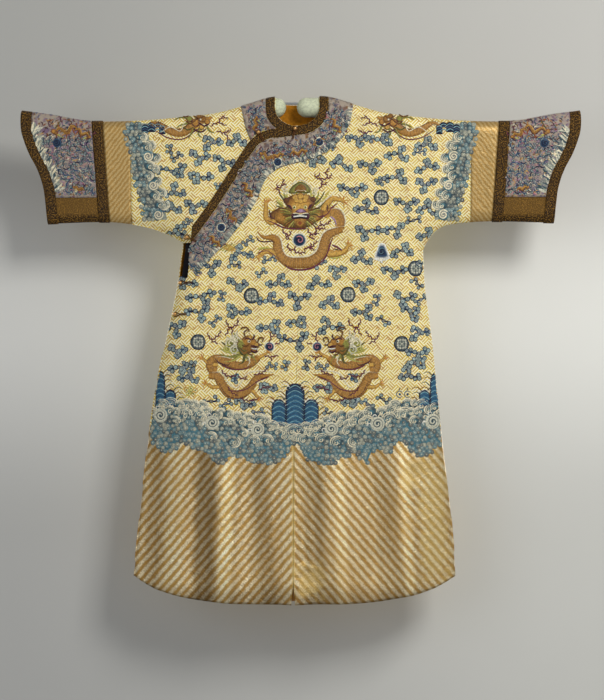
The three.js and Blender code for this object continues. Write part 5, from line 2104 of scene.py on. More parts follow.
class MotifField:
    """Repeats a motif over flat places with a node tree, and gives it back as stitches."""

    def __init__(self, motif: Motif) -> None:
        """Starts with no places."""
        self.motif = motif
        self.rows: list = []

    def put(self, x: float, z: float, size: float, thread: Thread, turn: float = 0.0) -> None:
        """Places one motif."""
        self.rows.append((x, z, size, turn, thread.value))

    def shape(self) -> tuple[Array, list, Array]:
        """The motif at size 1: its points, faces, and how light each point is.

        Returns:
            Its points, its faces, and how light each point is.
        """
        if self.motif is Motif.CURL:
            turn = np.linspace(0, 2 * math.pi, 8, endpoint=False)
            rings = [(1.0, -0.35, -0.9), (0.68, 0.8, -0.7), (0.52, 0.75, 0.4), (0.22, 0.5, 0.25)]
            points = [(r * math.cos(a), r * math.sin(a), h) for r, h,
                      _ in rings for a in turn] + [(0, 0, 0.9)]
            light = [w for _, _, w in rings for _ in turn] + [-0.85]
            n = len(turn)
            return np.array(points), grid_faces(4, n, ring=True) + fan_faces(3 * n, n), np.array(light)
        if self.motif is Motif.SCALE:
            a = np.radians(np.linspace(-80, 80, 7))
            points, light = [], []
            for r, h, w in ((1.0, -0.3, 0.0), (0.86, 0.5, 0.0), (0.62, 0.1, 0.3)):
                points += [(r * math.cos(v), r * math.sin(v), h) for v in a]
                light += [w] * len(a)
            return np.array(points), grid_faces(3, 7), np.array(light)
        if self.motif is Motif.FEATHER:
            rows = [(0.0, 0.12, 0.3), (0.25, 0.2, 0.6), (0.6, 0.16, 0.5), (1.0, 0.03, 0.1)]
            points = [(x, y * s, h if s == 0 else -0.3) for x, y, h in rows for s in (-1, 0, 1)]
            return np.array(points), grid_faces(4, 3), np.zeros(12)
        turn = np.linspace(0, 2 * math.pi, 7, endpoint=False)
        rings = ((1.0, -0.3), (0.62, 0.6), (0.36, 0.9))
        points = [(r * math.cos(a), r * math.sin(a), h) for r, h in rings for a in turn] + [(0, 0, 1.1)]
        light = np.array([-0.6] * 7 + [0.22] * 7 + [-0.15] * 7 + [1.0])
        return np.array(points), grid_faces(3, 7, ring=True) + fan_faces(14, 7), light

    def tree(self) -> bpy.types.NodeTree:
        """The node tree that sets the motif on each place, at its own size and turn.

        Returns:
            The tree.
        """
        known = bpy.data.node_groups.get("motif field")
        if known:
            return known
        made = node_group("motif field", {"Places": "Geometry", "Motif": "Object", "Size": "Float",
                                          "Unevenness": "Float", "Seed": "Int", "Material": "Material"},
                                          "Stitches")
        g = Graph(made)
        given = g.node("NodeGroupInput").outputs
        size = g.node("GeometryNodeInputNamedAttribute", {0: "size"}, data_type="FLOAT").outputs[0]
        turn = g.node("GeometryNodeInputNamedAttribute", {0: "turn"}, data_type="FLOAT").outputs[0]
        uneven = g.node("FunctionNodeRandomValue", {"Seed": given["Seed"]}, data_type="FLOAT")
        spread = g.math("MULTIPLY", g.math("SUBTRACT", uneven.outputs[1], 0.5), given["Unevenness"])
        whole = g.math("MULTIPLY", g.math("MULTIPLY", size, given["Size"]), g.math("ADD", spread, 1.0))
        scale = g.node("ShaderNodeCombineXYZ", {0: whole, 1: whole, 2: 1.0}).outputs[0]
        angle = g.node("ShaderNodeCombineXYZ", {2: turn}).outputs[0]
        turned = g.node("FunctionNodeEulerToRotation", {0: angle}).outputs[0]
        motif = g.node("GeometryNodeObjectInfo", {"Object": given["Motif"]}).outputs["Geometry"]
        many = g.node("GeometryNodeInstanceOnPoints",
                      {"Points": given["Places"], "Instance": motif, "Rotation": turned,
                                                       "Scale": scale})
        real = g.node("GeometryNodeRealizeInstances", {0: many.outputs[0]})
        done = g.node("GeometryNodeSetMaterial", {"Geometry": real.outputs[0], "Material": given["Material"]})
        g.node("NodeGroupOutput", {0: done.outputs[0]})
        return made

    def stitch(self, needle: Needle, base: float = 0.4, size: float = 1.0, uneven: float = 0.15,
               seed: int = 3) -> None:
        """Runs the tree and hands its stitches to a needle.

        Args:
            needle: what takes the stitches.
            base: their height over its ground.
            size: one size for all.
            uneven: how much they differ.
            seed: for the unevenness.
        """
        if not self.rows:
            return
        points, faces, light = self.shape()
        shape = bpy.data.meshes.new("motif")
        shape.from_pydata(points.tolist(), [], faces)
        shape.attributes.new("light", "FLOAT", "POINT").data.foreach_set("value", light.astype(np.float32))
        motif = bpy.data.objects.new("motif", shape)
        bpy.context.scene.collection.objects.link(motif)
        spots = bpy.data.meshes.new("places")
        spots.from_pydata([(row[0], row[1], 0) for row in self.rows], [], [])
        for label, column in (("size", 2), ("turn", 3)):
            values = np.array([row[column] for row in self.rows], np.float32)
            spots.attributes.new(label, "FLOAT", "POINT").data.foreach_set("value", values)
        tones = np.array([row[4] for row in self.rows], np.float32)
        spots.attributes.new("thread", "FLOAT_COLOR", "POINT").data.foreach_set("color", tones.ravel())
        values = {"Motif": motif, "Size": size, "Unevenness": uneven, "Seed": seed,
                  "Material": STITCHES.material()}
        plain = run_tree(self.tree(), spots, values)
        place = read_values(plain.vertices, "co", 3)
        tone = read_values(plain.attributes["thread"].data, "color", 4)
        pale = read_values(plain.attributes["light"].data, "value", 1)
        tone = lerp(tone, np.array(Thread.CREAM.value), np.maximum(pale, 0))
        tone = lerp(tone, np.array(Thread.INK.value), np.maximum(-pale, 0))
        mirror, needle.mirror = needle.mirror, None
        needle.add(place[:, :2], base + place[:, 2], tone, [list(p.vertices) for p in plain.polygons])
        needle.mirror = mirror
        bpy.data.objects.remove(motif)
        for mesh in (shape, spots, plain):
            bpy.data.meshes.remove(mesh)
        self.rows = []


@dataclass(frozen=True)
class Clouds:
    """Small clouds of ringed curls on dark stems, spread over the yellow ground."""

    # x, z, size, turn in degrees: on the right front and its sleeve
    right_front: tuple[Row, ...] = (
        (-223, -113, 1.0, 20), (-155, -105, 0.9, 200), (-337, -130, 0.6, 90), (-318, -153, 0.6, 40),
        (-259, -153, 1.0, 150),
        (-186, -167, 1.0, 10), (-335, -192, 1.2, 60), (-256, -209, 1.0, 250), (-197, -228, 0.7, 30),
        (-326, -248, 1.0, 330),
        (-377, -304, 0.6, 90), (-335, -295, 1.0, 100), (-265, -290, 1.0, 20), (-329, -363, 1.0, 200),
        (-287, -337, 0.6, 60))
    left_front: tuple[Row, ...] = (
        (186, -105, 0.9, 40), (251, -105, 1.0, 180), (377, -116, 1.0, 70), (357, -139, 0.6, 20),
        (301, -144, 1.0, 300),
        (141, -172, 1.0, 80), (217, -175, 1.1, 160), (71, -164, 0.8, 0), (377, -178, 1.0, 220),
        (293, -209, 1.1, 90),
        (169, -242, 1.0, 30), (248, -220, 0.6, 100), (371, -231, 1.0, 140), (321, -284, 1.0, 260),
        (385, -293, 1.0, 80),
        (206, -295, 1.0, 200), (424, -298, 0.8, 90), (340, -329, 0.7, 10), (211, -360, 1.1, 130),
        (293, -354, 1.0, 50),
        (377, -368, 1.0, 190), (309, -413, 1.0, 320), (195, -433, 1.0, 90), (284, -472, 1.0, 30),
        (349, -505, 0.7, 140),
        (127, -472, 0.8, 10), (83, -449, 0.7, 80))
    middle: tuple[Row, ...] = (
        (-60, -438, 0.7, 20), (-144, -419, 1.0, 90), (-223, -461, 1.0, 150), (-158, -455, 0.6, 0),
        (-83, -475, 0.6, 50),
        (-35, -503, 1.0, 200), (74, -503, 1.0, 340), (-153, -508, 1.0, 30), (206, -508, 1.0, 150),
        (-253, -542, 1.1, 170),
        (307, -547, 1.1, 10), (-60, -553, 1.0, 80), (21, -553, 1.1, 270), (105, -559, 1.0, 100),
        (-256, -587, 1.0, 30),
        (-150, -584, 1.0, 230), (200, -584, 1.0, 310), (332, -589, 1.0, 150), (-122, -385, 0.6, 60),
        (377, -444, 0.8, 70),
        (-195, -539, 0.7, 100), (242, -550, 0.7, 80), (-295, -505, 0.8, 120), (360, -550, 0.7, 60))
    lower: tuple[Row, ...] = (
        (-318, -629, 1.1, 40), (-211, -609, 0.7, 70), (18, -612, 0.8, 180), (-60, -626, 1.1, 190),
        (102, -623, 1.1, 350),
        (256, -609, 0.7, 110), (15, -665, 1.4, 270), (-321, -693, 1.0, 140), (-312, -738, 0.9, 60),
        (-279, -763, 1.0, 200),
        (-270, -732, 0.6, 80), (354, -645, 1.0, 20), (354, -699, 1.0, 160), (326, -757, 1.0, 230),
        (343, -727, 0.8, 90),
        (-13, -732, 0.7, 80), (41, -732, 0.7, 100), (-55, -735, 0.5, 0), (83, -735, 0.5, 0),
        (-66, -794, 0.8, 130),
        (91, -794, 0.8, 50), (-155, -771, 0.5, 80), (178, -766, 0.5, 100), (-223, -833, 0.7, 30),
        (-183, -839, 0.7, 60),
        (-133, -836, 0.8, 10), (164, -833, 0.8, 170), (211, -841, 0.7, 120), (256, -827, 0.7, 150),
        (-91, -864, 0.6, 40),
        (111, -864, 0.6, 140), (-295, -869, 0.6, 20), (315, -853, 0.5, 60))

    def motif(self, needle: Needle, curls: MotifField, x: float, z: float, size: float, turn: float,
              rng: Draws) -> None:
        """Works one cloud: a few arms with curls at their ends.

        Args:
            needle: what takes the stitches.
            curls: what takes its curls.
            x: place across.
            z: height.
            size: its size.
            turn: its turn in degrees.
            rng: the random draws.
        """
        arms = 3 if size > 0.75 else 2
        tones = (Thread.TEAL, Thread.LAPIS, Thread.TEAL, Thread.SKY)
        dark = rng.choice([Thread.NAVY, Thread.NAVY, Thread.BLUE])
        length = 23.0 * size
        for arm in range(arms):
            angle = math.radians(turn + arm * (360 / arms if arms == 3 else 165) + rng.uniform(-26, 26))
            bow, reach = rng.uniform(-7, 7), length * rng.uniform(0.8, 1.15)
            share = np.array([0, 0.5, 1.0])
            along, aside = reach * share, bow * np.sin(share * math.pi)
            across = along * math.cos(angle) - aside * math.sin(angle)
            rise = along * math.sin(angle) + aside * math.cos(angle)
            line = np.stack([x + 1.2 * across, z + 0.66 * rise], axis=1)
            needle.stroke(line, 8.4 * min(size + 0.1, 1.0), dark, edge=Thread.NAVY, base=0.1,
                          taper=(0.8, 0.8))
            for k, (t, off) in enumerate(((0.42, -1.5), (0.98, 7.0), (0.9, -6.4), (1.3, -1.0))):
                if size < 0.75 and k in (0, 3):
                    continue
                side = off * (0.8 + 0.2 * size)
                cx = np.interp(t, share,
                               line[:, 0]) - side * math.sin(angle) + max(t - 1, 0) * reach * math.cos(angle)
                cz = np.interp(t, share, line[:, 1]) + side * math.cos(angle)
                cz += 0.66 * max(t - 1, 0) * reach * math.sin(angle)
                curls.put(float(cx), float(cz), (7.6, 6.9, 6.2, 7.2)[k] * (0.78 + 0.22 * size),
                          tones[int(rng.integers(4))])
        curls.put(x, z, 5.6, dark)

    def work(self, name: str, rows: tuple, face: Face, sunk: bool = False, seed: int = 1,
             turned: bool = False) -> None:
        """Works a group of clouds as one piece.

        Args:
            name: the piece's name.
            rows: place, size and turn of each.
            face: front or back.
            sunk: whether it lies on the right front.
            seed: for the random draws.
            turned: whether left and right change places, as behind.
        """
        rng = np.random.default_rng(seed)
        needle, curls = Needle(), MotifField(Motif.CURL)
        for row in rows:
            self.motif(needle, curls, *row, rng)
        curls.stitch(needle, 0.5, 1.0, 0.12, seed)
        needle.lay(name, face, 0.0, sunk, turned=turned)

    def build(self) -> None:
        """Works the clouds of the front and of the back."""
        self.work("clouds_right_front", self.right_front, Face.FRONT, True, 2)
        self.work("clouds_left_front", self.left_front, Face.FRONT, seed=3)
        self.work("clouds_front_middle", self.middle, Face.FRONT, seed=4)
        self.work("clouds_front_lower", self.lower, Face.FRONT, seed=5)
        seam = float(HANG.body_at(np.array([-200.0]), 3)[0])
        over = tuple((2 * seam - x, z, size, 180 - turn) for x, z, size, turn in self.left_front if x > 150)
        across = tuple(row for row in self.left_front if row[0] > 150)
        self.work("clouds_back_upper", across + over, Face.BACK, seed=6, turned=True)
        self.work("clouds_back_middle", self.middle, Face.BACK, seed=7, turned=True)
        self.work("clouds_back_lower", self.lower, Face.BACK, seed=8, turned=True)


@dataclass(frozen=True)
class ChestDragon:
    """The front-facing dragon of the chest, coiled round a pearl, and its like behind."""

    coil: Line = (
        (142, -355), (119, -361), (100, -372), (92, -391), (87, -413), (72, -434), (50, -446), (22, -448),
        (-5, -446),
        (-27, -432), (-38, -411), (-41, -389), (-51, -377), (-67, -377), (-82, -374), (-95, -360))
    loop: Line = ((91, -316), (106, -306), (123, -309), (134, -323), (136, -336), (133, -349))
    inner_edge: Line = (
        (-38, -366), (-28, -385), (-23, -411), (-10, -428), (22, -431), (52, -426), (70, -411), (77, -389),
        (87, -366),
        (106, -353), (132, -347), (148, -346))
    outer_edge: Line = (
        (-23, -452), (-1, -464), (29, -467), (59, -461), (83, -445), (99, -424), (106, -400), (115, -377))
    face_outline: Line = (
        (-19, -280), (-12, -267), (5, -258), (25, -255), (46, -258), (61, -267), (66, -282), (57, -297),
        (54, -317), (46, -334),
        (41, -349), (23, -355), (6, -349), (2, -334), (-6, -317), (-8, -299))
    flames: tuple = (
        ((-30, -253), (-40, -240), (-39, -227)), ((-40, -240), (-26, -233), (-21, -214)),
        ((-26, -233), (-14, -227)),
        ((78, -242), (85, -231), (101, -224)), ((85, -231), (83, -215), (71, -211), (64, -200)),
        ((83, -215), (103, -211), (113, -202)), ((71, -211), (79, -196)),
        ((103, -211), (96, -196), (106, -184)),
        ((66, -368), (70, -352), (82, -342), (79, -331)), ((82, -342), (97, -340), (110, -330)),
        ((70, -352), (85, -353), (95, -349)), ((44, -352), (52, -366), (67, -368), (78, -363)),
        ((52, -366), (53, -378), (64, -379)), ((-27, -355), (-18, -366), (-8, -381), (-18, -377)),
        ((-18, -366), (-4, -371), (-5, -358)), ((-11, -393), (-7, -409), (8, -411), (11, -398)),
        ((8, -411), (15, -419), (41, -419)), ((37, -414), (41, -406), (54, -407), (63, -413)),
        ((54, -407), (53, -392)), ((54, -407), (65, -394), (71, -384)))
    claws: tuple = (
        # palm, then the tips
        ((-71, -282), (-84, -278), (-76, -267), (-67, -264), (-59, -270), (-83, -291)),
        ((143, -276), (132, -257), (148, -260), (163, -274), (158, -289), (146, -297)),
        ((159, -398), (148, -389), (158, -379), (170, -387), (172, -402), (170, -414)),
        ((-92, -431), (-101, -437), (-89, -446), (-75, -433), (-93, -421), (-102, -428)))
    limbs: tuple = (
        ((-40, -317), (-55, -334), (-70, -321), (-71, -299), (-71, -282)),
        ((89, -302), (100, -282), (117, -269), (143, -274)),
        ((100, -422), (125, -422), (147, -415), (159, -398)),
        ((-33, -434), (-53, -417), (-74, -416), (-92, -431)))

    def scales(self, needle: Needle, path: Line, width: float, size: float) -> None:
        """Sets rows of scales along a body.

        Args:
            needle: what takes the stitches.
            path: the middle line of the body.
            width: width of the body.
            size: size of a scale.
        """
        field_of = MotifField(Motif.SCALE)
        line = smooth_line(path, size * 0.95)
        ahead = np.gradient(line, axis=0)
        ahead /= np.maximum(np.linalg.norm(ahead, axis=1, keepdims=True), 1e-6)
        mirror = needle.mirror
        for n, (p, a) in enumerate(zip(line[2:-2], ahead[2:-2])):
            half = width / 2 - size * 0.55
            offsets = np.arange(-half + (n % 2) * size * 0.5, half, size)
            for off in offsets:
                x, z, ax = p[0] - a[1] * off, p[1] + a[0] * off, a[0]
                if mirror is not None:
                    x, ax = 2 * mirror - x, -ax
                tone = Thread.BRONZE if n % 2 else Thread.GOLD
                field_of.put(x, z, size * 0.62, tone, math.atan2(a[1], ax))
        field_of.stitch(needle, 1.55, 1.0, 0.1, 5)

    def body(self, needle: Needle) -> None:
        """Works the coils, limbs and claws.

        Args:
            needle: what takes the stitches.
        """
        for limb in self.limbs:
            needle.stroke(limb, (24, 18, 12), Thread.OCHRE, Thread.BRONZE, Thread.GOLD, crown=1.2, base=0.1,
                          taper=(0.8, 0.6))
            ex, ez = limb[1]
            for turn in (150, 195, 240, 285, 330):
                c, w = math.cos(math.radians(turn)), math.sin(math.radians(turn))
                needle.stroke([(ex, ez), (ex + 9 * c - 2 * w, ez + 9 * w), (ex + 18 * c, ez + 16 * w)],
                              (4.0, 1.8),
                              Thread.LIME if turn % 90 else Thread.MOSS, base=0.3, step=4.0)
        for palm, *tips in self.claws:
            for n, tip in enumerate(tips):
                mid = ((palm[0] + tip[0]) / 2 + (n - 2) * 0.8, (palm[1] + tip[1]) / 2 + 1.5)
                needle.stroke([palm, mid, tip], (5.5, 4.0, 1.6), Thread.ORANGE if n % 2 else Thread.OCHRE,
                              base=0.6,
                              edge=Thread.GOLD, step=3.0)
            needle.disc(*palm, 6.0, Thread.OCHRE, Thread.GOLD, base=0.5)
        needle.stroke([(100, -428), (119, -434), (140, -430)], 7, Thread.LIME, Thread.GREEN, base=0.2)
        needle.stroke([(-95, -409), (-74, -406), (-57, -409)], 8, Thread.LIME, Thread.GREEN, base=0.2)
        needle.stroke(self.loop, (26, 29, 29, 30), Thread.GOLD, Thread.OCHRE, Thread.BRONZE, crown=1.5,
                      base=0.1, taper=(0.8, 0.9))
        needle.stroke(self.coil, (18, 25, 30, 32, 32, 31, 30, 28, 24, 14, 5), Thread.GOLD, Thread.BRONZE,
                      Thread.BRONZE,
                      crown=1.5, base=0.1, taper=(0.9, 0.3))
        self.scales(needle, self.coil[:12], 27, 6.5)
        self.scales(needle, self.loop, 24, 6.5)
        needle.stroke(self.inner_edge, 4.2, Thread.CREAM, base=0.9, taper=(0.4, 0.4))
        needle.stroke([(108, -299), (126, -295), (142, -304), (150, -325), (148, -346)], 3.6, Thread.CREAM,
                      base=0.9)
        needle.stroke(self.outer_edge, 5.2, Thread.PURPLE, base=1.0)
        needle.stroke([(108, -317), (121, -329), (126, -346)], 5.0, Thread.LILAC, base=1.0)
        needle.stroke([(-98, -374), (-91, -385), (-76, -389), (-50, -387), (-45, -397)], 3.4, Thread.PLUM,
                      base=1.0)
        needle.stroke([(-95, -421), (-68, -414), (-46, -428), (-27, -439)], 4.5, Thread.PURPLE, base=1.0)
        needle.stroke([(112, -397), (128, -404), (142, -414)], 5.0, Thread.PURPLE, base=1.3)
        needle.stroke([(117, -409), (132, -411)], 3.4, Thread.PLUM, base=1.3)
        needle.fill([(-46, -299), (-27, -291), (-12, -308), (3, -336), (10, -351), (-12, -349), (-40, -336),
                     (-61, -325), (-59, -308)],
                    Thread.BRONZE, Thread.BROWN, 1.3, 0.2, Thread.GOLD)
        needle.fill([(57, -299), (78, -295), (93, -302), (89, -321), (67, -336), (48, -349), (40, -344),
                     (52, -321)],
                    Thread.BRONZE, Thread.BROWN, 1.2, 0.2, Thread.OCHRE)
        needle.stroke([(-70, -328), (-46, -338), (-22, -349), (10, -353), (44, -352)], 4.4, Thread.PURPLE,
                      base=1.2)
        needle.stroke([(-61, -299), (-59, -316), (-48, -325), (-46, -314)], 3.6, Thread.PLUM, base=1.3)
        needle.stroke([(130, -281), (112, -294), (102, -309), (87, -318), (65, -320)], (3.0, 5.5, 5.0),
                      Thread.PURPLE, base=1.4)
        needle.stroke([(101, -285), (99, -297), (103, -307)], 4.0, Thread.PLUM, base=1.4)

    def head(self, needle: Needle) -> None:
        """Works the face, crest, mane and whiskers.

        Args:
            needle: what takes the stitches.
        """
        left = [[(-22, -291), (-35, -282), (-43, -276)], [(-23, -284), (-37, -274), (-42, -265)],
                [(-20, -274), (-29, -261), (-35, -252)],
                [(-16, -271), (-20, -257), (-18, -242)], [(-14, -269), (-12, -256), (-8, -244)],
                [(-22, -297), (-35, -291), (-44, -288)]]
        right = [[(61, -280), (72, -265), (77, -249)], [(63, -286), (82, -267), (93, -247)],
                 [(65, -291), (87, -272), (108, -246)],
                 [(67, -295), (91, -276), (121, -249)], [(59, -274), (63, -257), (61, -242)],
                 [(67, -299), (85, -287), (100, -267)],
                 [(55, -271), (55, -256), (53, -242)], [(67, -291), (78, -284), (87, -269)]]
        needle.spray(left, 7.0, (Thread.GREEN, Thread.LIME, Thread.MOSS), 0.5)
        needle.spray(right, 7.0, (Thread.GREEN, Thread.MOSS, Thread.LIME, Thread.CREAM), 0.5)
        needle.fill([(-8, -252), (2, -234), (25, -221), (46, -231), (56, -248), (40, -255), (25, -252),
                     (8, -255)],
                    Thread.GREEN, Thread.MOSS, 1.2, 0.5, Thread.BRONZE)
        needle.fill([(8, -248), (12, -235), (26, -227), (40, -234), (43, -247), (26, -251)], Thread.BRONZE,
                    Thread.BROWN, 1.0, 1.2)
        needle.stroke([(9, -251), (18, -245), (26, -247), (35, -245), (42, -251)], 3.4, Thread.CREAM,
                      base=1.7)
        needle.stroke([(-13, -245), (2, -228), (25, -217), (47, -227), (59, -241)], 3.2, Thread.CREAM,
                      base=0.9)
        for x, z, hand in ((-14, -251, 1), (63, -251, -1), (-19, -242, 1), (67, -242, -1)):
            needle.spiral(x, z, 8.0, 1.3, 3.4, Thread.CREAM, 1.0, hand, 1.0)
        needle.fill(self.face_outline, Thread.GOLD, Thread.BROWN, 2.2, 0.6, Thread.OCHRE)
        needle.disc(-14, -274, 8.5, Thread.BROWN, Thread.PLUM, 1.0, 1.6)
        needle.disc(60, -271, 8.0, Thread.BROWN, Thread.PLUM, 1.0, 1.6)
        for x, z, r in ((10, -265, 9.0), (25, -262, 10.0), (40, -265, 9.0), (14, -274, 7.5), (37, -274, 7.5),
                        (25, -276, 8.0)):
            needle.disc(x, z, r, Thread.OCHRE, Thread.BRONZE, 0.9, 2.5)
        needle.stroke([(0, -263), (25, -256), (48, -263)], 3.0, Thread.BROWN, base=2.9)
        for brow in ([(-11, -287), (-4, -290), (1, -300)], [(58, -285), (52, -289), (46, -299)]):
            needle.stroke(brow, 8.0, Thread.PLUM, base=2.8)
        for brow in ([(0, -287), (8, -284), (18, -287)], [(30, -287), (38, -284), (46, -287)]):
            needle.stroke(brow, 4.6, Thread.OCHRE, base=2.9)
        for x, z in ((8, -293), (39, -293)):
            needle.disc(x, z, 5.2, Thread.LIME, Thread.CREAM, 1.0, 2.9)
            needle.disc(x, z, 2.3, Thread.BLACK, None, 0.5, 3.7)
        needle.fill([(10, -306), (16, -300), (26, -296), (37, -300), (43, -306), (26, -309)], Thread.LILAC,
                    Thread.PURPLE, 1.5, 2.7)
        needle.stroke([(13, -305), (18, -303), (21, -306)], 2.4, Thread.PLUM, base=4.0)
        needle.stroke([(41, -305), (35, -303), (32, -306)], 2.4, Thread.PLUM, base=4.0)
        needle.fill([(0, -314), (10, -309), (26, -311), (43, -309), (50, -314), (47, -326), (26, -325),
                     (3, -326)],
                    Thread.BLACK, Thread.PLUM, 0.7, 3.0)
        needle.stroke([(6, -319), (25, -317), (43, -319)], 6.2, Thread.WHITE, base=3.6, taper=(0.8, 0.8))
        needle.stroke([(3, -310), (14, -310), (26, -313), (38, -310), (48, -310)], 3.0, Thread.CREAM,
                      base=3.9)
        needle.disc(24, -337, 11.5, Thread.GOLD, Thread.BRONZE, 1.0, 2.6, Thread.RUST)
        whiskers = []
        for turn in range(150, 262, 8):
            a = math.radians(turn)
            reach = 150 + 45 * math.sin(a * 7)
            whiskers.append((a, reach))
        centre = ((25, -317), 0.1875)
        for n, turn in enumerate(range(-12, 200, 6)):
            a = math.radians(turn)
            if 60 < turn < 120:
                continue
            way, tone = (math.cos(a), -abs(math.sin(a)) if turn < 0 or turn > 180 else math.sin(a)), n % 4
            low = 34 if tone % 2 else 28
            line = [(centre[0][0] + way[0] * r * 1.1,
                     centre[0][1] + 12 - way[1] * r * 0.8) for r in (20, low + 4, low + 16)]
            needle.stroke(line, (3.2, 1.6), (Thread.MOSS, Thread.BROWN, Thread.GREEN, Thread.BRONZE)[tone],
                          base=1.9, step=4.0)
        for side in (1, -1):
            for n, (a, reach) in enumerate(whiskers):
                (cx, cz), unit = centre
                dx, dz = side * -math.cos(a), math.sin(a)
                start = (cx + dx * 128 * unit, cz + dz * 118 * unit + 4)
                end = (cx + dx * (128 + reach) * unit, cz + dz * (108 + reach) * unit + 4)
                mid = ((start[0] + end[0]) / 2, (start[1] + end[1]) / 2 + 2)
                tone = (Thread.MOSS, Thread.BROWN, Thread.LIME, Thread.GREEN)[n % 4]
                needle.stroke([start, mid, end], (3.6, 2.6), tone, base=2.0, step=3.0)

    def pearl(self, needle: Needle, x: float, z: float, radius: float) -> None:
        """Works the pearl with its halo and a pink curl.

        Args:
            needle: what takes the stitches.
            x: place across.
            z: height.
            radius: its radius.
        """
        needle.disc(x, z, radius * 1.24, Thread.SKY, Thread.CREAM, 0.4, 0.3)
        needle.disc(x, z, radius, Thread.NAVY, Thread.BLUE, 1.3, 0.5)
        needle.spiral(x + radius * 0.05, z, radius * 0.66, 1.1, radius * 0.24, Thread.PINK, 2.4, -1, 1.8)

    def work(self, name: str, face: Face, turned: bool) -> None:
        """Works the whole dragon as one piece.

        Args:
            name: the piece's name.
            face: front or back.
            turned: whether left and right change places, as behind.
        """
        needle = Needle()
        for line in self.flames:
            needle.flame(line)
        self.body(needle)
        self.head(needle)
        self.pearl(needle, 22, -384, 17.5)
        needle.lay(name, face, turned=turned)

    def build(self) -> None:
        """Works it on the chest and on the back."""
        self.work("dragon_chest", Face.FRONT, False)
        self.work("dragon_back", Face.BACK, True)


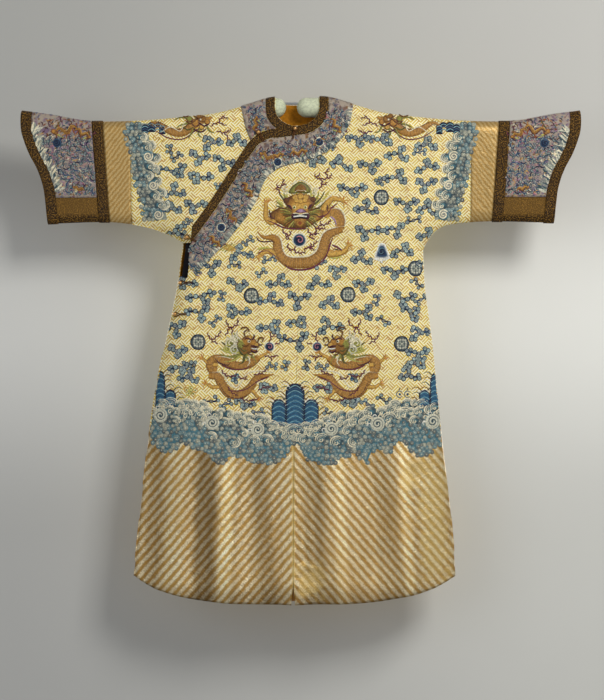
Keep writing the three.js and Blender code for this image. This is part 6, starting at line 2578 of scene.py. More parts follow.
@dataclass(frozen=True)
class WalkingDragon:
    """The dragon in profile of the skirt, drawn for the wearer's right and turned over for the left."""

    middle: float = 5.5
    upper: Line = (
        (-92, -711), (-116, -729), (-149, -734), (-183, -723), (-207, -713), (-226, -723), (-225, -743),
        (-207, -746))
    lower: Line = (
        (-230, -761), (-206, -764), (-192, -788), (-174, -810), (-143, -814), (-116, -796), (-99, -770),
        (-80, -763), (-48, -758))
    cream: Line = (
        (-225, -752), (-195, -752), (-182, -770), (-168, -788), (-151, -794), (-137, -776), (-122, -755),
        (-86, -748), (-48, -753))
    flames: tuple = (
        ((-204, -672), (-222, -663), (-234, -642)), ((-222, -663), (-204, -650), (-195, -635)),
        ((-183, -650), (-174, -629), (-184, -605)),
        ((-174, -629), (-152, -620), (-148, -602)), ((-165, -647), (-165, -626)),
        ((-80, -702), (-61, -709), (-34, -705)),
        ((-61, -709), (-52, -720)), ((-61, -669), (-55, -653), (-42, -646)), ((-55, -653), (-63, -638)),
        ((-46, -675), (-31, -669)))
    hair: tuple = (
        ((-140, -702), (-171, -709), (-200, -702)), ((-143, -696), (-177, -696), (-200, -685)),
        ((-143, -687), (-174, -681), (-195, -667)),
        ((-140, -678), (-165, -666), (-182, -652)), ((-137, -672), (-152, -656), (-161, -642)),
        ((-140, -705), (-165, -720), (-190, -723)),
        ((-131, -705), (-134, -723), (-149, -732)), ((-122, -707), (-116, -723), (-123, -735)),
        ((-113, -705), (-101, -717), (-98, -729)))

    def work(self, needle: Needle) -> None:
        """Works one dragon.

        Args:
            needle: what takes the stitches.
        """
        for line in self.flames:
            needle.flame(line, 3.8)
        limbs = (((-116, -723), (-86, -709), (-67, -697)), ((-116, -793), (-101, -812), (-92, -823)),
                 ((-204, -732), (-231, -726), (-246, -713)),
                 ((-189, -790), (-219, -793), (-236, -783)))
        for limb in limbs:
            needle.stroke(limb, (15, 11, 8), Thread.OCHRE, Thread.BRONZE, Thread.GOLD, 1.0, 0.2, (0.8, 0.7))
            px, pz = limb[-1]
            way = math.atan2(limb[-1][1] - limb[-2][1], limb[-1][0] - limb[-2][0])
            for n in range(5):
                a = way + (n - 2) * 0.55
                tip = (px + 14 * math.cos(a), pz + 14 * math.sin(a))
                mid = (px + 8 * math.cos(a + 0.15), pz + 8 * math.sin(a + 0.15))
                needle.stroke([(px, pz), mid, tip], (4.2, 1.6), Thread.ORANGE if n % 2 else Thread.OCHRE,
                              base=0.8, step=3.0)
        coils = ChestDragon()
        needle.stroke(self.upper, (24, 25, 25, 22, 20), Thread.GOLD, Thread.BRONZE, Thread.BRONZE, 1.4, 0.1,
                      (0.8, 0.9))
        needle.stroke(self.lower, (22, 27, 28, 27, 24, 15, 6), Thread.GOLD, Thread.BRONZE, Thread.BRONZE, 1.4,
                      0.1, (0.8, 0.3))
        coils.scales(needle, self.upper, 22, 6.0)
        coils.scales(needle, self.lower[:8], 23, 6.0)
        needle.stroke(self.cream, 3.4, Thread.CREAM, base=1.0)
        needle.stroke([(-213, -709), (-189, -709), (-165, -713)], 2.8, Thread.CREAM, base=1.0)
        needle.stroke([(-195, -732), (-165, -743), (-134, -743), (-110, -732)], 4.0, Thread.PURPLE, base=1.4)
        needle.stroke([(-204, -776), (-183, -812), (-152, -825), (-122, -817)], 3.6, Thread.PLUM, base=1.2)
        needle.stroke([(-165, -805), (-128, -800), (-92, -776), (-61, -764)], 3.8, Thread.PURPLE, base=1.6)
        needle.stroke([(-213, -713), (-200, -726), (-177, -732), (-169, -724)], 3.6, Thread.PLUM, base=1.6)
        for n, line in enumerate(self.hair):
            tone = (Thread.GREEN, Thread.LIME, Thread.MOSS, Thread.CREAM)[n % 4]
            needle.stroke(line, (9.0, 3.4), tone, edge=Thread.MOSS, base=1.3)
        for x, z, r, tone, edge in ((-131, -691, 15, Thread.BRONZE, Thread.MOSS),
                                    (-140, -675, 13, Thread.GREEN, Thread.BROWN),
                                    (-125, -666, 14, Thread.GOLD, Thread.BROWN),
                                    (-116, -685, 13, Thread.BRONZE, Thread.BROWN),
                                    (-107, -669, 11, Thread.GOLD, Thread.BROWN),
                                    (-97, -676, 8, Thread.OCHRE, Thread.PLUM),
                                    (-117, -657, 8, Thread.OCHRE, Thread.BROWN),
                                    (-103, -691, 8, Thread.BRONZE, Thread.PLUM)):
            needle.disc(x, z, r, tone, edge, 1.4, 1.4)
        for line in ([(-140, -663), (-152, -647), (-149, -634)], [(-148, -669), (-163, -655), (-165, -641)]):
            needle.stroke(line, (5, 3), Thread.CREAM, Thread.GREY, base=1.8)
        for line, tone in (([(-128, -655), (-131, -640), (-122, -634)], Thread.BROWN),
                           ([(-109, -663), (-103, -652), (-105, -646)], Thread.PLUM),
                           ([(-116, -641), (-123, -628), (-137, -628), (-140, -634)], Thread.BROWN),
                           ([(-94, -672), (-89, -656), (-78, -658), (-82, -669)], Thread.BROWN),
                           ([(-131, -661), (-121, -657), (-111, -663)], Thread.PLUM),
                           ([(-114, -680), (-103, -679), (-90, -683)], Thread.PLUM),
                           ([(-114, -690), (-103, -696), (-92, -693)], Thread.PLUM),
                           ([(-118, -675), (-128, -680), (-137, -676)], Thread.BROWN),
                           ([(-123, -695), (-116, -702), (-106, -703)], Thread.BROWN),
                           ([(-140, -685), (-133, -693), (-124, -691)], Thread.MOSS),
                           ([(-148, -681), (-143, -693), (-134, -703)], Thread.MOSS),
                           ([(-92, -675), (-84, -676), (-80, -674)], Thread.PLUM),
                           ([(-134, -669), (-140, -663), (-145, -666)], Thread.LIME),
                           ([(-122, -700), (-126, -709), (-118, -715)], Thread.GREEN)):
            needle.stroke(line, 3.8, tone, base=3.6, step=3.0)
        needle.stroke([(-112, -685), (-103, -687), (-93, -687)], 3.4, Thread.WHITE, base=4.0)
        needle.disc(-118, -666, 4.2, Thread.CREAM, None, 0.7, 3.6)
        needle.disc(-117, -666, 2.4, Thread.BLACK, None, 0.4, 4.3)
        for x, z, r, tone in ((-169, -672, 17, Thread.CREAM), (-158, -689, 14, Thread.FOAM),
                              (-178, -687, 11, Thread.LIME), (-155, -657, 9, Thread.CREAM)):
            needle.disc(x, z, r * 0.9, Thread.GREEN, Thread.CREAM, 0.5, 0.9)
            needle.spiral(x, z, r, 1.7, 3.4, tone, 0.7, 1, 1.9)
        for line in ([(-195, -746), (-182, -760), (-165, -764), (-152, -757)],
                     [(-149, -764), (-131, -770), (-122, -763)],
                     [(-177, -793), (-165, -808), (-148, -817)], [(-140, -826), (-116, -831), (-92, -825)],
                     [(-92, -802), (-75, -794), (-55, -793)],
                     [(-104, -760), (-83, -754), (-67, -743)]):
            needle.flame(line, 3.6, 1.8)
        coils.pearl(needle, -61, -681, 12.5)
        needle.stroke([(-165, -766), (-152, -757), (-145, -760)], 5.0, Thread.TEAL, Thread.NAVY, base=0.4)
        needle.disc(-157, -770, 5.0, Thread.BLUE, Thread.TEAL, 0.8, 0.5)

    def build(self) -> None:
        """Works the two on the front and the two behind."""
        for face, word in ((Face.FRONT, "front"), (Face.BACK, "back")):
            for mirror, hand in ((None, "right"), (self.middle, "left")):
                needle = Needle(mirror=mirror)
                self.work(needle)
                needle.lay(f"dragon_skirt_{word}_{hand}", face, turned=face is Face.BACK)


@dataclass(frozen=True)
class ShoulderDragons:
    """Dragons that lie over the shoulder folds, half of each in front and half behind."""

    middle: float = 8.4

    def work(self, needle: Needle) -> None:
        """Works the part on one shoulder, drawn for the wearer's left.

        Args:
            needle: what takes the stitches.
        """
        body = [(237, -41), (281, -57), (318, -83), (354, -80), (393, -57), (416, -66)]
        needle.stroke(body, (16, 24, 26, 24, 16, 6), Thread.GOLD, Thread.BRONZE, Thread.BROWN, 1.3, 0.1)
        ChestDragon().scales(needle, body, 20, 6.0)
        needle.stroke([(242, -57), (281, -77), (318, -102), (360, -99), (399, -77)], 3.2, Thread.PURPLE,
                      base=1.2)
        for x, z, r, tone, edge in ((265, -46, 11, Thread.BRONZE, Thread.BROWN),
                                    (284, -57, 12, Thread.GOLD, Thread.PLUM),
                                    (301, -46, 9, Thread.GREEN, Thread.BROWN),
                                    (251, -55, 8, Thread.GOLD, Thread.BROWN),
                                    (276, -38, 8, Thread.BRONZE, Thread.BROWN),
                                    (267, -69, 8, Thread.OCHRE, Thread.BROWN)):
            needle.disc(x, z, r, tone, edge, 1.3, 1.2)
        for line, tone in (([(245, -60), (259, -66), (276, -57)], Thread.PLUM),
                           ([(259, -38), (273, -46), (290, -38)], Thread.BROWN),
                           ([(281, -49), (298, -60), (312, -52)], Thread.BROWN),
                           ([(253, -74), (270, -83), (290, -74)], Thread.PLUM),
                           ([(298, -32), (312, -41), (329, -35)], Thread.BROWN),
                           ([(290, -69), (304, -77), (318, -69)], Thread.MOSS)):
            needle.stroke(line, 3.8, tone, base=3.1, step=3.0)
        needle.stroke([(315, -52), (326, -80), (354, -69), (382, -85)], 2.8, Thread.CREAM, base=1.6)
        for a, b, c in (((298, -46), (326, -41), (343, -49)), ((295, -57), (323, -63), (337, -71)),
                        ((270, -69), (276, -88), (267, -99)),
                        ((287, -71), (298, -91), (304, -102)), ((253, -63), (245, -80), (231, -85))):
            needle.stroke([a, b, c], (6, 3), Thread.GREEN, Thread.MOSS, base=1.6)
        for line in ([(242, -66), (220, -57), (197, -66)], [(220, -57), (209, -41), (192, -46)],
                     [(225, -80), (203, -85), (186, -77)],
                     [(203, -85), (192, -102)]):
            needle.flame(line, 3.8)
        for n, (ax, az) in enumerate(((382, -97), (396, -91), (371, -102), (225, -102), (239, -108))):
            needle.stroke([(ax, az), (ax + 5, az - 6), (ax + 9 - 4 * (n % 2), az - 13)], (4.4, 1.8),
                          Thread.OCHRE, base=0.7)
        needle.disc(270, -49, 2.6, Thread.CREAM, None, 0.5, 2.8)

    def build(self) -> None:
        """Works four pieces: two shoulders, each in front and behind."""
        for face, word in ((Face.FRONT, "front"), (Face.BACK, "back")):
            for mirror, hand in ((None, "left"), (self.middle, "right")):
                needle = Needle(mirror=mirror)
                self.work(needle)
                sunk = face is Face.FRONT and hand == "right"
                needle.lay(f"dragon_shoulder_{word}_{hand}", face, sunk=sunk)


@dataclass(frozen=True)
class Emblems:
    """Round lattices, a bell, a knot and other small good-luck signs."""

    rounds: tuple[Row, ...] = ((251, -265), (346, -463), (-111, -539), (158, -536), (-259, -668), (307, -673))

    def lattice(self, needle: Needle, x: float, z: float, radius: float = 21.0) -> None:
        """Works one round lattice.

        Args:
            needle: what takes the stitches.
            x: place across.
            z: height.
            radius: its radius.
        """
        needle.disc(x, z, radius, Thread.FOAM, Thread.SLATE, 0.3, 0.1, Thread.MIST)
        needle.arc(x, z, radius, 0, 360, 3.0, Thread.NAVY)
        for k in range(-2, 3):
            off = k * radius * 0.36
            half = math.sqrt(max((radius * 0.92) ** 2 - off ** 2, 1))
            tone = Thread.NAVY if k % 2 == 0 else Thread.SLATE
            needle.stroke([(x - half, z + off), (x + half, z + off)], 2.2, tone, base=0.4)
            needle.stroke([(x + off, z - half), (x + off, z + half)], 2.2, tone, base=0.6)
        for dx, dz in ((0.45, 0.45), (-0.45, 0.45), (0.45, -0.45), (-0.45, -0.45), (0, 0)):
            needle.disc(x + dx * radius, z + dz * radius, 2.6, Thread.FOAM, None, 0.6, 1.0)

    def work(self, name: str, face: Face, turned: bool) -> None:
        """Works all of one face.

        Args:
            name: the piece's name.
            face: front or back.
            turned: whether left and right change places, as behind.
        """
        needle = Needle()
        for x, z in self.rounds:
            self.lattice(needle, x, z)
        bell = [(231, -433), (237, -410), (245, -393), (259, -393), (267, -410), (273, -433), (251, -438)]
        needle.fill(bell, Thread.BLUE, Thread.WHITE, 0.9, 0.3, Thread.NAVY)
        needle.stroke([(225, -435), (251, -441), (276, -433)], 4.0, Thread.WHITE, base=0.9)
        needle.spiral(251, -416, 11, 1.2, 3.0, Thread.SKY, 0.5)
        needle.disc(251, -445, 4.0, Thread.WHITE, Thread.GREY, 0.7, 1.0)
        knot_x, knot_z = -175, -405
        for k in range(-2, 3):
            x, high = knot_x + k * 7, 14 - abs(k) * 3
            needle.stroke([(x - 12, knot_z - high), (x + 12, knot_z + high)], 3.4,
                          Thread.LIME if k % 2 else Thread.GREEN, base=0.4)
            needle.stroke([(x + 12, knot_z - high), (x - 12, knot_z + high)], 3.4, Thread.OCHRE, base=0.7)
        coin_x, coin_z = -279, -805
        for n, (dx, dz) in enumerate(((-12, 4), (0, 8), (12, 3), (-7, -6), (7, -7), (0, 0))):
            needle.arc(coin_x + dx, coin_z + dz, 6.5, 0, 360, 2.8, Thread.LIME if n % 2 else Thread.OCHRE)
            needle.disc(coin_x + dx, coin_z + dz, 2.6, Thread.GREEN, None, 0.6, 0.5)
        for x, z in ((301, -813), (323, -813)):
            needle.arc(x, z, 9, 30, 330, 3.4, Thread.GREY)
            needle.disc(x, z, 3.4, Thread.BLUE, None, 0.6, 0.6)
            needle.stroke([(x - 3, z + 10), (x + 2, z + 19)], 2.8, Thread.NAVY, base=0.4)
        needle.lay(name, face, turned=turned)

    def build(self) -> None:
        """Works the front's and the back's."""
        self.work("emblems_front", Face.FRONT, False)
        self.work("emblems_back", Face.BACK, True)


@dataclass(frozen=True)
class Waves:
    """Mountains, curling waves and ring foam round the skirt, over the slanting stripes."""

    middle: float = 10.2
    # top of the sea and its scalloped foot, across the front
    top: Line = (
        (-402, -836), (-368, -830), (-335, -836), (-284, -833), (-242, -847), (-195, -861), (-144, -864),
        (-99, -872), (-60, -889), (-24, -897),
        (13, -909), (49, -897), (85, -889), (125, -872), (169, -864), (220, -861), (265, -847), (309, -833),
        (360, -836), (393, -844),
        (427, -841))
    foot: Line = (
        (-407, -920), (-388, -948), (-365, -970), (-335, -976), (-298, -951), (-273, -962), (-237, -970),
        (-214, -998), (-183, -1009), (-172, -984),
        (-141, -990), (-91, -1004), (-55, -1009), (-18, -987), (-1, -959), (13, -953), (27, -962), (43, -993),
        (85, -1009), (127, -1001),
        (169, -981), (192, -993), (209, -1009), (223, -979), (248, -970), (273, -973), (304, -942),
        (335, -970), (363, -990), (388, -976),
        (410, -959), (435, -953))
    spirals: tuple[Row, ...] = (
        (-365, -872, 18), (-220, -892, 18), (-94, -911, 17), (111, -909, 17), (239, -895, 18),
        (393, -889, 19))
    # place, size, way in degrees, hand
    crests: tuple[Row, ...] = (
        (-298, -869, 22, 20, 1), (-267, -853, 20, 10, 1), (-234, -861, 16, -10, 1), (-167, -878, 19, 30, 1),
        (-127, -889, 16, 60, 1),
        (-55, -903, 21, 15, 1), (-24, -917, 17, -10, 1), (-223, -931, 16, 30, 1), (-161, -945, 19, 100, 1),
        (-105, -942, 17, 10, 1),
        (-69, -939, 18, 20, 1), (-136, -920, 15, 70, 1), (-323, -886, 14, 40, 1), (-256, -892, 13, 60, 1),
        (-393, -858, 13, 30, 1))
    left_crests: tuple[Row, ...] = (
        (74, -900, 21, 15, -1), (41, -917, 17, -10, -1), (85, -937, 18, 20, -1), (127, -945, 19, 30, -1),
        (158, -914, 16, 70, -1),
        (178, -881, 19, 30, -1), (175, -945, 18, 100, -1), (144, -889, 16, 40, -1), (251, -861, 16, -10, -1),
        (284, -853, 20, 10, -1),
        (315, -867, 22, 20, -1), (343, -886, 15, 40, -1), (276, -897, 13, 60, -1), (427, -867, 14, 30, -1),
        (360, -858, 16, 20, -1))

    def crest(self, needle: Needle, x: float, z: float, size: float, way: float, hand: int) -> None:
        """Works one curling crest of nested arcs.

        Args:
            needle: what takes the stitches.
            x: place across.
            z: height.
            size: its radius.
            way: the way that it curls, in degrees.
            hand: 1, or -1 for its mirror image.
        """
        base = 1.0 + (x * 0.37 % 1.0) * 0.5
        turns = np.radians(np.arange(0, 360, 45))
        needle.fill([(x + size * 0.95 * math.cos(a), z + size * 0.7 * math.sin(a)) for a in turns],
                    Thread.SLATE, Thread.SLATE, 0.4, base - 0.5, Thread.TEAL)
        for k, share in enumerate((1.0, 0.72, 0.44)):
            start, end = (18 - 12 * k, 186 + 16 * k)
            a = np.radians(np.linspace(start, end, 7) + way)
            px, pz = size * share * np.cos(a), size * share * 0.82 * np.sin(a)
            tone = (Thread.CREAM, Thread.FOAM, Thread.MIST)[k]
            needle.stroke(np.stack([x - hand * px, z + pz], axis=1), (1.8, 4.8, 2.8), tone,
                          edge=Thread.SLATE if k else None, base=base + 0.15 * k, step=4.0)
        needle.spiral(x + hand * size * 0.2, z - size * 0.22, size * 0.34, 1.1, 2.8, Thread.CREAM, 1.0, hand,
                      base + 0.5)

    def peak(self, needle: Needle, x: float, foot: float, width: float, height: float, spray: bool = True,
             point: float = 0.5, ground: Thread = Thread.LAPIS) -> None:
        """Works a round-headed peak of nested lines over a foot line.

        Args:
            needle: what takes the stitches.
            x: place across.
            foot: height of its foot.
            width: its full width.
            height: its height.
            spray: whether spray stands beside it.
            point: how tall its head is for its width.
            ground: colour of its ground.
        """
        half = width / 2
        if spray:
            whiskers = []
            for side in (-1, 1):
                for z in np.arange(foot + 16, foot + height + 2, 7.0):
                    w = half * (1.0 if z < foot + height - width * point else 0.5)
                    whiskers.append([(x + side * w, z - 5), (x + side * (w + 13), z + 6),
                                     (x + side * (w + 27), z + 1)])
            needle.spray(whiskers, 3.6, (Thread.WHITE, Thread.BROWN, Thread.CREAM, Thread.SLATE), 0.35)
        head = width * point
        shoulder = foot + height - head
        turns = np.linspace(0, math.pi, 9)
        outline = [(x + half * math.cos(a), shoulder + head * math.sin(a)) for a in turns]
        left = [(x - half, z) for z in np.linspace(shoulder - 12, foot, 4)] if height > head + 14 else []
        right = [(2 * x - px, z) for px, z in reversed(left)]
        needle.fill(outline + left + right, ground, Thread.NAVY, 1.1, 0.4, ground)
        for k, top in enumerate(np.arange(foot + height - 7.0, foot + 4, -7.0)):
            wide = half * 0.88
            if top > shoulder:
                wide *= math.sqrt(max(0.0, 1 - ((top - shoulder) / head) ** 2))
            deep = wide * 0.55
            line = [(x - wide, top - deep), (x - wide * 0.55, top - deep * 0.35), (x, top),
                    (x + wide * 0.55, top - deep * 0.35), (x + wide, top - deep)]
            line = [(px, max(pz, foot + 1)) for px, pz in line]
            tone = Thread.BLUE if k % 2 else Thread.SKY
            needle.stroke(line, 3.4 if k % 2 else 2.6, tone, base=1.5, step=4.0, taper=(0.7, 0.7))

    def foam(self, curls: MotifField, inside: Callable[[float, float], bool], rng: Draws) -> None:
        """Fills places with ring foam, in uneven rows.

        Args:
            curls: what takes its curls.
            inside: whether a place takes foam.
            rng: the random draws.
        """
        pitch = 12.0
        for row in range(40):
            z = -826.0 - row * pitch * 0.87
            for col in range(90):
                x = -470 + (col + (row % 2) * 0.5) * pitch
                x += rng.uniform(-3.4, 3.4)
                zz = z + rng.uniform(-3.4, 3.4)
                if inside(x, zz):
                    tone = rng.choice([Thread.TEAL, Thread.SLATE, Thread.TEAL, Thread.MIST])
                    curls.put(x, zz, rng.uniform(6.0, 8.2), tone)

    def work(self, word: str, face: Face, turned: bool) -> None:
        """Works the sea of one face in three pieces.

        Args:
            word: front or back, for the names.
            face: front or back.
            turned: whether left and right change places, as behind.
        """
        top, foot = smooth_line(self.top, 6.0), smooth_line(self.foot, 4.0)

        def height(line: Array, x: Numbers) -> Numbers:
            """Height of a line over an x."""
            return np.interp(x, line[:, 0], line[:, 1])

        def in_sea(x: float, z: float) -> bool:
            """Whether a place lies in the sea, below its crests."""
            return top[0, 0] < x < top[-1, 0] and height(foot, x) - 1 < z < height(top, x) - 20

        rng = np.random.default_rng(11)
        ground = Needle()
        xs = np.linspace(top[0, 0], top[-1, 0], 150)
        share = np.linspace(0, 1, 14)
        z = lerp(height(top, xs)[:, None], (height(foot, xs) + 2)[:, None], share[None])
        ground.wash(np.broadcast_to(xs[:, None], z.shape), z, (Thread.SLATE, Thread.TEAL),
                    smoothstep(0.3, 0.6, share), 0.35)
        curls = MotifField(Motif.RING)
        self.foam(curls, in_sea, rng)
        curls.stitch(ground, 0.6, 1.0, 0.18, 9)
        ground.lay(f"sea_foam_{word}", face, turned=turned)
        needle = Needle()
        for x in np.arange(top[0, 0] + 8, top[-1, 0] - 6, 20.0):
            hand = 1 if x < 5 else -1
            for row in range(2):
                px, pz = x + rng.uniform(-6, 6) + 9 * row, height(top, x) - 8 - 21 * row + rng.uniform(-6, 6)
                near = min(math.hypot(px - sx, pz - sz) / r for sx, sz, r in self.spirals)
                if near > 1.3:
                    self.crest(needle, px, pz, rng.uniform(12, 21), rng.uniform(-20, 70), hand)
        for row in self.crests + self.left_crests:
            self.crest(needle, *row)
        for n, (sx, sz, r) in enumerate(self.spirals):
            hand = 1 if n < 3 else -1
            needle.disc(sx, sz, r * 1.12, Thread.SLATE, Thread.FOAM, 0.5, 1.8)
            needle.spiral(sx, sz, r * 0.98, 2.1, 6.0, Thread.FOAM, 0.4, -hand, 2.5)
            for k in range(4):
                a = math.radians(70 + 40 * k)
                curl_x, curl_z = sx + r * 1.25 * math.cos(a), sz + r * 1.2 * math.sin(a)
                needle.arc(curl_x, curl_z, 5.0, 0, 230, 3.0, Thread.WHITE if k % 2 else Thread.CREAM,
                           base=2.0)
        needle.lay(f"sea_waves_{word}", face, turned=turned)
        peaks = Needle()
        for side in (-1, 1):
            self.peak(peaks, self.middle + side * 45, -905, 42, 80, True, 0.55)
        self.peak(peaks, self.middle, -918, 54, 136, True, 0.5)
        self.peak(peaks, -366, -850, 28, 102, True, 1.1)
        self.peak(peaks, -337, -850, 32, 50)
        self.peak(peaks, 400, -850, 28, 96, True, 1.1)
        self.peak(peaks, 370, -850, 32, 50)
        peaks.lay(f"mountains_{word}", face, turned=turned)

    def build(self) -> None:
        """Works the sea in front and behind."""
        self.work("front", Face.FRONT, False)
        self.work("back", Face.BACK, True)


@dataclass(frozen=True)
class SleeveWaves:
    """The band of foam and waves down each sleeve, and the little mountain on its fold."""

    # reach of the foam's outer edge by height
    edge: tuple[Row, ...] = ((-66, 484), (-80, 494), (-100, 488), (-125, 484), (-150, 470), (-180, 476),
                             (-215, 470),
                             (-250, 456), (-290, 446), (-330, 438))
    width: float = 66.0

    def edge_at(self, z: float) -> float:
        """Reach of the foam's outer edge at a height."""
        return float(np.interp(-z, [-row[0] for row in self.edge], [row[1] for row in self.edge]))

    def work(self, side: Side, face: Face) -> None:
        """Works one face of one sleeve.

        Args:
            side: left or right.
            face: front or back.
        """
        s, at = side.value, partial(HANG.x_at, side)
        rng = np.random.default_rng(21)
        needle, curls = Needle(), MotifField(Motif.RING)
        zs = np.linspace(-58, -326, 60)
        out = np.array([self.edge_at(z) for z in zs])
        share = np.linspace(0, 1, 9)
        reach = out[:, None] - 4 - self.width * share[None]
        needle.wash(at(reach), np.broadcast_to(zs[:, None], reach.shape), (Thread.SLATE, Thread.MIST),
                    smoothstep(0.3, 0.7, share), 0.3)
        for row in range(29):
            z0 = -62 - row * 9.4
            for col in range(4):
                r = self.edge_at(z0) - 3 - (col + (row % 2) * 0.5) * 10.6
                curls.put(at(r + rng.uniform(-3, 3)), z0 + rng.uniform(-3, 3), rng.uniform(5.8, 7.6),
                          rng.choice([Thread.TEAL, Thread.MIST, Thread.SLATE]))
        curls.stitch(needle, 0.6, 1.0, 0.18, 12)
        waves = Waves()
        for n, z0 in enumerate(np.arange(-96, -320, -27)):
            r = self.edge_at(z0) - 44 - (n % 2) * 8
            if n % 3 == 2:
                needle.disc(at(r), z0, 15, Thread.GREY, Thread.TEAL, 0.5, 1.4)
                needle.spiral(at(r), z0, 13.5, 1.9, 4.6, Thread.CREAM, 0.6, s, 2.0)
            else:
                waves.crest(needle, at(r), z0, 17, 80 - 30 * (n % 2), -s)
        for n, z0 in enumerate(np.arange(-120, -300, -33)):
            waves.crest(needle, at(self.edge_at(z0) - 64), z0, 17, 60 + 40 * (n % 2), -s)
        for k, r in enumerate((398, 416, 434, 386)):
            waves.peak(needle, at(r), -80 - 3 * k, 24 - 2 * k, 26 + 4 * (k % 2), False, 0.5, Thread.NAVY)
        word = f"{face.name.lower()}_{side.name.lower()}"
        sunk = face is Face.FRONT and side is Side.RIGHT
        needle.lay(f"sleeve_waves_{word}", face, sunk=sunk, slot="striped_silk")

    def build(self) -> None:
        """Works both sleeves, in front and behind."""
        for side in Side:
            for face in Face:
                self.work(side, face)


@dataclass(frozen=True)
class BandWork:
    """The small clouds, dragons, discs and feathered waves on the collar band, lapel and cuff panels."""

    cuff_margin: float = 33.0
    discs: tuple[Row, ...] = ((78, -111), (-38, -167), (-195, -349))
    # middle line of the collar band, from the left shoulder to the lapel's foot
    middle: Line = (
        (130, -30), (128, -62), (112, -94), (84, -120), (50, -138), (10, -138), (-40, -148), (-88, -172),
        (-124, -222),
        (-156, -284), (-208, -360), (-252, -424))

    def clump(self, needle: Needle, curls: MotifField, x: float, z: float, rng: Draws) -> None:
        """Works one small cloud clump.

        Args:
            needle: what takes the stitches.
            curls: what takes its curls.
            x: place across.
            z: height.
            rng: the random draws.
        """
        put = Spot(x, z, rng.uniform(0, math.pi)).at
        needle.stroke([put(-9, -2), put(0, 3), put(9, -1)], 4.6,
                      rng.choice([Thread.NAVY, Thread.BLUE, Thread.SLATE]), base=0.2)
        for u, v in ((-8, 3), (-1, -5), (7, 5), (11, -3), (3, 9))[:int(rng.integers(2, 6))]:
            tone = rng.choice([Thread.TEAL, Thread.LAPIS, Thread.BLUE, Thread.MAUVE, Thread.TEAL])
            curls.put(*put(u, v), 3.7, tone)
        if rng.uniform() < 0.7:
            needle.stroke([put(-6, 9), put(0, 11), put(7, 8)], 2.4,
                          rng.choice([Thread.PINK, Thread.LILAC, Thread.CREAM, Thread.OCHRE]),
                          base=0.3, step=4.0)

    def feathers(self, needle: Needle, line: Array, inward: float, length: float, rng: Draws) -> None:
        """Works a row of pale feathery waves along an edge.

        Args:
            needle: what takes the stitches.
            line: the edge.
            inward: turn from the line to the stitches, in radians.
            length: how long a stitch is.
            rng: the random draws.
        """
        row = MotifField(Motif.FEATHER)
        ahead = np.gradient(line, axis=0)
        for p, a in zip(line, ahead):
            way = math.atan2(a[1], a[0]) + inward
            for k in range(2):
                turn = way + rng.uniform(-0.5, 0.5) + 0.35 * k
                tone = (Thread.CREAM, Thread.FOAM, Thread.GREY, Thread.MIST,
                        Thread.SLATE)[int(rng.integers(5))]
                row.put(p[0], p[1], length * rng.uniform(0.7, 1.15), tone, turn)
        row.stitch(needle, 0.5, 1.0, 0.2, 14)

    def dragonet(self, needle: Needle, x: float, z: float, size: float, turn: float, hand: int = 1) -> None:
        """Works one small dragon as a running curve with a head, legs and flames.

        Args:
            needle: what takes the stitches.
            x: place across.
            z: height.
            size: half its length.
            turn: its turn in degrees.
            hand: 1, or -1 for its mirror image.
        """
        put = Spot(x, z, math.radians(turn), size, hand).at
        needle.stroke([put(-1, -0.2), put(-0.55, 0.25), put(-0.1, -0.15), put(0.35, 0.25), put(0.75, 0.05)],
                      (3.0, 8.0, 10.0, 9.0, 6.0), Thread.BRONZE, Thread.PLUM, Thread.GOLD, base=0.8)
        needle.stroke([put(-0.8, 0.02), put(-0.45, 0.3), put(-0.05, 0.0), put(0.4, 0.34), put(0.7, 0.14)],
                      1.8, Thread.OCHRE, base=1.6)
        needle.disc(*put(0.82, 0.12), size * 0.17, Thread.GOLD, Thread.RUST, 1.0, 1.3)
        needle.disc(*put(0.7, -0.02), size * 0.13, Thread.BRONZE, Thread.PLUM, 1.0, 1.5)
        for a, b, e, f in ((-0.5, 0.2, -0.6, -0.4), (-0.1, -0.1, 0.05, -0.55), (0.35, 0.2, 0.45, 0.65),
                           (0.5, 0.1, 0.75, -0.4)):
            needle.stroke([put(a, b), put(e, f)], (5.0, 2.6), Thread.RUST, base=0.9)
        for a, b in ((0.7, 0.3), (0.6, 0.35), (0.72, -0.1), (0.6, -0.2)):
            needle.stroke([put(a, b), put(a - 0.2, b * 1.6), put(a - 0.4, b * 2.3)], (3.6, 1.8),
                          Thread.MOSS if b > 0 else Thread.LIME, base=1.0)
        for a, b in ((0.1, 0.65), (-0.75, 0.55), (0.95, 0.5), (-0.3, -0.6)):
            needle.flame([put(a, b), put(a + 0.15, b + 0.15), put(a + 0.05, b + 0.4)], 3.0)

    def scatter(self, needle: Needle, curls: MotifField, line: Array, half: float, pitch: float,
                rng: Draws) -> None:
        """Sets clumps to both sides of a line.

        Args:
            needle: what takes the stitches.
            curls: what takes its curls.
            line: the line.
            half: how far to each side.
            pitch: how far apart.
            rng: the random draws.
        """
        for n, (p, left) in enumerate(zip(line, ways(line)[1])):
            for off in np.arange(-half, half + 1, pitch) + (n % 2) * pitch * 0.5:
                if abs(off) <= half:
                    x, z = p + left * off
                    self.clump(needle, curls, x + rng.uniform(-3, 3), z + rng.uniform(-3, 3), rng)

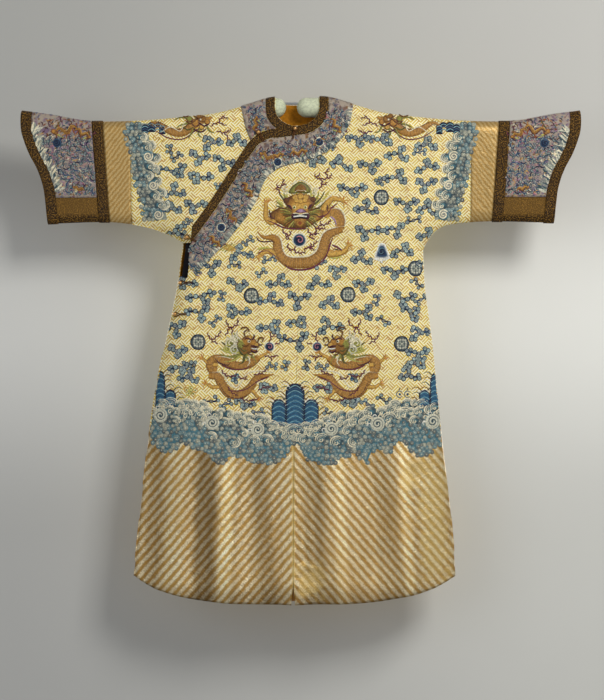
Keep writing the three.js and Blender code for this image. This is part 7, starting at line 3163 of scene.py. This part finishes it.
    def collar(self) -> None:
        """Works the collar band and the lapel, then the collar on the right and behind."""
        rng = np.random.default_rng(31)
        needle, curls = Needle(), MotifField(Motif.CURL)
        middle = smooth_line(self.middle, 20.0)
        self.scatter(needle, curls, middle, 25, 19, rng)
        edge = smooth_line([(170, -20), (162, -58), (136, -102), (103, -133), (60, -156), (18, -166),
                            (-30, -180), (-71, -213),
                            (-97, -273), (-129, -323), (-185, -393), (-234, -443), (-262, -470)], 6.5)
        self.feathers(needle, edge, -math.pi / 2 - 0.25, 17.0, rng)
        for x, z in ((-267, -399), (-239, -413), (-217, -399), (-265, -433), (-242, -452), (-259, -472),
                     (-273, -455), (-234, -433)):
            self.clump(needle, curls, x, z, rng)
        curls.stitch(needle, 0.5, 1.0, 0.2, 15)
        for x, z in self.discs:
            needle.disc(x, z, 13.5, Thread.SKY, Thread.CREAM, 0.4, 0.9)
            needle.disc(x, z, 11.5, Thread.NAVY, Thread.BLUE, 1.0, 1.1)
            needle.spiral(x, z, 7.5, 1.2, 2.4, Thread.BLUE, 1.0, 1, 2.0)
        for row in ((122, -66, 26, -60, 1), (20, -142, 26, 8, 1), (-68, -152, 24, -20, -1),
                    (-124, -244, 26, -60, 1),
                    (-168, -318, 26, -52, -1), (-214, -388, 22, -48, 1), (-38, -150, 18, 10, 1),
                    (78, -112, 20, 30, -1)):
            self.dragonet(needle, *row)
        needle.lay("band_work_front", Face.FRONT, 2.0, slot="band_silk")
        needle, curls = Needle(), MotifField(Motif.CURL)
        right = smooth_line([(-98, -22), (-94, -52), (-84, -82)], 18.0)
        self.scatter(needle, curls, right, 14, 14, rng)
        self.dragonet(needle, -98, -60, 22, 80)
        curls.stitch(needle, 0.5, 1.0, 0.2, 16)
        needle.lay("band_work_right", Face.FRONT, 2.0, True, slot="band_silk")
        for side in Side:
            s, middle = side.value, HANG.neck_x
            needle, curls = Needle(), MotifField(Motif.CURL)
            half = ((120, -20), (108, -42), (78, -64), (42, -74), (14, -76))
            self.scatter(needle, curls, smooth_line([(middle + s * x, z) for x, z in half], 18.0), 18, 15,
                         rng)
            self.dragonet(needle, middle + s * 98, -52, 22, -40 * s, -s)
            self.dragonet(needle, middle + s * 30, -74, 22, -4 * s, -s)
            turn = np.radians(np.linspace(8, 88, 16))
            edge = np.stack([middle + s * 154 * np.cos(turn), -6 - 88 * np.sin(turn)], axis=1)
            self.feathers(needle, smooth_line(edge, 6.5), math.pi / 2 * s + math.pi, 15.0, rng)
            curls.stitch(needle, 0.5, 1.0, 0.2, 17)
            needle.lay(f"band_work_back_{side.name.lower()}", Face.BACK, 2.0, slot="band_silk")

    def cuff(self, side: Side, face: Face) -> None:
        """Works one face of one cuff's panel.

        Args:
            side: left or right.
            face: front or back.
        """
        sleeves, s, at = Sleeves(), side.value, partial(HANG.x_at, side)
        rng = np.random.default_rng(41 + s)
        needle, curls = Needle(), MotifField(Motif.CURL)

        def outer(z: float) -> float:
            """Reach of the panel's outer edge at a height."""
            return float(sleeves.cuff_edge(np.array([z]), self.cuff_margin)[0])

        def inner(z: float) -> float:
            """Reach of the panel's inner edge at a height."""
            return float(sleeves.cuff_seam(np.array([z]), self.cuff_margin)[0])

        for z in np.arange(-102, -250, -16.0):
            for r in np.arange(inner(z) + 10, outer(z) - 18, 18.0):
                self.clump(needle, curls, at(r + rng.uniform(-5, 5)), z + rng.uniform(-6, 6), rng)
        for n in range(70):
            r, z = rng.uniform(585, 730), rng.uniform(-104, -48)
            if inner(z) + 6 < r < outer(z) - 10:
                tone = (Thread.RUST, Thread.BROWN, Thread.GOLD, Thread.PLUM, Thread.SLATE, Thread.GREY,
                        Thread.NAVY)[n % 7]
                turn = rng.uniform(0, math.pi)
                c, w = 6 * math.cos(turn), 6 * math.sin(turn)
                needle.stroke([(at(r - c), z - w), (at(r) + 2, z + 2), (at(r + c), z + w)], 3.4, tone,
                              base=0.3, step=4.0)
        for n in range(90):
            r, z = rng.uniform(592, 740), rng.uniform(-256, -62)
            if inner(z) + 6 < r < outer(z) - 8:
                a, tone = rng.uniform(-0.9, 0.9), (Thread.PINK, Thread.LILAC, Thread.CREAM, Thread.MAUVE,
                                                   Thread.OCHRE)[n % 5]
                needle.stroke([(at(r - 6), z - 5 * a), (at(r), z + 3), (at(r + 6), z + 5 * a)], 2.6, tone,
                              base=0.3)
        curls.stitch(needle, 0.5, 1.0, 0.2, 18)
        line = np.array([(at(outer(z)), z) for z in np.arange(-82, -250, -4.5)])
        self.feathers(needle, line, -math.pi / 2 - 0.55 if s > 0 else math.pi / 2 + 0.55, 26.0, rng)
        self.dragonet(needle, at(655), -80, 40, -10 * s, s)
        self.dragonet(needle, at(608), -88, 26, 30 * s, -s)
        self.dragonet(needle, at(620), -240, 18, 10 * s, s)
        needle.disc(at(679), -113, 12.5, Thread.NAVY, Thread.BLUE, 1.0, 0.9)
        needle.spiral(at(681), -113, 7.5, 1.2, 2.2, Thread.BLUE, 1.0, s, 1.9)
        needle.lay(f"cuff_work_{face.name.lower()}_{side.name.lower()}", face, 2.0, slot="band_silk")

    def build(self) -> None:
        """Works the collar and all four cuff faces."""
        self.collar()
        for side in Side:
            for face in Face:
                self.cuff(side, face)


@dataclass(frozen=True)
class Fastenings:
    """Ball buttons of gilded brass and their twisted cord loops."""

    ball: float = 5.5
    cord: float = 1.4
    loop: float = 30.0
    # name, x, z, way of the loop in x and z, height of the cloth under it
    rows: tuple = (("neck", 10, -74, -0.25, -1, 2.5), ("lapel", -92, -84, 0.6, -1, 2.5),
                   ("underarm", -290, -374, 1, -0.55, 2.5),
                   ("upper_side", -306, -503, 1, 0.04, 0.9), ("lower_side", -322, -591, 1, 0.04, 0.9))

    def over(self, x: Numbers, z: Numbers, height: float) -> Array:
        """Points over the front."""
        return HANG.place(-1, np.atleast_1d(x), np.atleast_1d(z), height)

    def turned_round(self, first: int, rows: int, around: int) -> list:
        """Faces of rings of points that face outward, from a first point on."""
        return [[first + face[k] for k in (0, 3, 2, 1)] for face in grid_faces(rows, around, ring=True)]

    def button(self, name: str, x: float, z: float, rest: float) -> None:
        """A ball chased with petals, on a short shank.

        Args:
            name: where it sits, for its name.
            x: place across.
            z: height.
            rest: height of the cloth under it.
        """
        centre = self.over(x, z, rest + self.ball)[0]
        around, rows = 36, 22
        points = []
        for polar in np.linspace(0.06, math.pi - 0.06, rows):
            for k in range(around):
                a = 2 * math.pi * k / around
                groove = 0.22 * abs(math.sin(a * 4 + 1.2 * math.cos(polar))) * math.sin(polar)
                petal = 0.985 - (0.05 * groove if polar < 2.4 else 0)
                r = self.ball * petal + 0.08 * math.cos(polar * 14) * math.sin(polar)
                r = min(r, self.ball)
                points.append((centre[0] + r * math.sin(polar) * math.cos(a), centre[1] - r * math.cos(polar),
                               centre[2] + r * math.sin(polar) * math.sin(a)))
        faces = self.turned_round(0, rows, around)
        faces += [list(range(around)), list(range((rows - 1) * around, rows * around))[::-1]]
        faces += self.turned_round(len(points), 3, 12)
        for r, y in ((1.5, self.ball - 0.4), (1.1, self.ball + 0.6), (1.5, self.ball + 1.2)):
            for k in range(12):
                a = 2 * math.pi * k / 12
                points.append((centre[0] + r * math.cos(a), centre[1] + y, centre[2] + r * math.sin(a)))
        piece = make_piece(f"ball_button_{name}", np.array(points), faces, [BRASS.material()])
        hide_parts(f"button_{name}")

    def tree(self) -> bpy.types.NodeTree:
        """The node tree that lays a three-ply twisted cord along a line.

        Returns:
            The tree.
        """
        known = bpy.data.node_groups.get("twisted cord")
        if known:
            return known
        made = node_group("twisted cord",
                          {"Line": "Geometry", "Radius": "Float", "Twist": "Float", "Plies": "Float",
                                           "Material": "Material"}, "Cord")
        g = Graph(made)
        given = g.node("NodeGroupInput").outputs
        curve = g.node("GeometryNodeMeshToCurve", {0: given["Line"]}).outputs[0]
        number = g.node("GeometryNodeInputIndex").outputs[0]
        tilted = g.node("GeometryNodeSetCurveTilt",
                        {"Curve": curve, "Tilt": g.math("MULTIPLY", number, given["Twist"])}).outputs[0]
        ring = g.node("GeometryNodeCurvePrimitiveCircle", {"Resolution": 18}).outputs[0]
        turn = g.math("MULTIPLY", g.math("MULTIPLY", number, 2 * math.pi / 18), given["Plies"])
        lobes = g.math("MULTIPLY_ADD", g.math("ABSOLUTE", g.math("COSINE", g.math("MULTIPLY", turn, 0.5))),
                       0.34, 0.66)
        size = g.math("MULTIPLY", lobes, given["Radius"])
        place = g.node("GeometryNodeInputPosition").outputs[0]
        scaled = g.node("ShaderNodeVectorMath", {0: place, 3: size}, operation="SCALE").outputs[0]
        shaped = g.node("GeometryNodeSetPosition", {"Geometry": ring, "Position": scaled}).outputs[0]
        body = g.node("GeometryNodeCurveToMesh",
                      {"Curve": tilted, "Profile Curve": shaped, "Fill Caps": True}).outputs[0]
        real = g.node("GeometryNodeRealizeInstances", {0: body}).outputs[0]
        done = g.node("GeometryNodeSetMaterial", {"Geometry": real, "Material": given["Material"]}).outputs[0]
        g.node("NodeGroupOutput", {0: done})
        return made

    def loop_of(self, name: str, x: float, z: float, to_x: float, to_z: float, rest: float) -> None:
        """A length of cord that comes in, goes round the ball and runs back beside itself.

        Args:
            name: where it sits, for its name.
            x: place across.
            z: height.
            to_x: way of the loop across.
            to_z: way of the loop in height.
            rest: height of the cloth under it.
        """
        size = math.hypot(to_x, to_z)
        ax, az = to_x / size, to_z / size
        out = math.sqrt((self.ball + self.cord + 0.5) ** 2 - (self.ball - self.cord) ** 2)
        apart = self.cord + 0.3
        turn = np.radians(np.linspace(-50, -310, 25))
        legs = [(self.loop, apart), (self.loop * 0.6, apart), (out + 3, apart)]
        line = legs + [(out * math.cos(a), -out * math.sin(a)) for a in turn]
        line += [(u, -v) for u, v in reversed(legs)]
        flat = smooth_line([(x + ax * u - az * v, z + az * u + ax * v) for u, v in line], 0.7)
        points = self.over(flat[:, 0], flat[:, 1], rest + self.cord)
        mesh = bpy.data.meshes.new("cord line")
        mesh.from_pydata((points * MM).tolist(), [(i, i + 1) for i in range(len(points) - 1)], [])
        values = {"Radius": self.cord * MM, "Twist": 0.62, "Plies": 3.0, "Material": CORD_SILK.material()}
        plain = run_tree(self.tree(), mesh, values)
        place = read_values(plain.vertices, "co", 3)
        faces = [list(p.vertices) for p in plain.polygons]
        tones = np.tile(np.array(Thread.BROWN.value), (len(place), 1)) * np.array([0.8, 0.75, 0.6, 1.0])
        piece = make_piece(f"cord_loop_{name}", place / MM, faces, [CORD_SILK.material()], colours=tones)
        for spare in (mesh, plain):
            bpy.data.meshes.remove(spare)
        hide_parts(f"loop_{name}")

    def build(self) -> None:
        """Makes the five buttons and loops."""
        for name, x, z, to_x, to_z, rest in self.rows:
            self.button(name, x, z, rest)
            self.loop_of(name, x, z, to_x, to_z, rest)


@dataclass(frozen=True)
class Stage:
    """Backdrop, floor, lights and camera."""

    eye: Row = (0.0294, -6.0, -0.690)
    lens: float = 110.2

    def plane(self, name: str, corners: list) -> None:
        """A large flat sheet that only the camera sees.

        Args:
            name: the piece's name.
            corners: its four corners.
        """
        mesh = bpy.data.meshes.new(name)
        mesh.from_pydata(corners, [], [(0, 1, 2, 3)])
        mesh.materials.append(PaintedLightStageGrey(name + " grey").material())
        thing = bpy.data.objects.new(name, mesh)
        bpy.context.scene.collection.objects.link(thing)
        for ray in ("diffuse", "glossy", "transmission", "volume_scatter", "shadow"):
            setattr(thing, f"visible_{ray}", False)

    def light(self, name: str, at: Row, aim: Row, size: float, power: float,
              tint: Row = (1.0, 1.0, 1.0)) -> None:
        """A soft square light.

        Args:
            name: the lamp's name.
            at: where it stands.
            aim: where it points.
            size: length of its side.
            power: how bright it is, in watts.
            tint: its colour.
        """
        lamp = bpy.data.lights.new(name, "AREA")
        lamp.shape, lamp.size, lamp.energy, lamp.color = "SQUARE", size, power, tint
        thing = bpy.data.objects.new(name, lamp)
        thing.location = at
        thing.rotation_euler = (Vector(aim) - Vector(at)).to_track_quat("-Z", "Y").to_euler()
        thing.visible_camera = False
        bpy.context.scene.collection.objects.link(thing)

    def build(self) -> None:
        """Sets the stage."""
        wide, high, low, back = 12.0, 6.0, -2.3, 0.19
        self.plane("backdrop",
                   [(-wide, back, low), (wide, back, low), (wide, back, high), (-wide, back, high)])
        self.plane("floor", [(-wide, -wide, low), (wide, -wide, low), (wide, wide, low), (-wide, wide, low)])
        middle = (0.03, 0.0, -0.65)
        self.light("key", (2.0, -3.4, 1.7), middle, 1.5, 112.0, (1.0, 0.985, 0.95))
        self.light("fill", (-2.8, -3.6, -0.1), middle, 2.6, 30.0, (0.95, 0.97, 1.0))
        self.light("rim", (2.6, -0.9, 0.4), middle, 1.2, 8.0)
        self.light("behind", (-2.0, 3.6, 0.2), middle, 2.4, 80.0)
        self.light("behind_low", (2.4, 3.6, -0.6), middle, 2.4, 60.0)
        world = bpy.data.worlds.new("room")
        world.use_nodes = True
        world.node_tree.nodes["Background"].inputs[0].default_value = (0.80, 0.81, 0.82, 1)
        world.node_tree.nodes["Background"].inputs[1].default_value = 0.36
        scene = bpy.context.scene
        scene.world = world
        scene.view_settings.view_transform = "Standard"
        camera = bpy.data.cameras.new("camera")
        camera.lens, camera.sensor_width = self.lens, 36.0
        eye = bpy.data.objects.new("camera", camera)
        eye.location = self.eye
        eye.rotation_euler = (math.pi / 2, 0, 0)
        scene.collection.objects.link(eye)
        scene.camera = eye


def main() -> None:
    """Builds the robe's pieces in order."""
    logging.basicConfig(level=logging.INFO, format="%(name)s %(message)s")
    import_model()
    for made in (Hanger, BodyPanels, Sleeves, Collar, Clouds, ChestDragon, WalkingDragon, ShoulderDragons,
                 Emblems,
                 Waves, SleeveWaves, BandWork, Fastenings, Stage):
        made().build()


if __name__ == "__main__":
    main()
